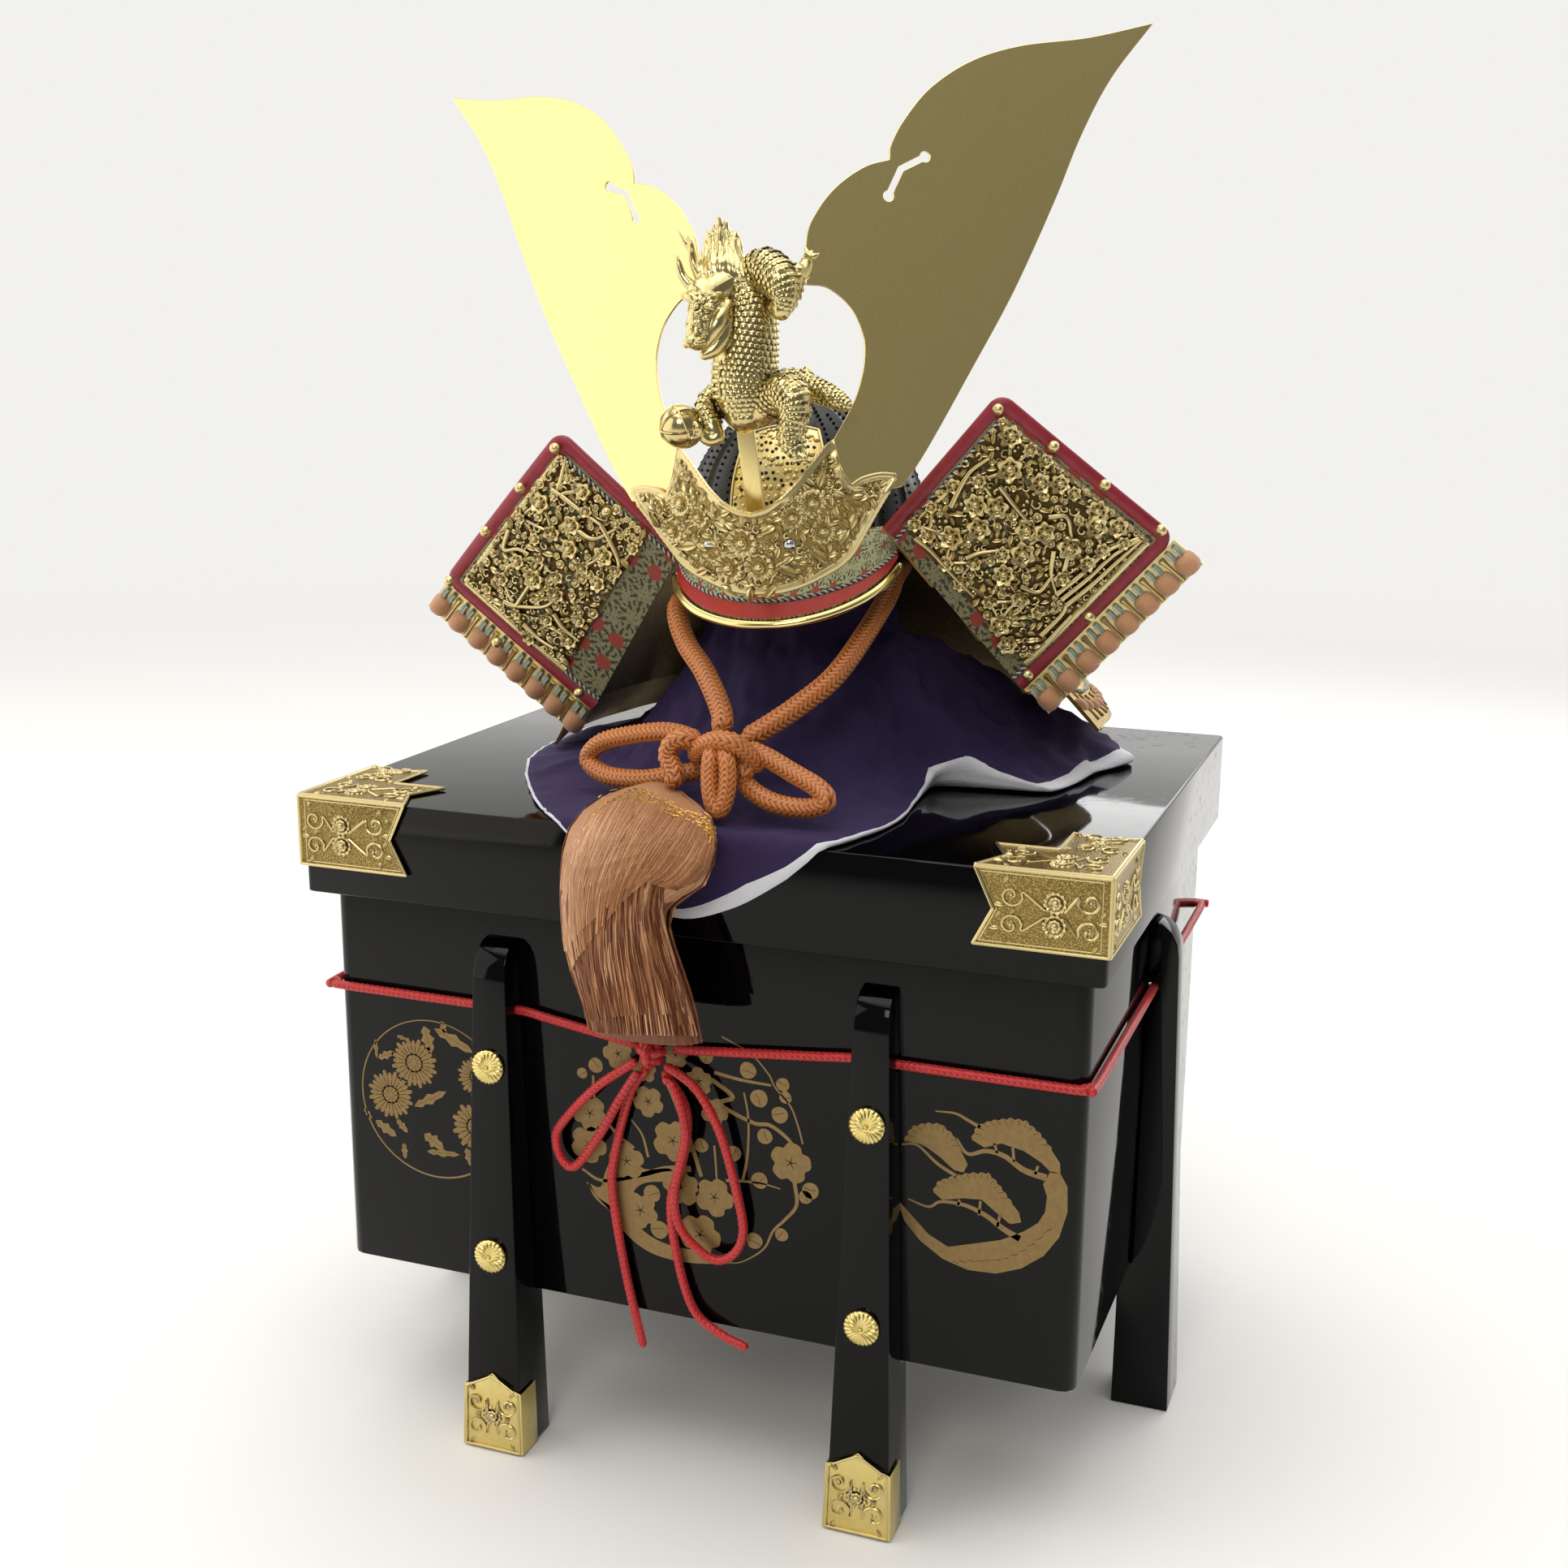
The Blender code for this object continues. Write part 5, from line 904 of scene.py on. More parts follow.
# The cloth on the stand. Hem: angle from +X (-90 is the front), how far it lies out as a share of its reach,
# lift of the hem and bulge above it as shares of the flare's height, how steeply it flares.
cloth = {
    "thick": 0.0012, "flare": 0.0645, "neck": 0.034, "reach": 0.1685, "pleat": 0.0018, "pleats": 11,
    "neckRise": 0.60, "neckOut": 0.005, "headR": 0.0305, "lidDeep": 0.2689, "gap": 0.0003, "rows": 76,
    "columns": 240, "crease": 0.0034, "creaseSize": 0.020, "turnIn": 0.5, "flat": 0.34, "area": 0.095,
    "hemWhite": [
        (-180, 0.0010), (-97, 0.0010), (-88, 0.0036), (-78, 0.0066), (-68, 0.0030), (-56, 0.0011),
        (-30, 0.0012), (-24, 0.0040), (-17, 0.0012), (-12, 0.0060), (-4, 0.0064), (6, 0.0056), (22, 0.0075),
        (36, 0.0050), (60, 0.0012), (180, 0.0010)],
    "head": [(0.985, 0.36), (0.95, 0.66), (0.90, 0.87), (0.82, 1.0)],
    "hem": [
        (-178, 0.7003, 0.0, 0.0, 3.0), (-165, 0.7003, 0.0, 0.0, 3.0), (-151, 0.7062, 0.0, 0.0, 3.0),
        (-137, 0.7270, 0.0, 0.0, 3.6), (-125, 0.7715, 0.0, 0.0, 4.2), (-110, 0.8582, 0.0, 0.0, 4.5),
        (-100, 0.9496, 0.0, 0.0, 4.5), (-90, 1.0000, 0.0, 0.0, 4.5), (-80, 0.9733, 0.0, 0.0, 4.5),
        (-72, 0.9258, 0.0, 0.0, 4.5), (-67, 0.8760, 0.0, 0.0, 4.2), (-60, 0.7834, 0.0, 0.0, 3.6),
        (-50, 0.6588, 0.0, 0.0, 2.4), (-40, 0.5341, 0.0, 0.0, 2.1), (-28, 0.4629, 0.062, 0.0, 1.9),
        (-20, 0.4510, 0.124, 0.062, 1.7), (-15.5, 0.4926, 0.155, 0.155, 1.5),
        (-11, 0.5786, 0.078, 0.093, 1.7), (-8, 0.6825, 0.0, 0.031, 1.9), (2, 0.7181, 0.0, 0.093, 1.9),
        (13, 0.7596, 0.0, 0.186, 1.9), (24, 0.8724, 0.0, 0.233, 1.9), (34, 0.8190, 0.0, 0.233, 1.9),
        (45, 0.7715, 0.0, 0.155, 1.9), (70, 0.6825, 0.0, 0.062, 1.9), (90, 0.7240, 0.0, 0.0, 1.9),
        (120, 0.7418, 0.0, 0.0, 1.9), (150, 0.7240, 0.0, 0.0, 2.4)],
}


def hemAt(angle):
    # The hem's values at any angle, read smoothly round the table.
    table = cloth["hem"]
    angles = [row[0] for row in table]
    a = (angle - angles[0]) % 360 + angles[0]
    around = [table[-1]] + table + [table[0], table[1]]
    marks = [angles[-1] - 360] + angles + [angles[0] + 360, angles[1] + 360]
    k = max(i for i in range(1, len(marks) - 2) if marks[i] <= a)
    t = (a - marks[k]) / (marks[k + 1] - marks[k])
    values = []
    for j in range(1, 5):
        p0, p1, p2, p3 = (around[k - 1][j], around[k][j], around[(k + 1) % len(around)][j],
                          around[min(k + 2, len(around) - 1)][j])
        smooth = curveAt(p0, p1, p2, p3, t)
        low, high = min(p1, p2), max(p1, p2)
        room = 0.15 * (high - low)
        values.append(min(max(smooth, low - room), high + room))
    return values


def clothFloor():
    # How high the cloth's middle surface lies where it rests on the lid.
    return seat["lidTop"] + cloth["gap"] + cloth["thick"] / 2 + 0.0003


def clothRing(angle):
    # Points of the cloth's middle surface at one angle, from the crown to the hem.
    c = cloth
    bowlTop = (seatMatrix @ Vector((0, 0, bowl["centre"]))).z + bowl["radius"] - bowl["wall"]
    top = bowlTop - seat["lidTop"] - c["gap"] * 2 - c["thick"] / 2
    clear = c["thick"] / 2 + c["gap"] * 2
    floorZ = clothFloor()
    edge = c["lidDeep"] / 2 + c["gap"] + c["thick"] / 2 + 0.0008
    reach, lift, bulge, steep = hemAt(angle)
    reach, lift, bulge = reach * c["reach"], max(lift, 0) * c["flare"], bulge * c["flare"]
    turn = math.radians(angle)
    ring = [(0.0005, seat["lidTop"] + top)]
    ring += [(c["headR"] * share + clear + 0.0006, seat["lidTop"] + top * rise) for rise, share in c["head"]]
    pleat = c["pleat"] * math.cos(c["pleats"] * turn)
    ring.append((c["neck"] + 0.4 * pleat, seat["lidTop"] + top * c["neckRise"]))
    neck = c["neck"] + c["neckOut"]
    ring.append((neck + pleat, seat["lidTop"] + c["flare"]))
    down = -math.sin(turn)
    over = reach * down > edge - 0.002
    limit = edge / down if over else 0
    shares = [0.10, 0.20, 0.31, 0.42, 0.53, 0.64, 0.74, 0.84, 0.93, 1.0]
    if over:
        atEdge = (min(limit, reach) - neck) / (reach - neck)
        last = atEdge if reach > limit + 0.002 else 0.95
        shares = [0.11 * atEdge, 0.22 * atEdge, 0.35 * atEdge, 0.48 * atEdge, 0.61 * atEdge, 0.75 * atEdge,
                  0.5 * (0.75 * atEdge + last), last, 0.5 * (last + 1), 1.0]
    for share in shares:
        r = neck + share * (reach - neck)
        z = floorZ + (c["flare"] - 0.001) * (1 - min(share, 1)) ** steep
        z += lift * share ** 2 + bulge * math.sin(math.pi * share)
        if over and r > limit:
            z = floorZ - (r - limit)
            r = limit
        ring.append((r, z))
    return [Vector((standX() + r * math.cos(turn), r * math.sin(turn), z)) for r, z in ring]


def crumple(grid):
    # Soft creases that gather at the neck and die out where the cloth lies on the lid or hangs over its edge.
    c, floorZ, middle = cloth, clothFloor(), standX()
    for i in range(grid.shape[0]):
        for j in range(grid.shape[1]):
            point = Vector(grid[i, j])
            above = point.z - floorZ
            if above < -0.0004 or above > c["flare"] * 1.35:
                continue
            out = Vector((point.x - middle, point.y, 0))
            reach = out.length
            out.normalize()
            fold = noise.noise(Vector((out.x * 3.1, out.y * 3.1, reach * 9))) * 1.2
            spot = point / c["creaseSize"]
            sharp = 0.8 - 2.4 * abs(noise.noise(spot)) + 0.4 - 1.1 * abs(noise.noise(spot * 2.3))
            share = min(1.0, 0.35 + above / 0.006) * min(1.0, (c["flare"] * 1.35 - above) / 0.02)
            push = c["crease"] * share * (fold + sharp)
            push = max(push, 0.0) if above < 0.002 else push
            point += (out * 0.5 + Vector((0, 0, 0.7))) * push
            grid[i, j] = (point.x, point.y, max(point.z, floorZ))


def buildCloth():
    c = cloth
    columns = c["columns"]
    rings = []
    for i in range(columns):
        route = evenRoute(smoothRoute(clothRing(360 * i / columns - 180), 0.004), 0.002)[0]
        along = np.linspace(0, len(route) - 1, c["rows"])
        rings.append(np.stack([np.interp(along, np.arange(len(route)), route[:, j]) for j in range(3)], 1))
    grid = np.array(rings)
    crumple(grid)
    # Where the hem lifts, its lining falls back to the lid.
    hem = grid[:, -1]
    tall = np.clip(hem[:, 2] - clothFloor(), 0, 1)
    inward = hem[:, :2] - np.array((standX(), 0))
    inward /= np.linalg.norm(inward, axis=1)[:, None]
    falls = []
    for k in (0.33, 0.66, 1.0):
        foot = hem.copy()
        foot[:, 2] -= tall * k
        foot[:, :2] -= inward * (tall * c["turnIn"] * k + 0.0003 * k)[:, None]
        falls.append(foot)
    along = np.linalg.norm(np.diff(grid, axis=1), axis=2)
    left = np.concatenate([np.cumsum(along[:, ::-1], axis=1)[:, ::-1], np.zeros((columns, 1))], 1)
    white = np.interp(360 * np.arange(columns) / columns - 180, *zip(*c["hemWhite"]))
    over = np.concatenate([left - white[:, None], np.full((columns, 3), -0.01)], 1)
    grid = np.concatenate([grid, np.stack(falls, 1)], 1)
    rows = grid.shape[1]
    bm = bmesh.new()
    points = [[bm.verts.new(grid[i, j]) for i in range(columns)] for j in range(rows)]
    uv = bm.loops.layers.uv.new("UVMap")
    for j in range(rows - 1):
        for i in range(columns):
            k = (i + 1) % columns
            face = bm.faces.new((points[j][i], points[j + 1][i], points[j + 1][k], points[j][k]))
            for loop, (u, v) in zip(face.loops, ((i, j), (i, j + 1), (i + 1, j + 1), (i + 1, j))):
                loop[uv].uv = (u / columns * 0.6, v / rows * 0.25)
    bm.normal_update()
    mesh = meshFrom(bm, "cover_cloth_crepe")
    pointValues(mesh, "hem", over.T)
    piece = newObject("cover_cloth_crepe", mesh, [finish["cloth"], finish["lining"]], 180)
    wall = piece.modifiers.new("cloth", "SOLIDIFY")
    wall.thickness = c["thick"]
    wall.offset = 0
    wall.material_offset = 1
    wall.material_offset_rim = 1
    place(piece, "purple_cloth", "cover_cloth")


buildCloth()
print("cloth laid")


# Tassel, traced in pixels of the photograph's crop. Rows: height, left and right edge, where its middle
# stands in Y and half its depth. Key threads are lists of (across, down).
tassel = {
    "corner": (620, 900), "scale": 4.0, "strand": 0.00030, "hoodEnd": 800, "hoodThreads": 900,
    "skirtThreads": 540, "backThreads": 220, "wraps": 330, "sides": 90,
    "rows": [
        (262, 700, 800, -0.1160, 0.0030), (300, 590, 880, -0.1200, 0.0060),
        (345, 490, 970, -0.1270, 0.0085), (420, 392, 1030, -0.1390, 0.0100),
        (520, 322, 1045, -0.1485, 0.0112), (640, 292, 1030, -0.1535, 0.0118),
        (720, 286, 990, -0.1545, 0.0118), (790, 283, 880, -0.1545, 0.0116),
        (860, 283, 815, -0.1540, 0.0112), (960, 287, 812, -0.1535, 0.0106),
        (1100, 305, 862, -0.1530, 0.0100), (1200, 330, 900, -0.1527, 0.0096),
        (1330, 385, 940, -0.1525, 0.0092), (1440, 405, 962, -0.1523, 0.0090),
        (1500, 420, 975, -0.1522, 0.0088)],
    "hood": [
        [(440, 385), (350, 500), (303, 680), (292, 900), (310, 1090), (335, 1190)],
        [(520, 320), (420, 480), (350, 680), (325, 880), (335, 1040), (350, 1140)],
        [(620, 300), (520, 480), (430, 680), (390, 860), (385, 980), (400, 1080)],
        [(740, 330), (640, 480), (560, 640), (500, 800), (480, 900), (470, 985)],
        [(850, 385), (770, 500), (700, 600), (640, 700), (600, 780), (575, 850)],
        [(950, 420), (900, 520), (840, 610), (780, 680), (730, 720), (700, 745)],
        [(1020, 460), (1000, 560), (960, 650), (900, 720), (850, 760), (800, 775)],
        [(1040, 530), (1038, 600), (1015, 680), (965, 740), (915, 775), (860, 790)]],
    "skirt": [
        [(300, 1000), (318, 1120), (350, 1230), (392, 1340), (415, 1430), (425, 1475)],
        [(400, 960), (395, 1090), (410, 1220), (440, 1330), (465, 1430), (480, 1490)],
        [(520, 860), (500, 1000), (505, 1150), (530, 1290), (555, 1410), (570, 1500)],
        [(640, 740), (620, 920), (630, 1100), (660, 1260), (685, 1400), (700, 1500)],
        [(740, 700), (700, 880), (720, 1080), (770, 1250), (810, 1400), (830, 1505)],
        [(790, 770), (785, 900), (820, 1060), (870, 1220), (915, 1380), (950, 1505)]],
}


def tasselRow(y):
    rows = tassel["rows"]
    marks = [row[0] for row in rows]
    return [float(np.interp(y, marks, [row[k] for row in rows])) for k in (1, 2, 3, 4)]


def tasselSlice(y):
    # Middle, half width and half depth of the tassel at a height.
    left, right, middle, deep = tasselRow(y)
    a, b = behindPixel(tassel, left, y, middle), behindPixel(tassel, right, y, middle)
    return (a + b) / 2, (b - a).length / 2, deep


def onTassel(x, y, lift=0.0):
    # A point of the tassel's front, seen through a pixel of the crop.
    left, right, middle, deep = tasselRow(y)
    share = min(1.0, abs(2 * (x - left) / (right - left) - 1))
    return behindPixel(tassel, x, y, middle - deep * math.sqrt(1 - share ** 2) - lift)


def layThreads(heap, keys, count, lift, slots, rnd, frayed):
    # Threads between neighbouring key threads, each a little out of line.
    for k in range(count):
        spot = (k + rnd.random()) / count * (len(keys) - 1)
        i = min(int(spot), len(keys) - 2)
        t = spot - i
        wave, sway = rnd.uniform(-5, 5), rnd.uniform(0, 6.28)
        cut = rnd.uniform(1 - frayed, 1 + frayed * 0.3)
        flat = [((1 - t) * a[0] + t * b[0], (1 - t) * a[1] + t * b[1]) for a, b in zip(keys[i], keys[i + 1])]
        line = []
        for x, y in smoothRoute(flat, 75):
            share = min(1.0, len(line) / 10)
            line.append(onTassel(x + wave * share + 3 * math.sin(sway + y / 60), y, lift + 0.0004
                                 * math.sin(sway + y / 90)))
        line = line[:max(4, int(len(line) * min(1, cut)))]
        heap.tube(line, tassel["strand"] * rnd.uniform(0.9, 1.5), 3, slotIndex=rnd.choice(slots))


def buildTassel():
    t = tassel
    rnd = random.Random(11)
    heap = Heap()
    sides = t["sides"]
    turns = 2 * np.pi * np.arange(sides) / sides
    ys = np.linspace(t["rows"][0][0], t["rows"][-1][0], 56)
    fine = np.array([rnd.random() for _ in turns])
    rings = []
    for y in ys:
        centre, half, deep = tasselSlice(y)
        groove = 1 - 0.05 * fine * min(1.0, (y - 250) / 150)
        rings.append(np.stack([centre.x + half * 0.985 * groove * np.cos(turns),
                               centre.y + deep * 0.96 * groove * np.sin(turns),
                               np.full(sides, centre.z)], 1))
    count = len(rings)
    # The head takes the plain fringe and the part below it the copy in painted shade.
    shades = [0 if ys[k // sides] < t["hoodEnd"] else 1 for k in range((count - 1) * sides)] + [0, 1]
    heap.add(np.concatenate(rings), tubeFaces(count, sides), slotIndex=shades)
    # The skirt's threads are mostly in painted shade and the hood's plain, with a few of each in painted
    # light.
    layThreads(heap, t["skirt"], t["skirtThreads"], 0.0004, (1, 1, 1, 3, 0), rnd, 0.05)
    layThreads(heap, t["hood"], t["hoodThreads"], 0.0013, (0, 0, 0, 3), rnd, 0.04)
    # Behind, the threads hang straight.
    for k in range(t["backThreads"]):
        turn = math.pi * (k + rnd.random()) / t["backThreads"]
        line = []
        for y in np.linspace(300, rnd.uniform(1440, 1500), 12):
            centre, half, deep = tasselSlice(y)
            line.append(Vector((centre.x + half * math.cos(turn), centre.y + deep * math.sin(turn),
                                centre.z)))
        heap.tube(line, t["strand"] * 1.3, 3, slotIndex=rnd.choice((0, 1, 3)))
    # Gold thread is wound over the head, where the fringe springs from it.
    arc = [key[0] for key in t["hood"]]
    for _ in range(t["wraps"]):
        spot = rnd.random() * (len(arc) - 1)
        i = min(int(spot), len(arc) - 2)
        x = arc[i][0] + (arc[i + 1][0] - arc[i][0]) * (spot - i) + rnd.gauss(0, 9)
        y = arc[i][1] + (arc[i + 1][1] - arc[i][1]) * (spot - i) + rnd.gauss(12, 22)
        dx, dy = arc[i + 1][0] - arc[i][0], arc[i + 1][1] - arc[i][1]
        reach = rnd.uniform(6, 16) / math.hypot(dx, dy)
        line = [onTassel(x - dx * reach, y - dy * reach, 0.0014), onTassel(x, y, 0.0019),
                onTassel(x + dx * reach, y + dy * reach, 0.0014)]
        heap.tube(line, 0.00024, 3, slotIndex=2)
    finishes = [finish["fringe"], finish["fringeShaded"], finish["fleck"], finish["fringeLight"]]
    heap.piece("tassel_fringe", finishes, 60, "copper_silk", "tassel")
    print("tassel hung")


# Turns of the chin cord's knot, in pixels of the crop: across, down, and where each point stands in Y. The
# one over the top, the one that goes round and down into the tassel, and the short loop that hangs in front.
chinKnot = {
    "corner": (690, 870), "scale": 6.0, "diameter": 0.0082,
    "wraps": [
        [
            (1000, 400, -0.1080), (1050, 310, -0.1125), (1150, 255, -0.1165), (1260, 265, -0.1175),
            (1350, 320, -0.1150), (1430, 400, -0.1110), (1475, 460, -0.1070)],
        [
            (1030, 400, -0.1060), (1000, 290, -0.1095), (915, 245, -0.1125), (830, 280, -0.1140),
            (800, 365, -0.1150), (830, 450, -0.1165), (850, 520, -0.1180), (800, 585, -0.1190)],
        [(1290, 400, -0.1080), (1370, 440, -0.1120), (1340, 510, -0.1130), (1260, 500, -0.1100)]],
    "loop": [
        (1150, 300, -0.1120), (1118, 380, -0.1190), (1106, 500, -0.1215), (1112, 630, -0.1235),
        (1134, 730, -0.1250), (1168, 780, -0.1255), (1206, 730, -0.1250), (1232, 630, -0.1235),
        (1240, 500, -0.1215), (1228, 380, -0.1190), (1190, 300, -0.1120)],
    "loopDiameter": 0.0072,
}

# Turns of the belt cord's knot from its middle.
beltKnot = [
    [(-0.0055, 0.001, 0.0012), (-0.003, -0.0035, 0.0015), (0.003, -0.0035, 0.0012), (0.0055, 0.001, 0.001)],
    [(-0.0045, 0.001, -0.0028), (-0.001, -0.0026, -0.0022), (0.0022, -0.0028, 0.0005), (0.003, 0.0, 0.005)],
    [(0.0045, 0.001, -0.0028), (0.0012, -0.0036, -0.0020), (-0.0018, -0.0038, 0.0010), (-0.003, 0, 0.005)],
    [(0.0, 0.001, 0.0055), (0.0002, -0.0052, 0.0025), (0.0002, -0.0052, -0.0025), (0, 0.0005, -0.0055)]]


def buildKnots():
    bm = bmesh.new()
    for wrap in chinKnot["wraps"] + [chinKnot["loop"]]:
        thick = chinKnot["loopDiameter" if wrap is chinKnot["loop"] else "diameter"]
        braid = {**chinCord["bowBraid"], "diameter": thick}
        route = smoothRoute([behindPixel(chinKnot, *p) for p in wrap], 0.001)
        bm.from_mesh(braidMesh("wrap", route, braid)[0])
    knot = newObject("chin_knot_braid", meshFrom(bm, "chin_knot_braid"), finish["orangeBraid"], 180)
    place(knot, "orange_cord", "chin_knot")
    b = beltCord
    centre = Vector((b["knotX"], -b["bodyDeep"] / 2 - b["gap"] - b["knotR"] * 0.9,
                     b["height"] - b["knotDrop"]))
    bm = bmesh.new()
    for wrap in beltKnot:
        route = smoothRoute([centre + Vector(p) for p in wrap], 0.0008)
        bm.from_mesh(braidMesh("wrap", route, b["braid"])[0])
    knot = newObject("belt_knot_braid", meshFrom(bm, "belt_knot_braid"), finish["redBraid"], 180)
    place(knot, "red_cord", "belt_knot")
    print("tassel and knots tied")


buildTassel()
buildKnots()


# Dragon crest, traced in pixels of the photograph's crop: across, down, how far forward in mm and radius in
# pixels. A claw's foot has its spread, reach and way; knobs of the face stand round a line down its middle.
dragon = {
    "corner": (760, 230), "scale": 3.825, "plane": -0.0885, "pixel": 0.36, "voxel": 0.00036, "keep": 0.28,
    "trunk": [
        (560, 440, 2, 70), (612, 500, 2, 92), (632, 600, 2, 104), (618, 740, 2, 120), (604, 880, 2, 127),
        (596, 990, 2, 116), (600, 1065, 2, 86), (604, 1105, 2, 52)],
    "tail": [
        (700, 1040, -1, 60), (735, 975, -3, 66), (800, 930, -4, 60), (870, 935, -4, 56), (940, 960, -4, 48),
        (1000, 985, -3, 42), (1050, 1010, -3, 34), (1095, 1035, -2, 16)],
    "limbs": [
        [(640, 420, 3, 70), (700, 390, 5, 82), (760, 440, 8, 78), (790, 520, 9, 58), (775, 575, 9, 38)],
        [(775, 570, 9, 38), (815, 500, 6, 46), (835, 420, 3, 46), (880, 395, 0, 36), (905, 330, -2, 22)],
        [
            (690, 1050, 3, 66), (770, 965, 6, 78), (830, 1010, 8, 74), (835, 1090, 8, 58),
            (815, 1165, 8, 50), (835, 1220, 8, 44), (860, 1262, 9, 30)],
        [
            (530, 1040, -1, 50), (455, 1000, -1, 50), (425, 1060, 2, 48), (450, 1140, 4, 44),
            (470, 1180, 5, 34), (430, 1195, 7, 24), (385, 1160, 9, 20)],
        [
            (405, 500, 11, 62), (415, 560, 13, 64), (395, 630, 17, 54), (375, 690, 20, 42),
            (362, 728, 21, 32)],
        [(560, 440, 3, 60), (490, 480, 7, 66), (430, 520, 10, 66)],
        [(525, 600, 10, 34), (505, 690, 13, 34), (460, 765, 15, 32), (415, 792, 17, 22)],
        [
            (520, 560, 11, 30), (475, 640, 16, 36), (430, 715, 18, 26), (385, 752, 20, 18),
            (330, 742, 20, 14)],
        [(330, 742, 20, 18), (362, 716, 23, 20), (395, 742, 21, 16)],
        [
            (315, 515, 12, 14), (350, 522, 17, 22), (395, 545, 18, 16), (440, 530, 18, 24),
            (490, 520, 14, 16)]],
    "balls": [
        (370, 562, 20, 17), (440, 566, 20, 18), (340, 724, 24, 15), (384, 726, 25, 16), (480, 585, 12, 50),
        (775, 580, 9, 42), (450, 1000, -1, 52), (600, 1060, 2, 84)],
    "antlers": [
        [(350, 470, 8, 24), (310, 420, 8, 19), (292, 360, 8, 15), (284, 322, 8, 5)],
        [(395, 430, 7, 24), (362, 360, 6, 19), (350, 300, 6, 16), (318, 250, 6, 13), (290, 208, 6, 4)],
        [(352, 320, 6, 14), (352, 275, 7, 11), (334, 232, 7, 4)]],
    "maneRoots": [(430, 470), (500, 480), (560, 470), (600, 440)],
    "maneTips": [
        (392, 300), (418, 225), (450, 170), (488, 143), (528, 168), (560, 215), (582, 262), (598, 310),
        (606, 360), (612, 410)],
    "fin": [(850, 915, -4), (892, 842, -4), (935, 935, -4)],
    "claws": [
        ((400, 1165, 9), 36, 52, (-1, -0.35)), ((900, 345, -2), 26, 44, (0.5, -1)),
        ((858, 1262, 9), 30, 40, (0.2, 1))],
    "ball": (305, 1130, 6, 86), "belly": 50, "bellyHalf": 21, "scaleWide": 0.0029, "scalePitch": 0.0021,
    "knobs": 90, "face": (300, 500), "faceRows": (500, 745), "faceMiddle": (410, 350), "faceHalf": 62,
}


def crestAt(x, y, forward=0.0):
    # A point of the crest's upright plane behind a pixel of the crop, brought forward by some millimetres.
    start, way = pixelRay(*cropPixel(dragon, x, y))
    back = seatMatrix.inverted()
    start, way = back @ start, back.to_3x3() @ way
    return seatMatrix @ (start + way * ((dragon["plane"] - forward / 1000 - start.y) / way.y))


def crestSize(radius):
    # A radius in pixels of the crop, in metres.
    return radius * (dragon["pixel"] / dragon["scale"] / 1000)


def crestRoute(line, step):
    # Points and radii in metres along a traced line.
    return smoothRoute([(*crestAt(x, y, f), crestSize(r)) for x, y, f, r in line], step)


def crestTube(heap, line, sides=16, step=0.0009):
    rows = crestRoute(line, step)
    heap.tube([row[:3] for row in rows], [row[3] for row in rows], sides)
    for row in (rows[0], rows[-1]):
        heap.ball(row[3], row[:3], sides, 8)


def laySkin(heap, tree, line, size, pitch, keepOut=None):
    # Overlapping scales round a limb, each row set between the ones above.
    rows = crestRoute(line, pitch)
    pts = np.array([row[:3] for row in rows])
    ways = np.gradient(pts, axis=0)
    form = domeForm(size / 2, 0.36, 8, 3)
    for k in range(1, len(rows) - 1):
        centre, way = Vector(pts[k]), Vector(ways[k]).normalized()
        front = Vector((0, -1, 0)) - way * way.dot(Vector((0, -1, 0)))
        front.normalize()
        side = way.cross(front)
        count = max(8, int(2 * math.pi * rows[k][3] / size * 1.12))
        for i in range(count):
            turn = 2 * math.pi * (i + 0.5 * (k % 2)) / count
            if keepOut and abs((math.degrees(turn) - keepOut[0] + 180) % 360 - 180) < keepOut[1]:
                continue
            if math.cos(turn) < -0.75:
                continue
            out = front * math.cos(turn) + side * math.sin(turn)
            point, normal = tree.ray_cast(centre + out * rows[k][3] * 2.2, -out)[:2]
            if point is None or abs((point - centre).length - rows[k][3]) > rows[k][3] * 0.35:
                continue
            tilt = (normal - way * 0.38).normalized()
            heap.add(*form, axesAt(point + normal * size * 0.02, tilt, way))


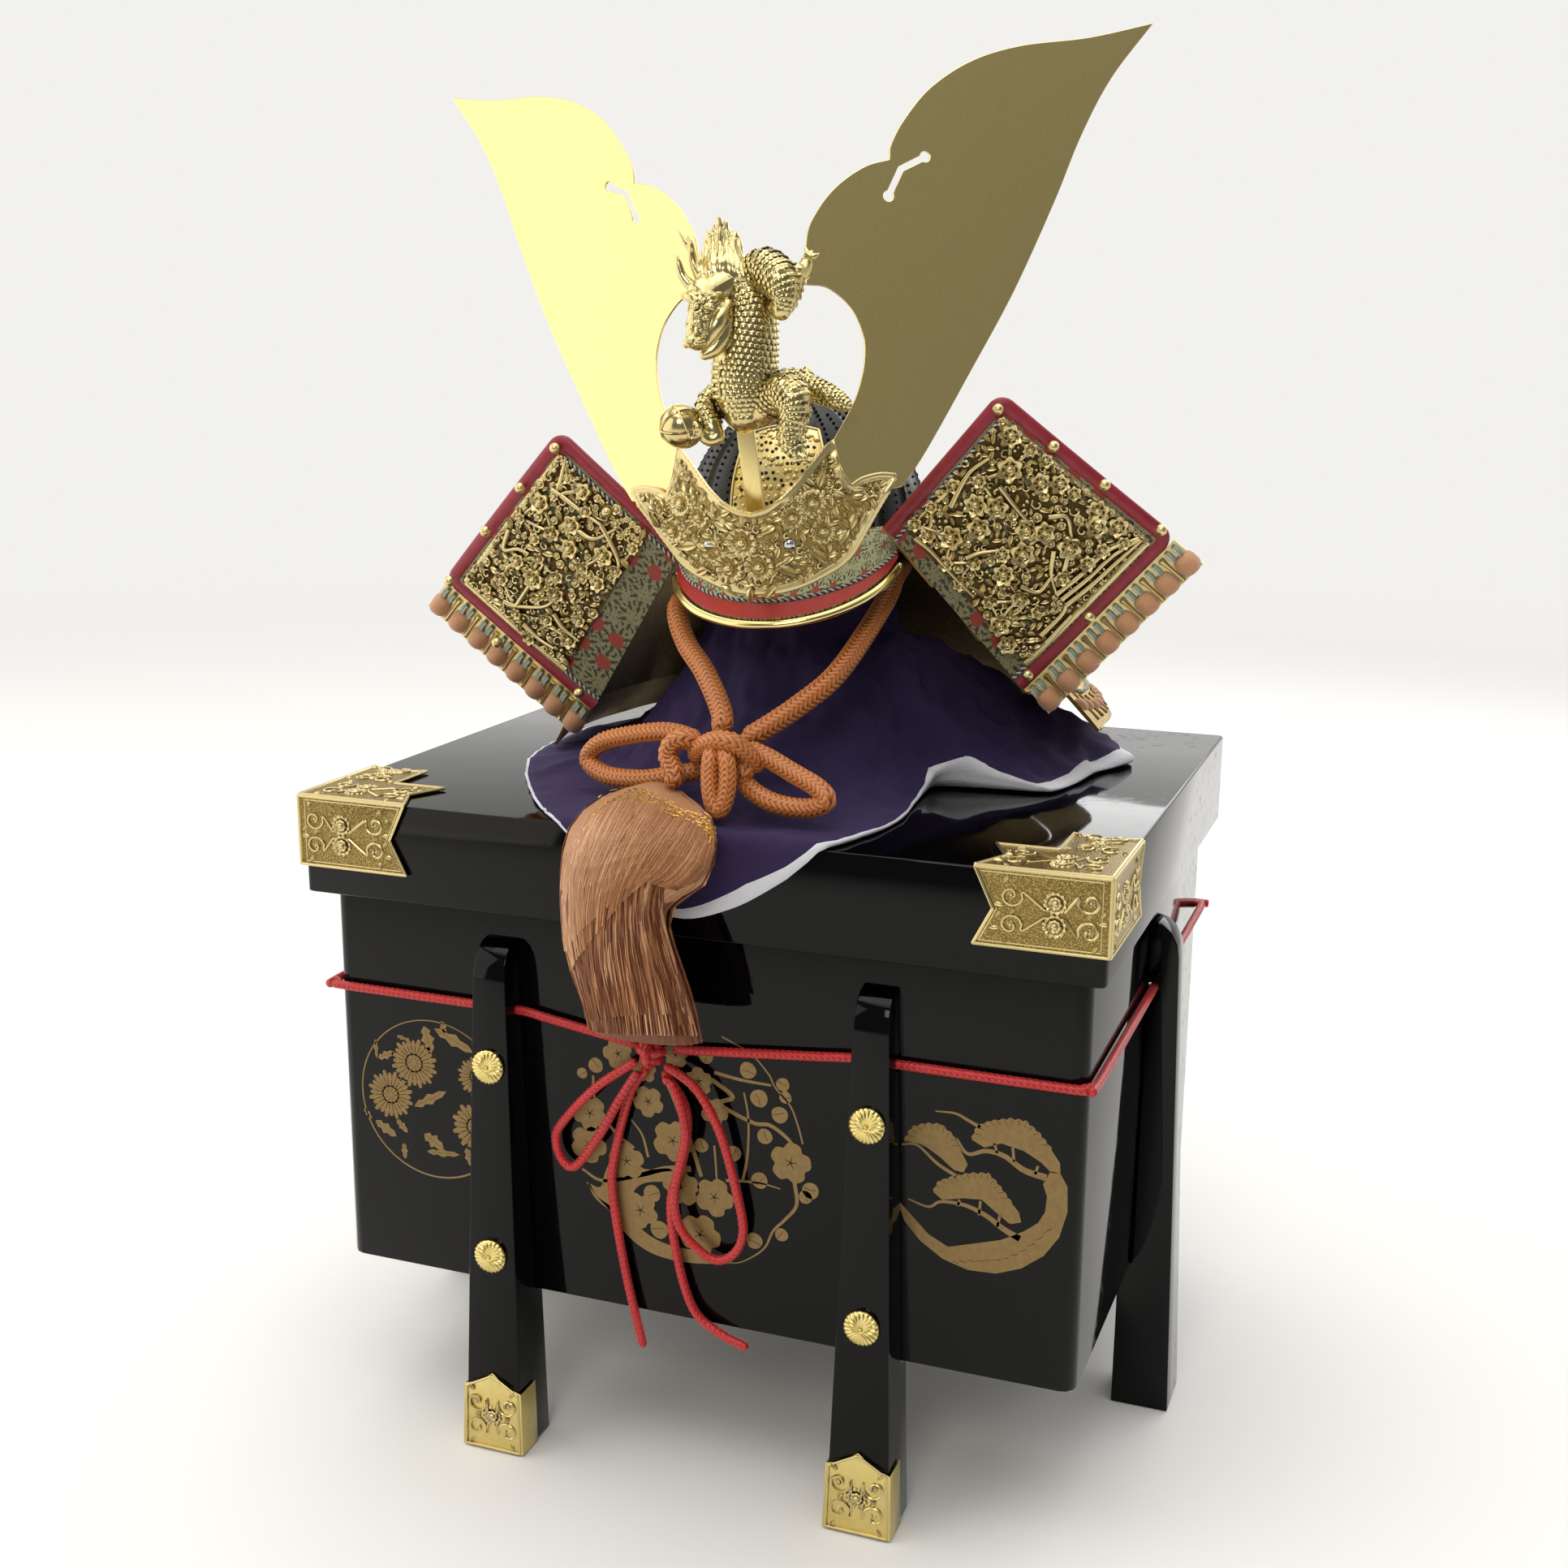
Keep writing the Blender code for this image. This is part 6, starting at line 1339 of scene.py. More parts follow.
def buildDragon():
    d = dragon
    rnd = random.Random(5)
    core = Heap()
    for line in [d["trunk"], d["tail"]] + d["limbs"]:
        crestTube(core, line)
    for x, y, f, r in d["balls"]:
        core.ball(crestSize(r), crestAt(x, y, f), 18, 12)
    for line in d["antlers"]:
        crestTube(core, line, 10, 0.0006)
    fin = [crestAt(*p) for p in d["fin"]]
    core.tube([fin[0].lerp(fin[2], 0.5), fin[0].lerp(fin[2], 0.5).lerp(fin[1], 0.5), fin[1]],
                       [0.0042, 0.0026, 0.0005], 12)
    pearl, pearlSize = crestAt(*d["ball"][:3]), crestSize(d["ball"][3])
    core.ball(pearlSize, pearl, 28, 18)
    # Claws hold the ball and the horn's edge, and grip the plate below.
    for foot, spread, reach, way in d["claws"]:
        side = (-way[1], way[0])
        for k in (-1.2, 0, 1.2):
            tip = (foot[0] + way[0] * reach + side[0] * spread * k, foot[1] + way[1] * reach + side[1]
                   * spread * k)
            line = [(foot[0], foot[1], foot[2], 15), ((foot[0] + tip[0]) / 2, (foot[1] + tip[1]) / 2,
                                                      foot[2] + 2.2, 14), (tip[0], tip[1], foot[2]
                    + 1.0, 5)]
            crestTube(core, line, 8, 0.0006)
    # Mane: locks swept up from the nape, thick at the root and pointed at the tip, in three layers.
    tips, roots = d["maneTips"], d["maneRoots"]
    for share, forward in ((1.0, -2), (0.86, 2), (0.66, 5)):
        for k in range(2 * len(tips) - 1):
            i = k // 2
            j = min(i + 1, len(tips) - 1)
            tx, ty = [tips[i][q] + (tips[j][q] - tips[i][q]) * (k / 2 - i) for q in (0, 1)]
            spot = k / 2 / (len(tips) - 1) * (len(roots) - 1)
            a = min(int(spot), len(roots) - 2)
            rx, ry = [roots[a][q] + (roots[a + 1][q] - roots[a][q]) * (spot - a) for q in (0, 1)]
            tx, ty = rx + (tx - rx) * share + rnd.uniform(-8, 8), ry + (ty
                    - ry) * share + rnd.uniform(-10, 10)
            bow = 16 if k % 2 else -10
            line = [(rx, ry, forward + 2, 16), (rx + (tx - rx) * 0.4 + bow, ry + (ty - ry) * 0.4, forward
                                                + 3, 22), (rx + (tx - rx) * 0.75 + bow * 0.6, ry
                                                           + (ty - ry) * 0.75, forward + 1, 16),
                    (tx, ty, forward, 4)]
            crestTube(core, line, 8, 0.0009)
    raw = newObject("dragon core", core.mesh("dragon core"), [])
    skin = raw.modifiers.new("fuse", "REMESH")
    skin.mode, skin.voxel_size, skin.use_smooth_shade = "VOXEL", d["voxel"], True
    smooth = raw.modifiers.new("soften", "SMOOTH")
    smooth.iterations, smooth.factor = 3, 0.5
    fewer = raw.modifiers.new("thin out", "DECIMATE")
    fewer.ratio = d["keep"]
    whole = bpy.data.meshes.new_from_object(raw.evaluated_get(bpy.context.evaluated_depsgraph_get()))
    bpy.data.objects.remove(raw)
    tree = treeOf(whole)
    heap = Heap()
    verts = np.empty(len(whole.vertices) * 3)
    whole.vertices.foreach_get("co", verts)
    heap.add(verts.reshape(-1, 3), [tuple(p.vertices) for p in whole.polygons])
    laySkin(heap, tree, d["trunk"], d["scaleWide"], d["scalePitch"], (d["belly"], d["bellyHalf"] + 3))
    for line in (d["tail"], d["limbs"][0], d["limbs"][2], d["limbs"][3][:4]):
        laySkin(heap, tree, line, d["scaleWide"] * 0.85, d["scalePitch"] * 0.85)
    layBelly(heap, tree)
    # Curls and knobs of the face, and the raised bands of the pearl.
    for _ in range(d["knobs"]):
        x, y = rnd.uniform(*d["face"]), rnd.uniform(*d["faceRows"])
        if abs(x - np.interp(y, d["faceRows"], d["faceMiddle"])) > d["faceHalf"]:
            continue
        point, normal = castOn(tree, *cropPixel(d, x, y))
        if point is not None:
            size = rnd.uniform(0.0006, 0.0014)
            heap.add(*domeForm(size, 0.8, 9, 3), axesAt(point - normal * size * 0.2, normal))
    for tilt, turn in ((0.3, 0.0), (1.3, 0.6), (1.2, 2.2), (0.9, 4.0)):
        ring = Matrix.Translation(pearl) @ Matrix.Rotation(turn, 4, "Z") @ Matrix.Rotation(tilt, 4, "X")
        line = [ring @ Vector((pearlSize * math.cos(a), pearlSize * math.sin(a), 0))
                for a in np.linspace(0, 2 * math.pi, 33)]
        heap.tube(line, 0.00055, 7)
    piece = heap.piece("dragon_crest_cast", finish["bright"], 50, "cast_gilt", "dragon_crest")
    print("dragon cast", len(piece.data.polygons))


def layBelly(heap, tree):
    # Broad plates down the belly, between two raised cords.
    d = dragon
    edges = ([], [])
    for k, row in enumerate(crestRoute(d["trunk"], 0.0005)):
        centre = Vector(row[:3])
        bar = []
        for q in np.linspace(-1, 1, 7):
            turn = math.radians(d["belly"] + q * d["bellyHalf"])
            out = Vector((-math.sin(turn), -math.cos(turn), 0))
            point, normal = tree.ray_cast(centre + out * row[3] * 2.2, -out)[:2]
            if point is None or (point - centre).length > row[3] * 1.3:
                break
            bar.append(point + normal * 0.0001)
        if len(bar) < 7:
            continue
        edges[0].append(bar[0])
        edges[1].append(bar[-1])
        if k % 6 == 0:
            heap.tube(bar, 0.0010, 8)
    for line in edges:
        if len(line) > 2:
            heap.tube(line, 0.0007, 8)


buildDragon()


# Half of a horn, from the tip round its inner side to the tang and up its outer side: shares of reach and
# rise. A 1 marks a corner; between corners the edge is one smooth curve.
horn = {
    "reach": 0.1413, "rise": 0.1675, "thick": 0.001, "sweep": 27.8, "lean": 13.5,
    "foot": (0.040, -0.078, 0.130), "edge": 0.00018, "slotHalf": 0.0012, "slotEnd": 0.0021, "tang": 0.138,
    "outline": [
        (1.0, 1.0, 1), (0.800, 0.970, 0), (0.597, 0.955, 0), (0.449, 0.924, 0), (0.322, 0.866, 0),
        (0.234, 0.794, 0), (0.188, 0.737, 0), (0.178, 0.703, 1), (0.108, 0.690, 0), (0.028, 0.652, 0),
        (-0.035, 0.601, 0), (-0.079, 0.537, 0), (-0.096, 0.429, 1), (-0.035, 0.418, 0), (0.021, 0.370, 0),
        (0.044, 0.313, 0), (0.044, 0.266, 0), (0.024, 0.205, 0), (-0.018, 0.138, 0), (-0.127, 0.015, 1),
        (-0.138, -0.006, 1), (-0.085, -0.048, 1), (0.014, -0.051, 1), (0.104, -0.042, 1), (0.184, 0.034, 0),
        (0.343, 0.214, 0), (0.492, 0.388, 0), (0.640, 0.588, 0), (0.743, 0.740, 0), (0.853, 0.872, 0)],
    "slot": [(0.280, 0.706), (0.207, 0.681), (0.163, 0.620)],
}


def hornFrame(sign):
    sweep, lean = math.tan(math.radians(horn["sweep"])), math.tan(math.radians(horn["lean"]))
    normal = Vector((sign * sweep, -1, lean)).normalized()
    along = Vector((1, sign * sweep, 0))
    along = (along - normal * along.dot(normal)).normalized()
    x, y, z = horn["foot"]
    return seatMatrix @ Matrix.LocRotScale(Vector((sign * x, y, z)),
                                           Matrix((along, normal.cross(along), normal)).transposed(), None)


def hornOutline():
    rows = horn["outline"]
    corners = [i for i, row in enumerate(rows) if row[2]] + [len(rows)]
    points = []
    for first, last in zip(corners, corners[1:]):
        run = [(rows[i % len(rows)][0] * horn["reach"], rows[i % len(rows)][1] * horn["rise"], 0)
               for i in range(first, last + 1)]
        points += [tuple(p[:2]) for p in smoothRoute(run, 0.0012)[:-1]]
    return points


def slotOutline():
    # A bent slot with a round hole at each end.
    start, bend, end = [Vector((u * horn["reach"], v * horn["rise"])) for u, v in horn["slot"]]
    half, hole = horn["slotHalf"], horn["slotEnd"]
    mouth = math.asin(half / hole)
    first, second = (bend - start).normalized(), (end - bend).normalized()
    middle = (first + second).normalized()
    side = Vector((-middle.y, middle.x)) * half
    outline = []
    for centre, way, corner in ((start, math.atan2(first.y, first.x), bend + side),
                                (end, math.atan2(second.y, second.x) + math.pi, bend - side)):
        for k in range(15):
            turn = way - mouth - (2 * math.pi - 2 * mouth) * k / 14
            outline.append((centre.x + hole * math.cos(turn), centre.y + hole * math.sin(turn)))
        outline.append(tuple(corner))
    return outline


def buildHorns():
    for name, sign in (("left", -1), ("right", 1)):
        curve = bpy.data.curves.new("horn outline", "CURVE")
        curve.dimensions = "2D"
        curve.fill_mode = "BOTH"
        curve.extrude = horn["thick"] / 2 - horn["edge"]
        curve.bevel_depth = horn["edge"]
        curve.bevel_resolution = 2
        curve.offset = -horn["edge"]
        for outline in (hornOutline(), slotOutline()):
            line = curve.splines.new("POLY")
            line.points.add(len(outline) - 1)
            for dot, (x, y) in zip(line.points, outline):
                dot.co = (sign * x, y, 0, 1)
            line.use_cyclic_u = True
        shape = bpy.data.objects.new("horn outline", curve)
        bpy.context.scene.collection.objects.link(shape)
        bpy.context.view_layer.update()
        mesh = bpy.data.meshes.new_from_object(shape.evaluated_get(bpy.context.evaluated_depsgraph_get()))
        bpy.data.objects.remove(shape)
        mesh.transform(hornFrame(sign))
        mesh.materials.clear()
        piece = newObject(f"horn_{name}_plate", mesh, finish["sheet"], 35)
        place(piece, "gilt_brass", f"horn_{name}")
    post = refine("crest_post_bar", "crest_post", finish["sheet"], 0.0003, 2)
    place(post, "gilt_brass", "crest_post")
    print("horns cut")


buildHorns()


# Flowers and leaves of every relief: rise and width as shares of their size, and how deep they are sunk.
relief = {
    "flowerRise": 0.34, "flowerSink": 0.0004, "leafWide": 0.5, "leafRise": 0.22, "leafSink": 0.0003,
    "fillerSizes": (0.0014, 0.0027),
}


def addFlower(heap, point, normal, radius, turn=0.0, petals=5, ruffle=0.16):
    verts, faces = flowerForm(radius, radius * relief["flowerRise"], petals, ruffle)
    matrix = axesAt(point - normal * relief["flowerSink"], normal)
    heap.add(verts, faces, matrix @ Matrix.Rotation(turn, 4, "Z"))


def addLeaf(heap, point, normal, length, turn):
    verts, faces = leafForm(length, length * relief["leafWide"], length * relief["leafRise"])
    matrix = axesAt(point - normal * relief["leafSink"], normal) @ Matrix.Rotation(turn, 4, "Z")
    heap.add(verts, faces, matrix @ Matrix.Translation((-length / 2, 0, 0)))


def fillSpray(heap, surface, taken, count, sizes, rnd, lift=0.0, leafy=0.42, pack=0.80):
    # surface(u, v) gives a point and a normal. Small leaves, buds and blossoms settle where there is room.
    made = 0
    for _ in range(count * 12):
        if made >= count:
            break
        found = surface(rnd.random(), rnd.random())
        if found is None:
            continue
        point, normal = found
        size = rnd.uniform(*sizes)
        if any((point - other).length < pack * (size + reach) for other, reach in taken):
            continue
        kind = rnd.random()
        turn = rnd.uniform(0, 6.28)
        at = point + normal * lift
        if kind < leafy:
            addLeaf(heap, at, normal, size * 2.2, turn)
            taken.append((point, size * 0.8))
        elif kind < leafy + 0.45 * (1 - leafy):
            addFlower(heap, at, normal, size, turn)
            taken.append((point, size))
        elif kind < leafy + 0.75 * (1 - leafy):
            heap.add(*domeForm(size * 0.45, 0.8, 8, 3), axesAt(at + normal * size * 0.1, normal))
            taken.append((point, size * 0.5))
        else:
            # A little scroll.
            line = []
            frameHere = axesAt(at, normal) @ Matrix.Rotation(turn, 4, "Z")
            for i in range(7):
                a = 5.2 * i / 6
                r = size * (1.0 - 0.13 * i)
                line.append(frameHere @ Vector((r * math.cos(a), r * math.sin(a), 0.0002)))
            heap.tube(line, np.linspace(0.00028, 0.00060, len(line)), 5)
            taken.append((point, size))
        made += 1


# Socket plate: outline of its right half as share of the half width, foot and top as shares of its height.
# Its flowers and leaves stand where the photograph shows them: pixel, size in metres and a leaf's turn.
socket = {
    "half": 0.0525, "height": 0.0573, "foot": 0.0857, "thick": 0.0014, "round": 0.015, "bend": 0.008,
    "gap": 0.0003, "rim": 0.0009, "rimRise": 0.0005, "margin": 0.0024, "groundEdge": 0.0004,
    "groundSink": 0.00035, "columns": 181, "rows": 45,
    "outline": [
        (0.0, 0.0, 0.56), (0.14, 0.006, 0.60), (0.30, 0.040, 0.72), (0.43, 0.090, 0.86),
        (0.52, 0.130, 0.96), (0.58, 0.165, 1.0), (0.635, 0.205, 0.80), (0.69, 0.270, 0.70),
        (0.76, 0.370, 0.74), (0.88, 0.540, 0.76), (1.0, 0.700, 0.745)],
    "flowers": [
        (914, 669, 0.0066), (898, 700, 0.0064), (935, 699, 0.0063), (1014, 655, 0.0055), (976, 638, 0.0051),
        (1001, 620, 0.0057), (860, 637, 0.0047), (838, 621, 0.0053), (828, 654, 0.0055)],
    "leaves": [
        (800, 625, 0.006, 2.6), (806, 640, 0.006, 2.2), (812, 612, 0.005, 2.9), (970, 703, 0.0075, -0.5),
        (866, 704, 0.006, 0.4), (947, 652, 0.006, 0.5), (888, 648, 0.006, 2.6), (893, 632, 0.005, 0.3),
        (850, 673, 0.007, 0.2), (1010, 685, 0.007, 2.4), (1040, 660, 0.006, 1.0), (1052, 640, 0.006, 1.3),
        (1030, 630, 0.005, 1.9), (845, 600, 0.0055, 1.9), (1012, 590, 0.006, 1.2), (925, 733, 0.006, 1.6),
        (898, 728, 0.006, 2.4), (950, 727, 0.006, 0.9), (915, 640, 0.005, 1.57), (877, 670, 0.005, 2.9)],
    "screws": [(973, 671, 0.0025), (873, 671, 0.0020)], "fillers": 285,
}


def socketDepth(x, h):
    # Depth of the socket's surface, just in front of the horns.
    s = socket
    footX, footY, footH = horn["foot"]
    sweep, lean = math.radians(horn["sweep"]), math.radians(horn["lean"])
    tang = footX - horn["tang"] * horn["reach"] * math.cos(sweep)
    soft = math.hypot(x, s["round"]) - math.hypot(tang, s["round"]) + tang
    front = (horn["thick"] / 2 + s["gap"] + s["thick"] / 2 + 0.0001) * 1.16
    bend = footH - s["bend"]
    y = footY + math.tan(sweep) * (soft - footX) - front + math.tan(lean) * (max(h, bend) - footH)
    return y + 0.35 * max(bend - h, 0)


def socketEdges(count):
    # The foot and the top of the socket at even steps from side to side.
    rows = socket["outline"]
    low = smoothRoute([(u, a, 0) for u, a, b in rows], 0.01)
    high = []
    for first, last in ((0, 5), (5, 7), (7, 10)):
        high += smoothRoute([(u, b, 0) for u, a, b in rows[first:last + 1]], 0.01)
    spots = np.linspace(-1, 1, count)
    lows = np.interp(np.abs(spots), [p[0] for p in low], [p[1] for p in low])
    highs = np.interp(np.abs(spots), [p[0] for p in high], [p[1] for p in high])
    return spots, lows, highs


def buildSocket():
    s = socket
    spots, lows, highs = socketEdges(s["columns"])
    rows = s["rows"]
    shares = np.linspace(0, 1, rows)
    plan = np.zeros((rows, len(spots), 2))
    for i, (u, low, high) in enumerate(zip(spots, lows, highs)):
        plan[:, i, 0] = u * s["half"]
        plan[:, i, 1] = s["foot"] + s["height"] * (low + (high - low) * shares)
    grid = np.array([[(x, socketDepth(x, h), h) for x, h in row] for row in plan])
    m = np.array(seatMatrix)
    grid = grid @ m[:3, :3].T + m[:3, 3]
    normals = gridNormals(grid, (0, -1, 0.2))
    border = np.concatenate([plan[0], plan[-1], plan[:, 0], plan[:, -1]])
    away = np.min(np.linalg.norm(plan[:, :, None, :] - border[None, None, ::2, :], axis=3), axis=2)
    rim = np.clip(1 - np.abs(away - s["rim"]) / s["rim"], 0, 1)
    ground = np.clip((away - s["margin"]) / s["groundEdge"], 0, 1)
    rise = s["rimRise"] * np.sqrt(rim) - s["groundSink"] * ground
    verts, faces = slab(grid, normals, s["thick"], rise)
    inner = (ground > 0.5).ravel()
    slots = [1 if len(f) == 4 and all(i < len(inner) and inner[i] for i in f) else 0 for f in faces]
    heap = Heap()
    heap.add(verts, faces, slotIndex=slots)
    plate = heap.mesh("socket plate")
    tree = treeOf(plate)
    forms = Heap()
    forms.add(verts, faces, slotIndex=slots)
    taken = []
    rnd = random.Random(5)
    for x, y, radius in s["flowers"]:
        point, normal = castOn(tree, x, y)
        addFlower(forms, point, normal, radius, rnd.uniform(0, 1), petals=13, ruffle=0.09)
        taken.append((point, radius))
    for x, y, radius in s["screws"]:
        point, normal = castOn(tree, x, y)
        forms.add(*ballForm(radius, 0.75, 16, 8), axesAt(point, normal), 2)
        taken.append((point, radius + 0.0008))
    for x, y, length, turn in s["leaves"]:
        point, normal = castOn(tree, x, y)
        if point is not None:
            addLeaf(forms, point, normal, length * 1.25, turn)
            taken.append((point, length * 0.34))

    def surface(u, v):
        i, j = int(u * (len(spots) - 1)), int(v * (rows - 1))
        if ground[j, i] < 0.9:
            return None
        return Vector(grid[j, i] + normals[j, i] * (s["thick"] / 2 - 0.0003)), Vector(normals[j, i])

    fillSpray(forms, surface, taken, s["fillers"], relief["fillerSizes"], rnd, 0.0001, 0.66, 0.62)
    finishes = [finish["cast"], finish["ground"], finish["steel"]]
    forms.piece("horn_socket_casting", finishes, 50, "cast_gilt", "horn_socket")
    print("socket cast")


buildSocket()


# Visor: printed leather over iron, a red border, a twisted cord inside it and a gilt rod along its edge.
visor = {
    "half": 0.047, "reach": 0.082, "drop": 0.0318, "thick": 0.0015, "rim": 0.0035, "end": 80, "gap": 0.0003,
    "rootDrop": 0.003, "rootTurn": 0.66, "bow": 0.044, "slope": 0.46, "band": 0.82, "bandRise": 0.00045,
    "cord": 0.00075, "cordPitch": 0.0026, "cordBack": 0.025,
}


def visorPoint(turn, share):
    # Share 0 is at the bowl, 1 at the outer edge; turn is measured from the front.
    v, b = visor, bowl
    inner = b["radius"] + b["ridgeOut"] + v["gap"] * 2 + v["thick"] / 2
    side, high = turn * v["rootTurn"], b["centre"] - v["rootDrop"]
    root = Vector((inner * math.sin(side), -inner * math.cos(side), high))
    y = -v["reach"] + v["bow"] - v["bow"] * math.cos(turn)
    outer = Vector((v["half"] * math.sin(turn), y, high - v["drop"] + v["slope"] * (y + v["reach"])))
    return root.lerp(outer, share)


def buildVisor():
    v = visor
    turns = np.radians(np.linspace(-v["end"], v["end"], 121))
    shares = np.concatenate([np.linspace(0, v["band"], 18), np.linspace(v["band"] + 0.004, 1, 9)])
    grid = np.zeros((len(shares), len(turns), 3))
    flat = np.zeros((len(shares), len(turns), 2))
    edges = []
    for i, turn in enumerate(turns):
        span = visorPoint(turn, 1) - visorPoint(turn, 0)
        along = (visorPoint(turn + 0.02, 1) - visorPoint(turn - 0.02, 1)).normalized()
        edge = 1 - (v["rim"] / 2 + v["gap"] * 2) / span.cross(along).length
        edges.append(edge)
        for j, share in enumerate(shares):
            grid[j, i] = seatMatrix @ visorPoint(turn, min(share, 1) * edge)
            reach = 0.055 + 0.035 * share
            flat[j, i] = (reach * turn * 0.9, share * 0.036)
    normals = gridNormals(grid, (0, -0.5, 1))
    isBand = (shares > v["band"])[:, None] * np.ones(len(turns))
    verts, faces = slab(grid, normals, v["thick"], v["bandRise"] * isBand)
    inBand = isBand.ravel() > 0
    slots = [1 if all(i < len(inBand) and inBand[i] for i in f) else 0 for f in faces]
    heap = Heap()
    heap.add(verts, faces, slotIndex=slots, uv=np.concatenate([flat.reshape(-1, 2)] * 2))
    heap.piece("visor_leather", [finish["leather"], finish["redBorder"]], 40, "printed_leather", "visor")
    heap = Heap()
    line = []
    for i, (turn, edge) in enumerate(zip(turns, edges)):
        at = seatMatrix @ visorPoint(turn, (v["band"] - v["cordBack"]) * edge)
        line.append(at + Vector(normals[10, i]) * (v["thick"] / 2 + v["cord"] * 0.7))
    twist(heap, line, v["cord"], v["cordPitch"])
    heap.piece("visor_stitching", [finish["whiteSilk"], finish["navySilk"]], 180, "printed_leather")
    rim = [seatMatrix @ visorPoint(math.radians(a), 1.0) for a in np.linspace(-v["end"], v["end"], 81)]
    heap = Heap()
    heap.tube(rim, v["rim"] / 2, 16)
    for tip in (rim[0], rim[-1]):
        heap.ball(v["rim"] / 2 * 0.98, tip, 12, 8)
    heap.piece("visor_rim_rod", finish["wire"], 180, "gilt_brass", "visor_rim")
    print("visor made")


buildVisor()


# Turned-back panels: corners as shares of reach, depth and height: top, outer, inner, bottom.
turnback = {
    "reach": 0.1556, "deep": 0.0475, "tall": 0.1545, "thick": 0.0022, "crown": 0.004, "shift": 0.002,
    "corners": [(0.578, -1.0, 1.0), (1.0, -0.611, 0.608), (0.265, -0.968, 0.676), (0.594, -0.632, 0.223)],
    "band": 0.0031, "bandRise": 0.0018, "cord": 0.00075, "cordPitch": 0.0026, "cordIn": 0.0072,
    "sideA": 0.0913, "sideB": 0.0698, "bead": 0.0023, "puffs": 8, "stripThick": 0.0012, "pixel": 0.00036,
    "fillers": 560, "linkReach": 0.016, "puffFrom": 0.075, "puffSpan": 0.865, "puffA": 1.116,
    "braidA": 1.018, "puffSize": (0.0094, 0.0104, 0.0062), "leatherA": (0.03, 0.97, 61),
    "leatherB": (0.035, 1.0, 49), "castA": (0.088, 0.912, 41), "castFrom": 0.115, "castRows": 33,
    "castLift": 0.0012, "groundLift": 0.0003, "groundThick": 0.0006, "pierceSize": 0.0045,
    "blossomGrow": 1.12, "blossomLift": (0.0008, 0.0020), "blossomTilt": 0.2, "stripA": (1.0, 1.165, 13),
    "stripB": (0.03, 0.985, 61), "stripLip": 0.0006,
    "barWidths": [0.0014, 0.0009, 0.0007, 0.0007, 0.0007, 0.0008, 0.0010],
}

# Sprays of the cast plates: pixel in the photograph's crop and radius there. A crop starts at its corner and
# is enlarged by its scale.
sprays = {
    "left": {
        "corner": (500, 480), "scale": 3.2675, "sign": -1, "foot": 0.78, "pierce": 0.10,
        "flowers": [
            (558, 340, 22), (652, 360, 20), (545, 455, 40), (715, 410, 34), (420, 512, 22), (466, 517, 22),
            (670, 545, 38), (592, 580, 32), (847, 540, 20), (660, 640, 38), (795, 670, 42), (450, 690, 32),
            (258, 705, 28), (305, 685, 28), (520, 760, 42), (610, 755, 28), (390, 760, 30), (775, 780, 32),
            (608, 825, 34), (915, 640, 25), (570, 925, 28), (660, 1005, 36), (670, 1080, 30),
            (500, 1000, 28), (395, 955, 28), (330, 800, 24), (450, 900, 24), (700, 930, 26), (730, 490, 24),
            (520, 600, 26), (600, 430, 20), (710, 720, 28), (540, 680, 24), (850, 730, 24), (640, 300, 18)],
        "beads": [(605, 235), (180, 770), (703, 1218), (465, 395), (325, 570), (812, 492), (372, 1015)],
        "branches": [
            [(630, 425), (680, 465), (740, 510), (790, 545)], [(180, 770), (250, 860), (350, 975)],
            [(400, 850), (450, 868), (560, 872), (620, 830)], [(450, 868), (500, 790), (560, 700)],
            [(420, 560), (400, 640), (455, 640), (500, 660)], [(690, 560), (760, 600), (850, 560)],
            [(560, 350), (590, 400), (630, 425)], [(600, 900), (640, 960), (700, 1010), (760, 990)],
            [(790, 545), (830, 620), (860, 700), (840, 780)], [(480, 940), (540, 1000), (600, 1040)]],
    },
    "right": {
        "corner": (1080, 460), "scale": 3.166, "sign": 1, "foot": 0.91, "pierce": 0.28,
        "flowers": [
            (525, 245, 40), (520, 375, 45), (640, 430, 38), (715, 430, 35), (385, 515, 42), (468, 525, 42),
            (400, 605, 42), (585, 610, 40), (655, 620, 38), (862, 540, 40), (857, 598, 40), (940, 598, 36),
            (750, 680, 42), (290, 640, 44), (215, 520, 22), (570, 705, 45), (490, 705, 30), (495, 785, 40),
            (560, 880, 35), (480, 980, 40), (510, 1055, 35), (330, 820, 30), (340, 350, 26), (300, 440, 28),
            (420, 260, 26), (480, 190, 24), (600, 300, 26), (660, 340, 26), (770, 470, 26), (200, 630, 30),
            (150, 590, 26), (270, 740, 28), (380, 740, 28), (820, 740, 30), (880, 690, 28), (720, 800, 28),
            (630, 930, 28), (440, 890, 26), (400, 420, 26), (960, 660, 24)],
        "beads": [(475, 140), (690, 285), (890, 435), (1110, 610), (830, 950), (590, 1175)],
        "branches": [
            [(290, 520), (330, 440), (370, 380), (440, 330)], [(480, 440), (540, 520), (600, 590)],
            [(670, 560), (740, 560), (760, 640)], [(690, 690), (680, 780), (700, 860)],
            [(700, 860), (800, 780), (900, 690), (1020, 640)],
            [(740, 900), (840, 820), (940, 730), (1030, 650)],
            [(720, 880), (820, 800), (920, 710), (1025, 645)],
            [(560, 1130), (640, 1020), (720, 940), (740, 900)], [(585, 1140), (660, 1050), (760, 940)],
            [(350, 720), (400, 700), (470, 690)], [(560, 830), (630, 850), (690, 780)],
            [(150, 640), (220, 700), (300, 790), (380, 870)]],
    },
}


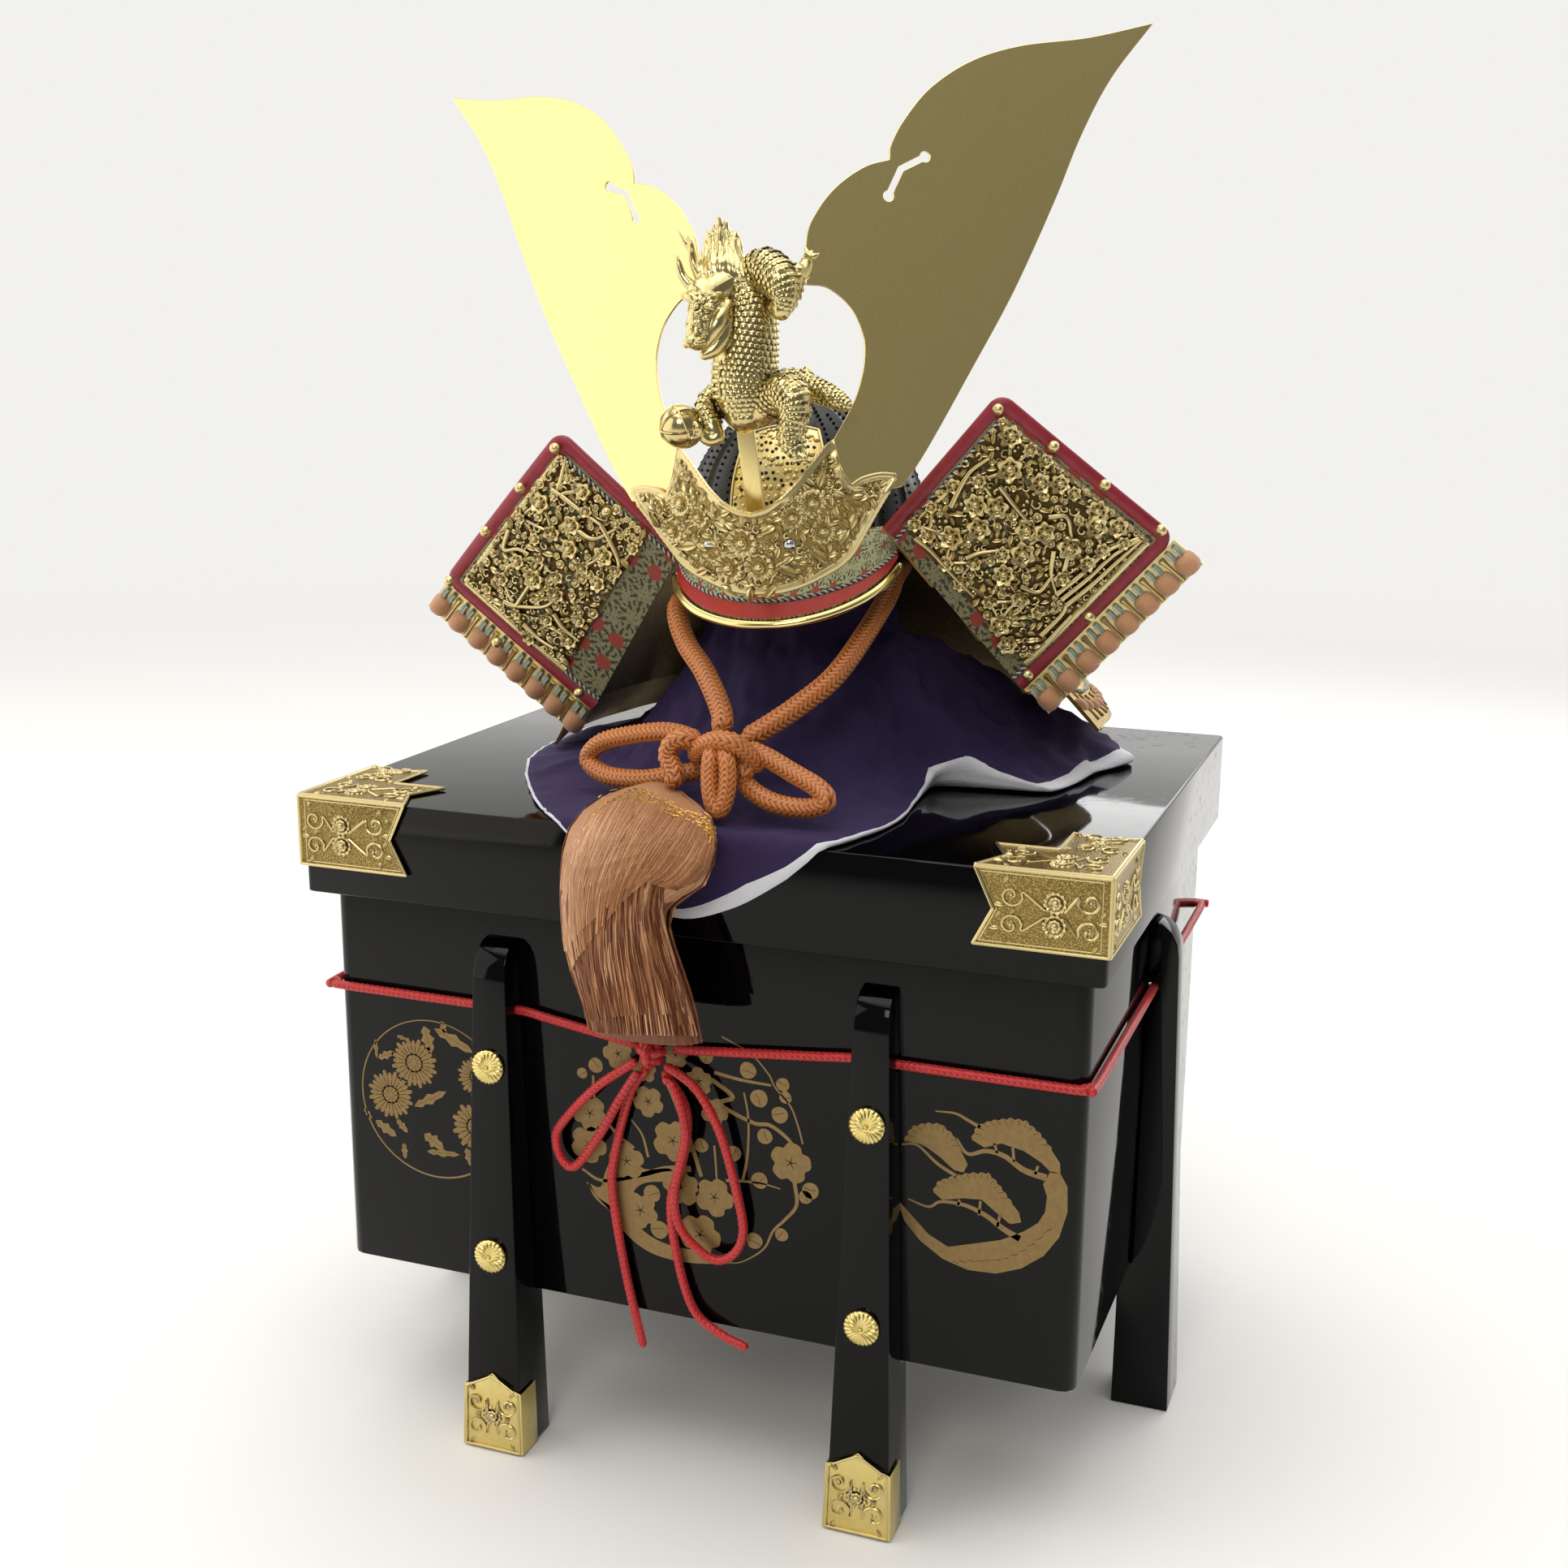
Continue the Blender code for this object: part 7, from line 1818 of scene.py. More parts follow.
def turnLocal(sign, a, b, proud=0.0):
    # A point of the panel: a runs from the top corner to the outer one, b inward; proud is toward the front.
    t = turnback
    top, outer, inner, bottom = [Vector((c[0] * t["reach"], c[1] * t["deep"], c[2] * t["tall"]))
                                 for c in t["corners"]]
    point = top.lerp(outer, a).lerp(inner.lerp(bottom, a), b)
    normal = (outer - top).cross(inner - top).normalized()
    if normal.y > 0:
        normal = -normal
    ca, cb = min(max(a, 0), 1), min(max(b, 0), 1)
    point += normal * (t["crown"] * 4 * ca * (1 - ca) * (0.4 + 0.6 * 4 * cb * (1 - cb)) + proud)
    point.z += sign * t["shift"]
    return Vector((sign * point.x, point.y, point.z))


def turnPoint(sign, a, b, proud=0.0):
    return seatMatrix @ turnLocal(sign, a, b, proud)


def panelGrid(sign, aValues, bValues, proud=0.0):
    grid = np.array([[turnPoint(sign, a, b, proud) for a in aValues] for b in bValues])
    return grid, gridNormals(grid, (0, -1, 0.3))


def borderLine(inset, corner=0.0034):
    # Down three sides of the panel at a distance from its edge, with rounded corners, and its ups.
    a0, b0 = inset / turnback["sideA"], inset / turnback["sideB"]
    ra, rb = corner / turnback["sideA"], corner / turnback["sideB"]
    marks = [(a0, 1.0 - (1.0 - b0 - rb) * k / 50) for k in range(51)]
    marks += [(a0 + ra * (1 - math.cos(t)), b0 + rb * (1 - math.sin(t)))
              for t in np.linspace(0.2, math.pi / 2, 6)]
    marks += [(a0 + ra + (1 - 2 * a0 - 2 * ra) * k / 60, b0) for k in range(1, 60)]
    marks += [(1 - a0 - ra * (1 - math.sin(t)), b0 + rb * (1 - math.cos(t)))
              for t in np.linspace(0.1, 1.4, 6)]
    marks += [(1 - a0, b0 + rb + (1.0 - b0 - rb) * k / 50) for k in range(51)]
    return marks


def buildPanels():
    t = turnback
    rnd = random.Random(21)
    for name, sign in (("left", -1), ("right", 1)):
        aValues, bValues = np.linspace(*t["leatherA"]), np.linspace(*t["leatherB"])
        grid, normals = panelGrid(sign, aValues, bValues)
        flat = np.array([[(a * t["sideA"], b * t["sideB"]) for a in aValues] for b in bValues]) + 0.2
        verts, faces = slab(grid, normals, t["thick"])
        heap = Heap()
        heap.add(verts, faces, uv=np.concatenate([flat.reshape(-1, 2)] * 2))
        heap.piece(f"turnback_{name}_leather", finish["panelLeather"], 40, "panel_cloth", f"turnback_{name}")

        def normalAt(a, b):
            lastA, lastB = len(aValues) - 1, len(bValues) - 1
            i, j = min(max(int(a * lastA), 0), lastA), min(max(int(b * lastB), 0), lastB)
            return Vector(normals[j, i])

        marks = borderLine(t["band"])
        line = [turnPoint(sign, a, b) for a, b in marks]
        heap = Heap()
        heap.add(*ribbon(line, [normalAt(a, b) for a, b in marks], t["band"], t["bandRise"]))
        heap.piece(f"turnback_{name}_binding", finish["crimson"], 60, "crimson_leather",
                   f"turnback_edging_{name}")
        heap = Heap()
        marks = borderLine(t["cordIn"], 0.003)
        twist(heap, [turnPoint(sign, a, b, t["thick"] / 2 + t["cord"] * 0.7) for a, b in marks], t["cord"],
              t["cordPitch"])
        silks = [finish["whiteSilk"], finish["navySilk"]]
        heap.piece(f"turnback_{name}_stitching", silks, 180, "crimson_leather")
        castSpray(name, sign, rnd)
        laceStrip(name, sign, rnd)
    print("turnbacks made")


def castSpray(name, sign, rnd):
    # The openwork plate: blossoms and leaves on branches, one casting, held clear of the leather.
    t, plan = turnback, sprays[name]
    aValues = np.linspace(*t["castA"])
    bValues = np.linspace(t["castFrom"], plan["foot"], t["castRows"])
    grid, normals = panelGrid(sign, aValues, bValues, t["thick"] / 2 + t["castLift"])
    bed = Heap()
    bed.add(grid.reshape(-1, 3), gridFaces(grid.shape[0], grid.shape[1], False))
    tree = treeOf(bed.mesh("bed"))
    perPixel = t["pixel"] / plan["scale"]
    heap = Heap()
    # The ground of the casting, pierced here and there down to the leather, and coloured dark as painted
    # shade between the forms.
    low, lowNormals = panelGrid(sign, aValues, bValues, t["thick"] / 2 + t["groundLift"])
    verts, faces = slab(low, lowNormals, t["groundThick"])
    cells = (len(bValues) - 1) * (len(aValues) - 1)
    holes = set()
    for k, face in enumerate(faces[:cells]):
        if noise.noise(Vector(verts[face[0]]) / t["pierceSize"]) > plan["pierce"]:
            holes.update((k, k + cells))
    heap.add(verts, [face for k, face in enumerate(faces) if k not in holes], slotIndex=1)
    taken = []
    for x, y, radius in plan["flowers"]:
        point, normal = castOn(tree, *cropPixel(plan, x, y))
        if point is None:
            continue
        size = radius * perPixel * t["blossomGrow"]
        lift, tilt = rnd.uniform(*t["blossomLift"]), t["blossomTilt"]
        facing = normal + Vector((rnd.uniform(-tilt, tilt), 0, rnd.uniform(-tilt, tilt)))
        addFlower(heap, point + normal * lift, facing, size, rnd.uniform(0, 1), rnd.choice((6, 7)), 0.26)
        taken.append((point, size))
    blossoms = [p for p, _ in taken]
    for row in plan["branches"]:
        line = [castOn(tree, *cropPixel(plan, x, y)) for x, y in row]
        line = [p + n * 0.0009 for p, n in line if p is not None]
        if len(line) > 1:
            pts = smoothRoute(line, 0.0010)
            heap.tube(pts, np.linspace(0.0012, 0.0007, len(pts)), 8)
            taken += [(Vector(p), 0.0008) for p in pts[::3]]
    # Twigs join each blossom to the ones beside it.
    linked = set()
    for i, point in enumerate(blossoms):
        order = sorted(range(len(blossoms)), key=lambda j: (blossoms[j] - point).length)
        for j in order[1:4]:
            if (min(i, j), max(i, j)) in linked or (blossoms[j] - point).length > t["linkReach"]:
                continue
            linked.add((min(i, j), max(i, j)))
            middle = point.lerp(blossoms[j], 0.5) + Vector([rnd.uniform(-0.001, 0.001) for _ in range(3)])
            pts = smoothRoute([point, middle, blossoms[j]], 0.0010)
            heap.tube(pts, rnd.uniform(0.0005, 0.0009), 6)

    def surface(u, v):
        i, j = int(u * (len(aValues) - 1)), int(v * (len(bValues) - 1))
        return Vector(grid[j, i]), Vector(normals[j, i])

    fillSpray(heap, surface, taken, t["fillers"], relief["fillerSizes"], rnd, 0.0004, 0.34, 0.68)
    # A plain turned edge along the plate's top and outer sides, and round beads at its fixing points.
    foot = plan["foot"]
    for rowA, rowB in (((0.085, 0.915), (0.11, 0.11)), ((0.915, 0.915), (0.11, foot))):
        marks = [(rowA[0] + (rowA[1] - rowA[0]) * k / 30, rowB[0] + (rowB[1] - rowB[0]) * k / 30)
                 for k in range(31)]
        line = [turnPoint(sign, a, b, t["thick"] / 2 + 0.0005) for a, b in marks]
        heap.add(*ribbon(line, [normals[0, 0]] * 31, 0.0013, 0.0007, 8))
    for x, y in plan["beads"]:
        point, normal = castOn(tree, *cropPixel(plan, x, y))
        if point is None:
            # A bead past the plate's edge stands on its plane.
            start, way = pixelRay(*cropPixel(plan, x, y))
            flatPoint, normal = Vector(grid[0, 0]), Vector(normals[0, 0])
            point = start + way * ((flatPoint - start).dot(normal) / way.dot(normal))
        heap.ball(t["bead"], point + normal * 0.0012, 16, 10)
    # The second finish is the ground in painted shade.
    gilts = [finish["cast"], finish["shadeGround"]]
    heap.piece(f"turnback_{name}_casting", gilts, 50, "cast_gilt", f"turnback_plate_{name}")


def puffForm(heap, corner, along, across, up, length, width, height, rnd):
    # A plump block of floss silk, its threads running across it.
    count = 8
    verts = []
    for j in range(count):
        for i in range(count):
            u, v = -1 + 2 * i / (count - 1), -1 + 2 * j / (count - 1)
            rise = max(0.0, (1 - abs(u) ** 2.2) * (1 - abs(v) ** 2.4)) ** 0.5
            fat, tall = 1.04 - 0.24 * abs(v) ** 3, 1.04 - 0.24 * abs(u) ** 3
            verts.append(corner + along * (u * length / 2 * fat) + across * (v * width / 2 * tall)
                         + up * (height * (rise - 0.25) + 0.00010 * rnd.random()))
    heap.add(verts, gridFaces(count, count, False) + [tuple(gridRim(count, count))[::-1]])


def laceStrip(name, sign, rnd):
    # The gilt strip beside the panel, laced with blocks of orange silk between gilt bars.
    t = turnback
    grid, normals = panelGrid(sign, np.linspace(*t["stripA"]), np.linspace(*t["stripB"]))
    lip = np.zeros(grid.shape[:2])
    lip[:, -2:] = t["stripLip"]
    verts, faces = slab(grid, normals, t["stripThick"], lip)
    heap = Heap()
    heap.add(verts, faces)
    silk = Heap()
    count = t["puffs"]
    for k in range(count):
        b = t["puffFrom"] + t["puffSpan"] * k / (count - 1)
        at, ahead, outer = [turnPoint(sign, a, b + on, t["stripThick"] / 2)
                            for a, on in ((t["puffA"], 0), (t["puffA"], 0.02), (t["puffA"] + 0.037, 0))]
        along, across = (ahead - at).normalized(), (outer - at).normalized()
        up = along.cross(across).normalized()
        up = up if up.y < 0 else -up
        puffForm(silk, at, along, across, up, *t["puffSize"], rnd)
        # Pale green braid beside the binding.
        for q in (-0.0018, 0.0018):
            foot = turnPoint(sign, t["braidA"], b, t["stripThick"] / 2 + 0.0008) + along * q
            line = [foot + across * (0.0042 * s) + up * (0.0010 * math.sin(math.pi * s))
                    for s in (0, 0.25, 0.5, 0.75, 1)]
            silk.tube(line, 0.0010, 6, slotIndex=1)
            silk.tube([p + along * 0.0008 + up * 0.0004 for p in line], 0.0006, 5, slotIndex=2)
        if k < count - 1:
            mid = b + t["puffSpan"] / (count - 1) / 2
            bar = [turnPoint(sign, a, mid, t["stripThick"] / 2 + 0.0006)
                   for a in np.linspace(1.022, 1.158, len(t["barWidths"]))]
            heap.tube(bar, t["barWidths"], 8)
    heap.piece(f"scale_strip_{name}_gilt", finish["cast"], 40, "laced_scales", f"scale_strip_{name}")
    silks = [finish["puffSilk"], finish["greenSilk"], finish["whiteSilk"]]
    silk.piece(f"silk_puffs_{name}_lacing", silks, 60, "orange_silk", f"silk_puffs_{name}")


buildPanels()


# Chest: its edges' rounding and the trim on its legs and lid. The rings of a stud are shares of its radius
# and rise, and how deeply it is pleated there.
chest = {
    "bevel": 0.0007, "inlay": 0.00007, "legX": 0.0796, "legTop": 0.2185, "shoulder": 0.0155,
    "legTopOut": 0.0125, "legFootOut": 0.019, "legTopWide": 0.0134, "legFootWide": 0.026, "studR": 0.0072,
    "studH": 0.0030, "studRows": (("upper", 0.168), ("lower", 0.087)), "lid": (0.330, 0.2689, 0.2702),
    "fitDrop": 0.0285, "fitFront": 0.0495, "fitSide": 0.056, "armX": 0.031, "armY": 0.0262, "notch": 0.007,
    "sheet": 0.0008, "capCorner": 0.028, "capPeak": 0.035, "legBevel": 0.0006, "pixel": 0.00037,
    "gap": 0.0003, "studPetals": 24,
    "studRings": [
        (0.97, 0.0, 0), (1.0, 0.35, 0.5), (0.97, 0.62, 0.9), (0.80, 0.86, 1.0), (0.50, 0.97, 0.8),
        (0.24, 0.95, 0.4), (0.16, 0.86, 0), (0.11, 0.72, 0), (0.09, 0.90, 0), (0.05, 0.98, 0)],
}

# Painted rounds on the front wall, traced in pixels of the photograph's crops.
rounds = {
    "plum": {
        "corner": (660, 1220), "scale": 3.135,
        "blossoms": [
            (435, 430, 56), (210, 475, 66), (205, 595, 68), (352, 660, 66), (530, 582, 74), (318, 245, 56),
            (630, 352, 50), (562, 762, 68), (690, 800, 70), (405, 850, 66), (635, 945, 76), (985, 668, 72),
            (690, 470, 50), (420, 310, 44), (540, 250, 46)],
        "buds": [
            (180, 320, 20), (232, 290, 28), (658, 255, 27), (820, 310, 30), (955, 365, 24), (965, 415, 22),
            (863, 418, 32), (943, 482, 30), (885, 565, 28), (765, 630, 28), (865, 735, 30), (450, 785, 32),
            (845, 968, 30), (950, 945, 24), (1062, 775, 30), (1042, 800, 24), (478, 925, 34),
            (640, 600, 26), (500, 170, 22), (590, 190, 20)],
        "twigs": [
            ([(690, 318), (800, 348), (910, 368)], 13, 8),
            ([(720, 180), (830, 245), (900, 325), (925, 375), (985, 450), (1015, 530), (1032, 595)], 5, 6),
            ([(680, 345), (762, 412), (712, 440), (840, 512), (905, 522), (975, 575), (1005, 625)], 16, 12),
            ([(805, 395), (822, 500), (818, 640), (800, 735)], 6, 10),
            ([(735, 735), (800, 738), (880, 748), (945, 768)], 11, 4),
            (
                [(1000, 740), (1008, 830), (965, 885), (918, 930), (880, 1000), (800, 1048), (740, 1055)],
                14, 3),
            ([(640, 190), (520, 190), (420, 170), (330, 215)], 6, 8),
            ([(180, 690), (260, 735), (400, 715), (500, 690), (600, 690)], 9, 22),
            ([(370, 500), (412, 560), (435, 645)], 6, 10),
            ([(498, 330), (530, 400), (560, 480), (600, 590), (640, 720)], 22, 14),
            ([(222, 330), (230, 420), (300, 540), (380, 610)], 9, 12),
            ([(690, 600), (695, 660), (700, 740)], 8, 6), ([(205, 745), (235, 800), (300, 850)], 6, 18)],
        "trunk": [
            (195, 740), (250, 760), (270, 700), (320, 600), (370, 640), (420, 690), (520, 690), (520, 735),
            (420, 745), (375, 790), (385, 880), (430, 940), (520, 985), (640, 1010), (760, 1050),
            (640, 1056), (520, 1040), (420, 1000), (340, 930), (285, 850), (240, 800)],
    },
    "pine": {
        "corner": (1040, 1220), "scale": 2.887,
        "trunk": [
            (188, 742), (215, 820), (270, 890), (350, 955), (440, 995), (540, 1008), (630, 990), (710, 945),
            (765, 880), (795, 790), (795, 700), (768, 650), (735, 645), (708, 690), (722, 735), (715, 790),
            (690, 828), (640, 858), (560, 888), (450, 903), (370, 913), (300, 868), (240, 800)],
        "clumps": [
            [
                (215, 535), (245, 488), (292, 476), (345, 480), (388, 520), (415, 570), (440, 620),
                (425, 648), (392, 640), (340, 592), (280, 548), (232, 542)],
            [
                (455, 532), (478, 482), (530, 466), (592, 460), (645, 468), (692, 510), (732, 560),
                (768, 615), (770, 650), (738, 650), (700, 612), (640, 572), (560, 545), (500, 560)],
            [
                (318, 718), (340, 680), (398, 662), (452, 654), (512, 654), (545, 690), (582, 740),
                (622, 790), (630, 826), (590, 832), (540, 790), (490, 745), (420, 740), (350, 746)]],
        "twigs": [
            ([(325, 430), (395, 438), (440, 462), (485, 488)], 4, 12),
            ([(400, 528), (440, 582), (505, 572), (570, 590), (640, 640), (720, 668)], 8, 22),
            ([(228, 742), (300, 770), (345, 752), (430, 765), (505, 802), (565, 848), (625, 885)], 5, 20),
            ([(205, 548), (262, 552), (330, 615), (400, 662)], 5, 12), ([(535, 545), (545, 580)], 8, 8),
            ([(600, 560), (605, 610)], 8, 8), ([(690, 625), (680, 655)], 8, 8),
            ([(410, 745), (405, 768)], 8, 8), ([(485, 750), (480, 800)], 8, 8),
            ([(555, 800), (545, 842)], 8, 8)],
    },
    "mums": {
        "corner": (400, 1120), "scale": 3.267, "centre": (-0.114, 0.1432), "radius": 0.0345,
        "heads": [(360, 620, 97, 24), (266, 746, 95, 24), (612, 678, 78, 24), (606, 878, 96, 20)],
        "leaves": [
            (400, 470, 430, 580, 60), (440, 480, 600, 580, 52), (215, 600, 280, 575, 36),
            (360, 795, 490, 735, 44), (205, 850, 290, 915, 48), (290, 845, 335, 900, 34),
            (400, 905, 480, 965, 60), (410, 975, 545, 990, 34), (570, 960, 595, 1040, 40),
            (320, 940, 325, 1005, 30), (205, 520, 210, 600, 20), (470, 450, 485, 500, 30),
            (160, 800, 190, 845, 24), (290, 510, 330, 525, 20)],
    },
}


def onWall(plan, x, y):
    # Across and up on the chest's front, of a pixel of a crop.
    point = behindPixel(plan, x, y, wallFront)
    return np.array((point.x, point.z))


def lineOnWall(plan, line):
    return [onWall(plan, x, y) for x, y in line]


def way2d(angle):
    return np.array((math.cos(angle), math.sin(angle)))


def inlay(heap, outline, slotIndex=0, lift=0.0):
    # A flat shape laid on the front wall as thin as its coat of powder.
    count = len(outline)
    front, back = wallFront - chest["inlay"] - lift, wallFront + 0.0001
    verts = [(x, front, z) for x, z in outline] + [(x, back, z) for x, z in outline]
    faces = [tuple(range(count)), tuple(range(count, 2 * count))[::-1]]
    faces += [(i, count + i, count + (i + 1) % count, (i + 1) % count) for i in range(count)]
    heap.add(verts, faces, slotIndex=slotIndex)


def stroke(heap, points, first, last, slotIndex=0, lift=0.0):
    # A brush line whose width runs from the first value to the last.
    pts = np.array(smoothRoute(points, 0.0011))
    ways = np.gradient(pts, axis=0)
    ways /= np.maximum(np.linalg.norm(ways, axis=1), 1e-9)[:, None]
    sides = np.stack([-ways[:, 1], ways[:, 0]], 1) * (np.linspace(first, last, len(pts)) / 2)[:, None]
    left, right = pts + sides, pts - sides
    for k in range(len(pts) - 1):
        inlay(heap, [left[k], left[k + 1], right[k + 1], right[k]], slotIndex, lift)


def lobedRound(centre, radius, lobes, depth, turn, count=60, power=1.0):
    angles = 2 * np.pi * np.arange(count) / count
    r = radius * (1 - depth * np.abs(np.cos(lobes * (angles + turn) / 2)) ** power)
    return np.stack([centre[0] + r * np.cos(angles), centre[1] + r * np.sin(angles)], 1)


def paintPlum(heap, plan):
    unit = chest["pixel"] / plan["scale"]
    for x, y, radius in plan["blossoms"]:
        centre, r = onWall(plan, x, y), radius * unit
        turn = (x * 7 + y) % 6
        inlay(heap, lobedRound(centre, r, 5, 0.22, turn, 60, 6), 0, 0.00001)
        for k in range(5):
            a = 2 * math.pi * (k + 0.5) / 5 - turn
            tip = centre + r * 0.30 * way2d(a)
            stroke(heap, [centre, tip], 0.00045, 0.0002, 1, 0.00003)
    for x, y, radius in plan["buds"]:
        centre, r = onWall(plan, x, y), radius * unit
        inlay(heap, lobedRound(centre, r, 3, 0.06, x, 30))
        away = way2d(x)
        side = np.array((-away[1], away[0]))
        seam = [centre - away * r * 0.8 + side * r * 0.4, centre + side * r * 0.1, centre + away * r * 0.6]
        stroke(heap, seam, 0.0002, 0.0002, 1, 0.00002)
    for line, first, last in plan["twigs"]:
        stroke(heap, lineOnWall(plan, line), first * unit, last * unit)
    inlay(heap, smoothRoute(lineOnWall(plan, plan["trunk"] + plan["trunk"][:1]), 0.001)[:-1])


def paintPine(heap, plan):
    unit = chest["pixel"] / plan["scale"]
    inlay(heap, lineOnWall(plan, plan["trunk"]))
    for line, first, last in plan["twigs"]:
        stroke(heap, lineOnWall(plan, line), first * unit, last * unit)
    for clump in plan["clumps"]:
        edge, length = evenRoute([(*onWall(plan, x, y), 0) for x, y in clump + clump[:1]], 0.0004)
        edge = edge[:-1, :2]
        centre = edge.mean(axis=0)
        wave = np.abs(np.sin(np.linspace(0, length / 0.0030 * np.pi, len(edge))))
        upper = edge[:, 1] > np.interp(edge[:, 0], [edge[:, 0].min(), edge[:, 0].max()],
                                       [centre[1] - 0.001] * 2)
        out = (edge - centre) / np.linalg.norm(edge - centre, axis=1)[:, None]
        edge = edge + out * (0.0007 * wave * upper)[:, None]
        inlay(heap, edge)
        # Needle tufts: short dark lines between the scallops.
        for k in range(0, len(edge), 7):
            if upper[k]:
                needle = [edge[k] - out[k] * 0.0004, edge[k] - out[k] * 0.0028]
                stroke(heap, needle, 0.00016, 0.0001, 1, 0.00002)
    # Bark: a few dark strokes along the trunk.
    for k in range(12):
        start = onWall(plan, 380 + 30 * k, 960 - 4.5 * max(0, k - 5) ** 1.7)
        stroke(heap, [start, start + np.array((0.0028, 0.0003 * (k - 3)))], 0.00012, 0.0002, 1, 0.00002)


def paintMums(heap, plan):
    unit = chest["pixel"] / plan["scale"]
    cx, cz, radius = *plan["centre"], plan["radius"]
    ring = [(cx + radius * math.cos(a), cz + radius * math.sin(a)) for a in np.linspace(0.6, 5.9, 60)]
    stroke(heap, ring, 0.0004, 0.0009)
    for x, y, size, petals in plan["heads"]:
        centre, r = onWall(plan, x, y), size * unit
        inlay(heap, lobedRound(centre, r * 0.40, 12, 0.1, 0))
        for k in range(petals):
            way = way2d(2 * math.pi * k / petals)
            reach = r * (1.0 if k % 2 else 0.90)
            line = [centre + way * r * 0.32, centre + way * reach * 0.75, centre + way * reach]
            side = np.array((-way[1], way[0])) * r * math.pi / petals * 0.80
            inlay(heap, [line[0] - side * 0.5, line[1] - side, line[2] - side * 0.55, line[2] + side * 0.55,
                         line[1] + side, line[0] + side * 0.5])
        for k in range(10):
            way = way2d(2 * math.pi * k / 10)
            stroke(heap, [centre + way * r * 0.10, centre + way * r * 0.42], 0.00012, 0.0002, 1, 0.00002)
    for x0, y0, x1, y1, wide in plan["leaves"]:
        a, b = onWall(plan, x0, y0), onWall(plan, x1, y1)
        way = b - a
        side = np.array((-way[1], way[0])) / np.linalg.norm(way) * wide * unit / 2
        lobes = ((0.2, 0.7), (0.32, 0.45), (0.5, 1), (0.62, 0.55), (0.82, 0.6))
        inlay(heap, [a] + [a + way * s + side * w for s, w in lobes] + [b]
              + [a + way * s - side * w for s, w in lobes[::-1]])
        stroke(heap, [a, a + way * 0.8], 0.00012, 0.0001, 1, 0.00002)


def legOut(z):
    c = chest
    return c["legFootOut"] + (c["legTopOut"] - c["legFootOut"]) * z / (c["legTop"] - c["shoulder"])


def legHalf(z):
    return (chest["legFootWide"] + (chest["legTopWide"] - chest["legFootWide"]) * z / chest["legTop"]) / 2


def buildChest():
    for name in ("chest_body", "chest_lid"):
        piece = refine(f"{name}_lacquered", name, finish["lacquer"], chest["bevel"], 3, 30)
        place(piece, "black_lacquer", name)
    for name in [n for n in cadNodes if n.startswith("leg_")]:
        piece = refine(f"{name}_lacquered", name, finish["lacquer"], chest["legBevel"], 3, 30)
        place(piece, "black_lacquer", name)
    heap = Heap()
    paintPlum(heap, rounds["plum"])
    paintPine(heap, rounds["pine"])
    paintMums(heap, rounds["mums"])
    heap.piece("chest_front_rounds", [finish["powder"], finish["lacquer"]], 0, "black_lacquer")
    for name, sign in (("left", -1), ("right", 1)):
        for row, z in chest["studRows"]:
            buildStud(f"stud_{row}_{name}", sign, z)
        buildFootCap(name, sign)
        buildFitting(name, sign)
    print("chest finished")


def buildStud(name, sign, z):
    # A chrysanthemum of pleated petals, dished, round a small sunk button.
    r, h, petals = chest["studR"], chest["studH"], chest["studPetals"]
    count = petals * 6
    turns = 2 * np.pi * np.arange(count) / count
    pleat = np.abs(np.cos(petals * turns / 2))
    verts = []
    for share, rise, wave in chest["studRings"]:
        reach = r * share * (1 - 0.035 * wave * pleat)
        verts.append(np.stack([reach * np.cos(turns), reach * np.sin(turns),
                               h * (rise - 0.10 * wave * pleat)], 1))
    heap = Heap()
    out = Vector((0, -1, math.tan(math.radians(1.8)))).normalized()
    seat = axesAt((sign * chest["legX"], wallFront - legOut(z) - 0.0003, z), out)
    heap.add(np.concatenate(verts), tubeFaces(len(verts), count), seat)
    heap.piece(f"{name}_pressed", finish["brass"], 50, "gilt_brass", name)


def scrollSpray(heap, origin, across, up, normal, wide, tall, flowers):
    # Relief of chrysanthemums between stems that curl in on a bud, each with small leaves.
    def at(u, v, lift=0.0002):
        return origin + across * (u * wide / 2) + up * (v * tall / 2) + normal * lift

    for u, v, size in flowers:
        addFlower(heap, at(u, v), normal, size, petals=12)
        addFlower(heap, at(u, v, size * 0.22), normal, size * 0.55, 0.3, petals=8, ruffle=0.14)
    middle = flowers[0][0]
    for side in (-1, 1):
        for lean in (-1, 1):
            hub = at(middle + side * (1 - side * middle) * 0.66, lean * 0.46)
            reach = 0.38 * tall / 2
            line = [at(middle + side * 0.16, lean * 0.10)]
            for k in range(15):
                angle = math.radians(200 - 30 * k)
                r = reach * (1 - 0.055 * k)
                line.append(hub + across * (side * r * math.cos(angle)) + up * (-lean * r * math.sin(angle)))
            heap.tube(smoothRoute(line, 0.0010), 0.00050, 5)
            addFlower(heap, hub, normal, 0.0016, side, petals=6)
            for k in range(4):
                angle = math.radians(70 - 55 * k)
                spot = (hub + across * (side * reach * 1.3 * math.cos(angle))
                        + up * (lean * reach * 1.3 * math.sin(angle)))
                u, v = (spot - origin).dot(across) / (wide / 2), (spot - origin).dot(up) / (tall / 2)
                if abs(u) < 0.93 and abs(v) < 0.93:
                    addLeaf(heap, spot, normal, 0.0036, k + side * lean)


def rodBorder(heap, points, radius):
    for a, b in zip(points, points[1:] + points[:1]):
        heap.tube([a, Vector(a).lerp(Vector(b), 0.5), b], radius, 6)
        heap.ball(radius, Vector(a), 8, 6)


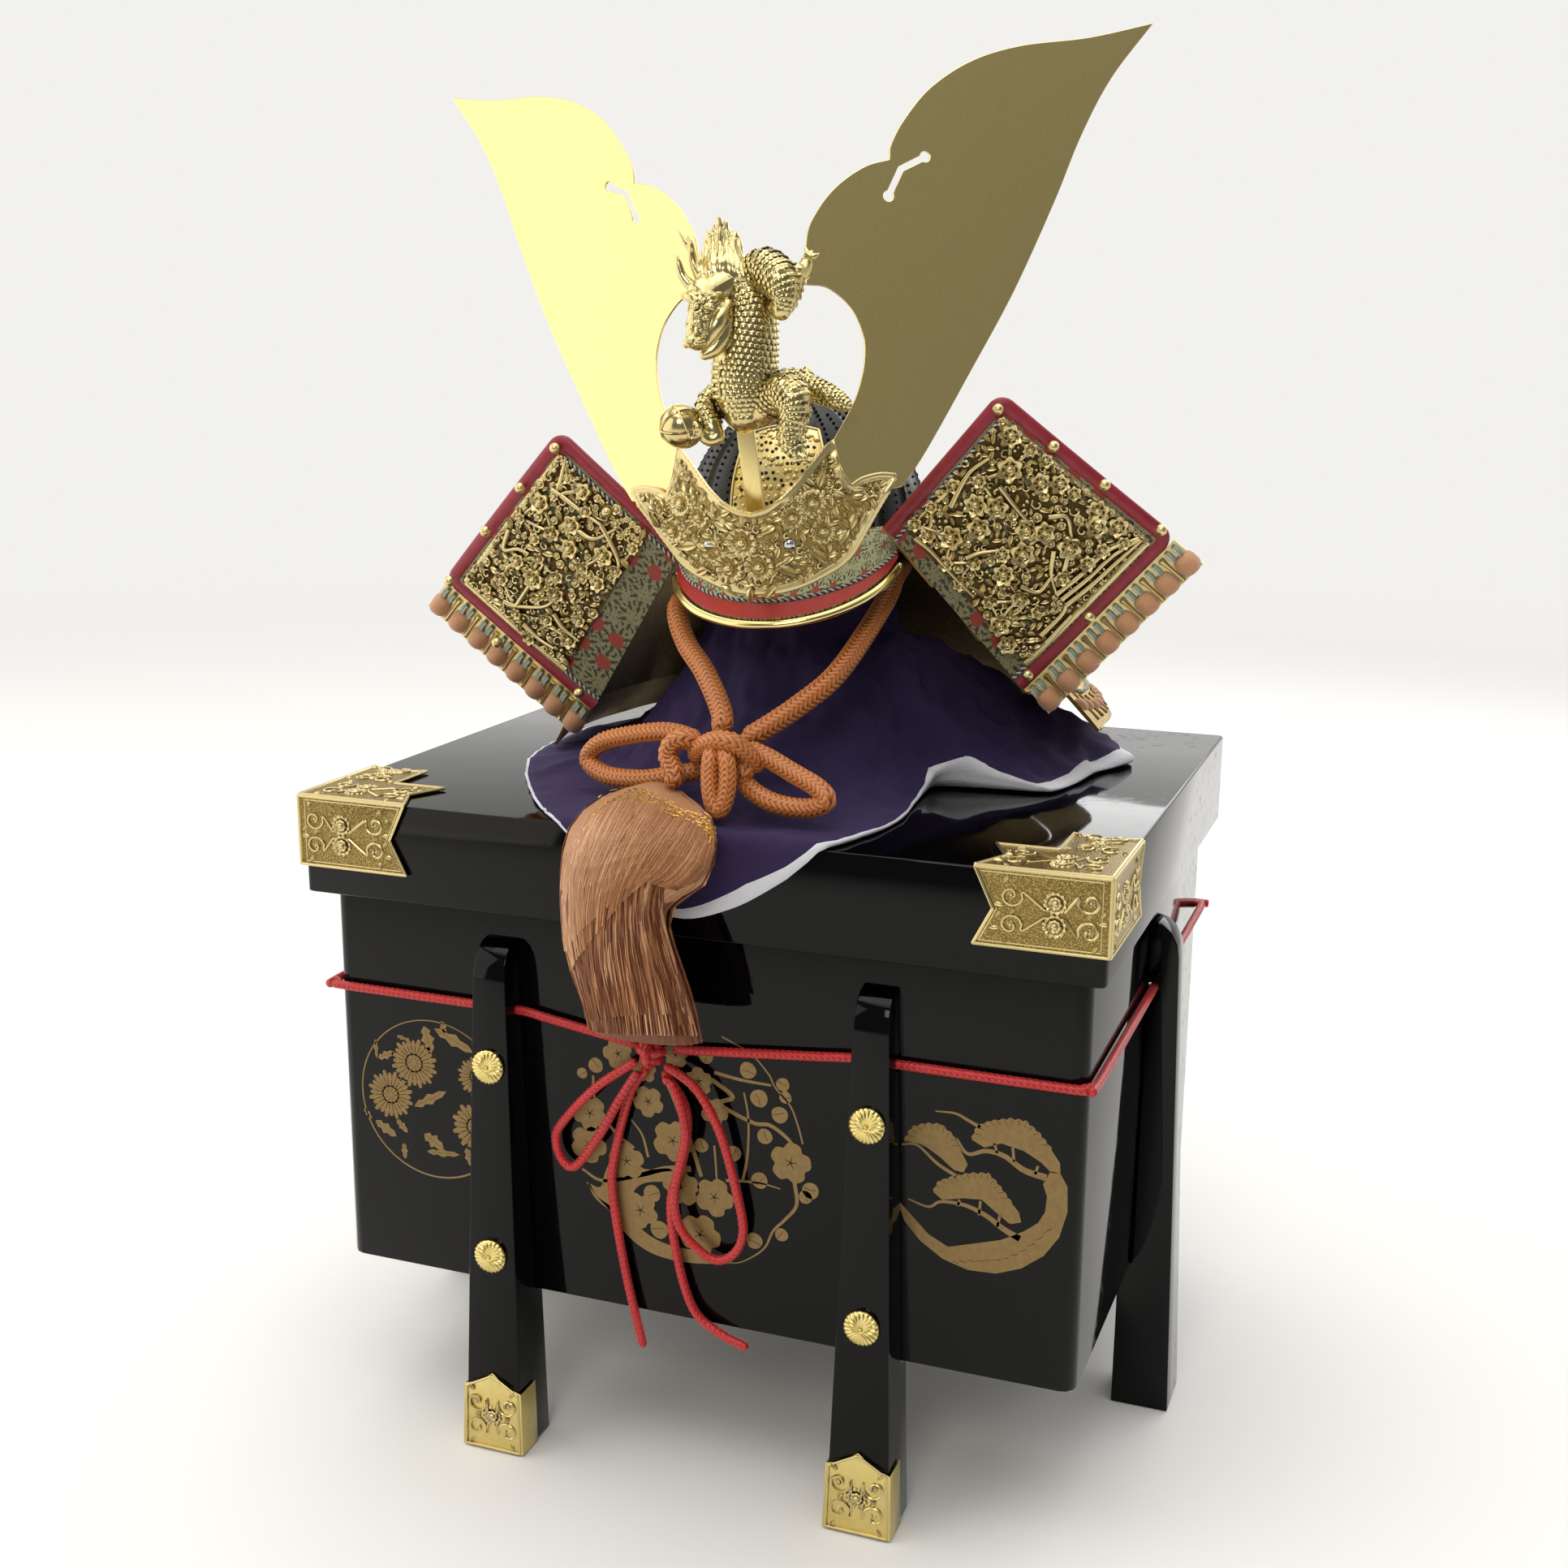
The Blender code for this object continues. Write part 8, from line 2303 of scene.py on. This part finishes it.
def buildFootCap(name, sign):
    # The shoe of a leg: gilt sheet round three sides, its top edge peaked, with a raised spray.
    c = chest
    piece = refine(f"foot_cap_{name}_sheet", f"foot_cap_{name}", finish["brass"], 0.0002, 2, 30)
    place(piece, "cast_gilt", f"foot_cap_{name}")
    heap = Heap()
    out = 0.0012
    face = wallFront - legOut(0.015) - out

    def at(u, z):
        return Vector((sign * c["legX"] + u * legHalf(z), wallFront - legOut(z) - out, z))

    wide, foot, corner, peak = 0.97, 0.0014, c["capCorner"] - 0.0006, at(0, c["capPeak"] - 0.0010)
    sides = [(at(-wide, foot), at(wide, foot))] + [(at(s, foot), at(s, corner)) for s in (-wide, wide)]
    for a, b in sides + [(at(s, corner), peak) for s in (-wide, wide)]:
        heap.tube([a, a.lerp(b, 0.5), b], 0.00055, 8)
    normal = Vector((0, -1, 0.03)).normalized()
    scrollSpray(heap, Vector((sign * c["legX"], face, 0.0155)), Vector((1, 0, 0)), Vector((0, 0, 1)), normal,
                0.022, 0.026, [(0, 0.05, 0.0046)])
    heap.piece(f"foot_cap_{name}_relief", finish["cast"], 50, "cast_gilt")


def buildFitting(name, sign):
    # Corner mount of the lid: three leaves of punched sheet with a rod edge and a raised spray on each.
    c = chest
    piece = refine(f"corner_fitting_{name}_sheet", f"corner_fitting_{name}", finish["ground"], 0.00025, 2, 30)
    place(piece, "cast_gilt", f"corner_fitting_{name}")
    x1, y1 = c["lid"][0] / 2 + c["gap"] + c["sheet"], -(c["lid"][1] / 2 + c["gap"] + c["sheet"])
    top, low = c["lid"][2] + c["gap"] + c["sheet"], c["lid"][2] - c["fitDrop"]
    middle = c["lid"][2] - c["fitDrop"] / 2
    heap = Heap()

    def flip(x, y, z):
        return Vector((sign * x, y, z))

    x2, y2 = x1 - c["fitFront"], y1 + c["fitSide"]
    # The rods run this far inside the sheet's outline.
    inset = 0.0006
    xIn, yIn, zLow, zTop = x1 - inset, y1 + inset, low + inset, top - inset
    xArm, yArm, notch = x1 - c["armY"], y1 + c["armX"], c["notch"]
    front = [(xIn, y1, zLow), (x2, y1, zLow), (x2 + notch, y1, middle), (x2, y1, zTop), (xIn, y1, zTop)]
    flank = [(x1, yIn, zLow), (x1, y2, zLow), (x1, y2 - notch, middle), (x1, y2, zTop), (x1, yIn, zTop)]
    cover = [(xIn, yIn, top), (x2, yIn, top), (x2 + notch, y1 + c["armX"] / 2, top), (x2, yArm, top),
             (xArm, yArm, top), (xArm, y2, top), (x1 - c["armY"] / 2, y2 - notch, top), (xIn, y2, top)]
    for outline in [[flip(*p) for p in points] for points in (front, flank, cover)]:
        rodBorder(heap, outline, 0.00065)
        centre = sum(outline, Vector()) / len(outline)
        if len(outline) < 6:
            rodBorder(heap, [p.lerp(centre, 0.10) for p in outline], 0.00028)
    up = Vector((0, 0, 1))
    scrollSpray(heap, flip((x1 + x2) / 2 + 0.002, y1, middle), Vector((-sign, 0, 0)), up, Vector((0, -1, 0)),
                0.043, 0.024, [(-0.12, 0.34, 0.0047), (-0.12, -0.36, 0.0049)])
    scrollSpray(heap, flip(x1, (y1 + y2) / 2 - 0.002, middle), Vector((0, 1, 0)), up, Vector((sign, 0, 0)),
                0.049, 0.024, [(-0.12, 0.34, 0.0047), (-0.12, -0.36, 0.0049)])
    scrollSpray(heap, flip((x1 + x2) / 2, y1 + c["armX"] / 2, top), Vector((-sign, 0, 0)),
                Vector((0, 1, 0)), up, 0.042, 0.025, [(-0.2, 0.30, 0.0046), (-0.2, -0.36, 0.0048)])
    scrollSpray(heap, flip(x1 - c["armY"] / 2, (y2 + y1 + c["armX"]) / 2, top), Vector((0, 1, 0)),
                Vector((sign, 0, 0)), up, 0.026, 0.023, [(0.0, 0.0, 0.0042)])
    heap.piece(f"corner_fitting_{name}_relief", finish["cast"], 50, "cast_gilt")


buildChest()


def buildBowl():
    # Riveted plates of black iron, each with a standing rib, under a round cap.
    b = bowl
    count = b["ribs"] * b["perRib"]
    turns = 2 * np.pi * np.arange(count) / count
    away = np.abs((turns * b["ribs"] / (2 * np.pi) + 0.5) % 1 - 0.5) * 2 * np.pi / b["ribs"]
    profile = [(b["radius"], b["centre"] - b["skirt"], 0.6)]
    profile += [(b["radius"], b["centre"] - b["skirt"] * (1 - k / 4), 1.0) for k in range(1, 4)]
    for tall in np.radians(np.arange(0, 90, 4.0)):
        profile.append((b["radius"] * math.cos(tall), b["centre"] + b["radius"] * math.sin(tall),
                        max(0.0, min(1.0, (b["capEdge"] - math.degrees(tall)) / 6))))
    rings = []
    for r, z, share in profile:
        rib = b["ribOut"] * share * np.exp(-(away * r / b["ribHalf"]) ** 4)
        swell = 0.0005 * share * np.sin(np.clip(away * b["ribs"] / np.pi, 0, 1) * np.pi / 2)
        reach = r + (rib + swell) * max(0.2, r / b["radius"])
        rise = (rib * 0.7) * (z - b["centre"]) / b["radius"] if z > b["centre"] else 0
        rings.append(np.stack([reach * np.cos(turns), reach * np.sin(turns), np.full(count, z) + rise], 1))
    inner = [np.stack([(r - b["wall"]) * np.cos(turns), (r - b["wall"]) * np.sin(turns),
                       np.full(count, z - b["wall"] * 0.8)], 1) for r, z, share in profile[::-3] if r > 0.008]
    inner[-1][:, 2] = rings[0][:, 2]
    total = len(rings) + len(inner)
    faces = gridFaces(total, count)
    faces += [((total - 1) * count + i, (total - 1) * count + (i + 1) % count, (i + 1) % count, i)
              for i in range(count)]
    heap = Heap()
    heap.add(np.concatenate(rings + inner), faces, seatMatrix)
    form = domeForm(b["rivet"], 1, 7, 3)
    for k in range(b["ribs"]):
        for side in (-0.5, 0.5):
            turn = 2 * math.pi * (k + side * 0.42 + 0.5) / b["ribs"]
            rows = int(math.radians(b["rivetTop"]) * b["radius"] / b["rivetPitch"])
            for j in range(-2, rows):
                tall = max(0.0, j * b["rivetPitch"] / b["radius"])
                drop = 0.0 if j >= 0 else j * b["rivetPitch"]
                if tall > math.radians(60) and side > 0:
                    continue
                out = Vector((math.cos(tall) * math.cos(turn), math.cos(tall) * math.sin(turn),
                              math.sin(tall)))
                spot = Vector((0, 0, b["centre"] + drop)) + out * (b["radius"] + 0.0004)
                heap.add(*form, seatMatrix @ axesAt(spot, out))
    sides = 48
    turns = 2 * np.pi * np.arange(sides) / sides
    verts = np.concatenate([np.stack([r * np.cos(turns), r * np.sin(turns), np.full(sides, z)], 1)
                            for r, z in b["cap"]])
    faces = gridFaces(len(b["cap"]), sides) + [tuple(range(sides))[::-1]]
    heap.add(verts, faces, seatMatrix @ Matrix.Translation((0, 0, b["centre"] + b["radius"] - 0.0010)))
    heap.piece("bowl_riveted", finish["iron"], 50, "black_iron", "bowl")


def buildFrontPlate():
    # Pierced gilt plate over the brow: small blossoms and beads between the holes.
    b = bowl
    rnd = random.Random(9)
    reach = b["radius"] + b["ribOut"] + 0.0006 + b["plateThick"] / 2
    spread = math.asin(b["plateHalf"] / reach)

    def at(u, v, lift=0.0):
        tall = math.radians(b["plateFrom"] + (b["plateTo"] - b["plateFrom"]) * v)
        turn = spread * u
        out = Vector((math.cos(tall) * math.sin(turn), -math.cos(tall) * math.cos(turn), math.sin(tall)))
        return seatMatrix @ (Vector((0, 0, b["centre"])) + out * (reach + lift)), seatMatrix.to_3x3() @ out

    grid = np.array([[at(u, v * (1 - b["plateCurve"] * u * u))[0] for u in np.linspace(-1, 1, 33)]
                     for v in np.linspace(0, 1, 25)])
    heap = Heap()
    verts, faces = slab(grid, gridNormals(grid, (0, -1, 0.5)), b["plateThick"])
    heap.add(verts, faces)
    hole = domeForm(b["hole"], 0.5, 10, 2)
    rows, columns = b["plateRows"], b["plateColumns"]
    for j in range(rows):
        for i in range(columns):
            u, v = -0.92 + 1.84 * (i + 0.5 * (j % 2)) / columns, 0.06 + 0.86 * j / (rows - 1)
            point, normal = at(u + rnd.uniform(-0.03, 0.03), v + rnd.uniform(-0.02, 0.02),
                               b["plateThick"] / 2)
            kind = (i * 5 + j * 3) % 7
            if kind in (0, 3, 5):
                heap.add(*hole, axesAt(point, normal), slotIndex=1)
            elif kind == 1:
                addFlower(heap, point, normal, rnd.uniform(*b["blossoms"]), rnd.random())
            else:
                heap.add(*domeForm(rnd.uniform(*b["beads"]), 0.7, 8, 3), axesAt(point, normal))
    edge = [at(u, 0.015, 0.0004)[0] for u in np.linspace(-0.98, 0.98, 30)]
    edge += [at(0.98, v, 0.0004)[0] for v in np.linspace(0.03, 0.90, 20)]
    edge += [at(u, (1 - b["plateCurve"] * u * u) * 0.99, 0.0004)[0] for u in np.linspace(0.98, -0.98, 30)]
    edge += [at(-0.98, v, 0.0004)[0] for v in np.linspace(0.90, 0.03, 20)]
    heap.tube(edge, b["plateRim"], 8)
    heap.piece("bowl_front_plate_pierced", [finish["cast"], finish["iron"]], 50, "cast_gilt",
               "bowl_front_plate")


buildBowl()
buildFrontPlate()
print("bowl riveted")


# Neck guard: stations of its right half, front to back, at its top, at the foot of lame 3 and at the hem.
neck = {
    "half": 0.1225, "back": 0.135, "top": 0.1035, "thick": 0.0013, "tuck": 0.012, "step": 0.0031,
    "lap": 0.07,
    "stations": [
        ((0.45, -0.10, 1.0), (0.86, 0.02, 0.30), (0.990, 0.060, 0.140)),
        ((0.417, 0.098, 1.0), (0.882, 0.193, 0.290), (1.0, 0.222, 0.140)),
        ((0.334, 0.265, 1.0), (0.80, 0.46, 0.290), (0.925, 0.50, 0.140)),
        ((0.216, 0.353, 1.0), (0.62, 0.69, 0.290), (0.730, 0.77, 0.140)),
        ((0.0, 0.3825, 1.0), (0.0, 0.874, 0.290), (0.0, 1.0, 0.140))],
    "scaleRise": 0.00045, "puff": (0.0074, 0.0078, 0.0030), "flank": 174, "cord": (0.0009, 0.0040),
    "front": (0.980, -0.037, 0.130), "scaleWide": 0.0042, "rows": 6, "columns": 400, "puffPitch": 0.0088,
}


def lameLine(level, down, step):
    # From the left front round the back to the right front, between two levels of the guard.
    n = neck
    size = Vector((n["half"], n["back"], n["top"]))
    back = (turnback["thick"] + n["thick"]) / 2 + 0.0006
    if level == 0:
        front = turnLocal(1, down, 1.0)
        front += Vector((0, back, -turnback["shift"]))
    else:
        top = turnLocal(1, 0.97, 0.90) + Vector((0, back + n["tuck"], -turnback["shift"]))
        front = top.lerp(Vector(n["front"]) * size, down)
    half = [front]
    for row in n["stations"]:
        half.append((Vector(row[level]) * size).lerp(Vector(row[level + 1]) * size, down))
    moved = []
    for i, p in enumerate(half):
        out = Vector((p.x, p.y, 0)).normalized() if i else Vector((1, 0.3, 0)).normalized()
        moved.append(p + out * n["step"] * step)
    return [Vector((-p.x, p.y, p.z)) for p in moved[:-1]] + moved[::-1]


def lameGrid(ends):
    first, last = [evenRoute(smoothRoute(line, 0.002), 0.0008)[0] for line in ends]
    marks = np.linspace(0, 1, neck["columns"])

    def spaced(line):
        return np.stack([np.interp(marks, np.linspace(0, 1, len(line)), line[:, i]) for i in range(3)], 1)

    first, last = spaced(first), spaced(last)
    grid = np.array([first + (last - first) * k / (neck["rows"] - 1) for k in range(neck["rows"])])
    flat = np.array(seatMatrix)
    return grid @ flat[:3, :3].T + flat[:3, 3]


def buildNeckGuard():
    n = neck
    rnd = random.Random(31)
    spans = [(lameLine(0, k / 3 - (n["lap"] if k else 0), 1.0 if k else 0.0), lameLine(0, (k + 1) / 3, 0.0))
             for k in range(3)]
    spans.append((lameLine(1, 0.0, 0.70), lameLine(1, 1.0, 0.0)))
    for k, ends in enumerate(spans):
        grid = lameGrid(ends)
        normals = gridNormals(grid, (0, 1, 0.5))
        wide = np.concatenate([[0], np.cumsum(np.linalg.norm(np.diff(grid[-1], axis=0), axis=1))])
        scale = (wide / n["scaleWide"]) % 1
        rise = n["scaleRise"] * np.sqrt(np.maximum(0, 1 - (2 * scale - 1) ** 4))
        fade = np.interp(np.arange(len(grid)), [0, 1, len(grid) - 2, len(grid) - 1], [0.3, 1, 1, 0.2])
        verts, faces = slab(grid, normals, n["thick"], fade[:, None] * rise[None, :])
        heap = Heap()
        heap.add(verts, faces)
        silk = Heap()
        deep = float(np.linalg.norm(grid[-1, n["flank"]] - grid[0, n["flank"]]))
        puffs = int(wide[-1] / n["puffPitch"])
        low, high = (0.42, 0.90) if k < 3 else (0.35, 0.85)
        for j in range(puffs):
            i = int(round(np.interp((j + 0.5) / puffs * wide[-1], wide, np.arange(n["columns"]))))
            i = min(max(i, 2), n["columns"] - 3)
            point = Vector(grid[0, i]).lerp(Vector(grid[-1, i]), (low + high) / 2)
            up = Vector(normals[len(grid) // 2, i])
            along = (Vector(grid[3, i + 2]) - Vector(grid[3, i - 2])).normalized()
            across = (Vector(grid[-1, i]) - Vector(grid[0, i])).normalized()
            spot = point + up * (n["thick"] / 2 + 0.0003)
            length, width, height = n["puff"]
            puffForm(silk, spot, along, across, up, length, min(width, deep * (high - low)), height, rnd)
            i = int(round(np.interp((j + 1) / puffs * wide[-1], wide, np.arange(n["columns"]))))
            if 0 < i < n["columns"] - 1:
                over = Vector(normals[len(grid) // 2, i]) * (n["thick"] / 2 + 0.0006)
                bar = [Vector(grid[0, i]).lerp(Vector(grid[-1, i]), s) + over
                       for s in np.linspace(low - 0.02, min(high + 0.05, 0.97), 4)]
                heap.tube(bar, 0.0006, 6)
        cord = (grid[0] + (grid[-1] - grid[0]) * 0.2)[3:-3] + normals[1, 3:-3] * (n["thick"] / 2 + 0.0011)
        twist(silk, cord, *n["cord"], (1, 2))
        edge = grid[-1] + normals[-1] * 0.0002
        heap.tube(edge[::4], 0.0009, 6)
        heap.piece(f"neck_lame_{k + 1}_scales", finish["scale"], 40, "laced_scales", f"neck_lame_{k + 1}")
        silks = [finish["puffSilk"], finish["greenSilk"], finish["whiteSilk"]]
        silk.piece(f"neck_lame_{k + 1}_lacing", silks, 60, "laced_scales")
    print("neck guard laced")


buildNeckGuard()


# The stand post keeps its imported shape, hidden under the cloth.
for slot in cadNodes["stand_post"].material_slots:
    slot.material = finish["wood"]
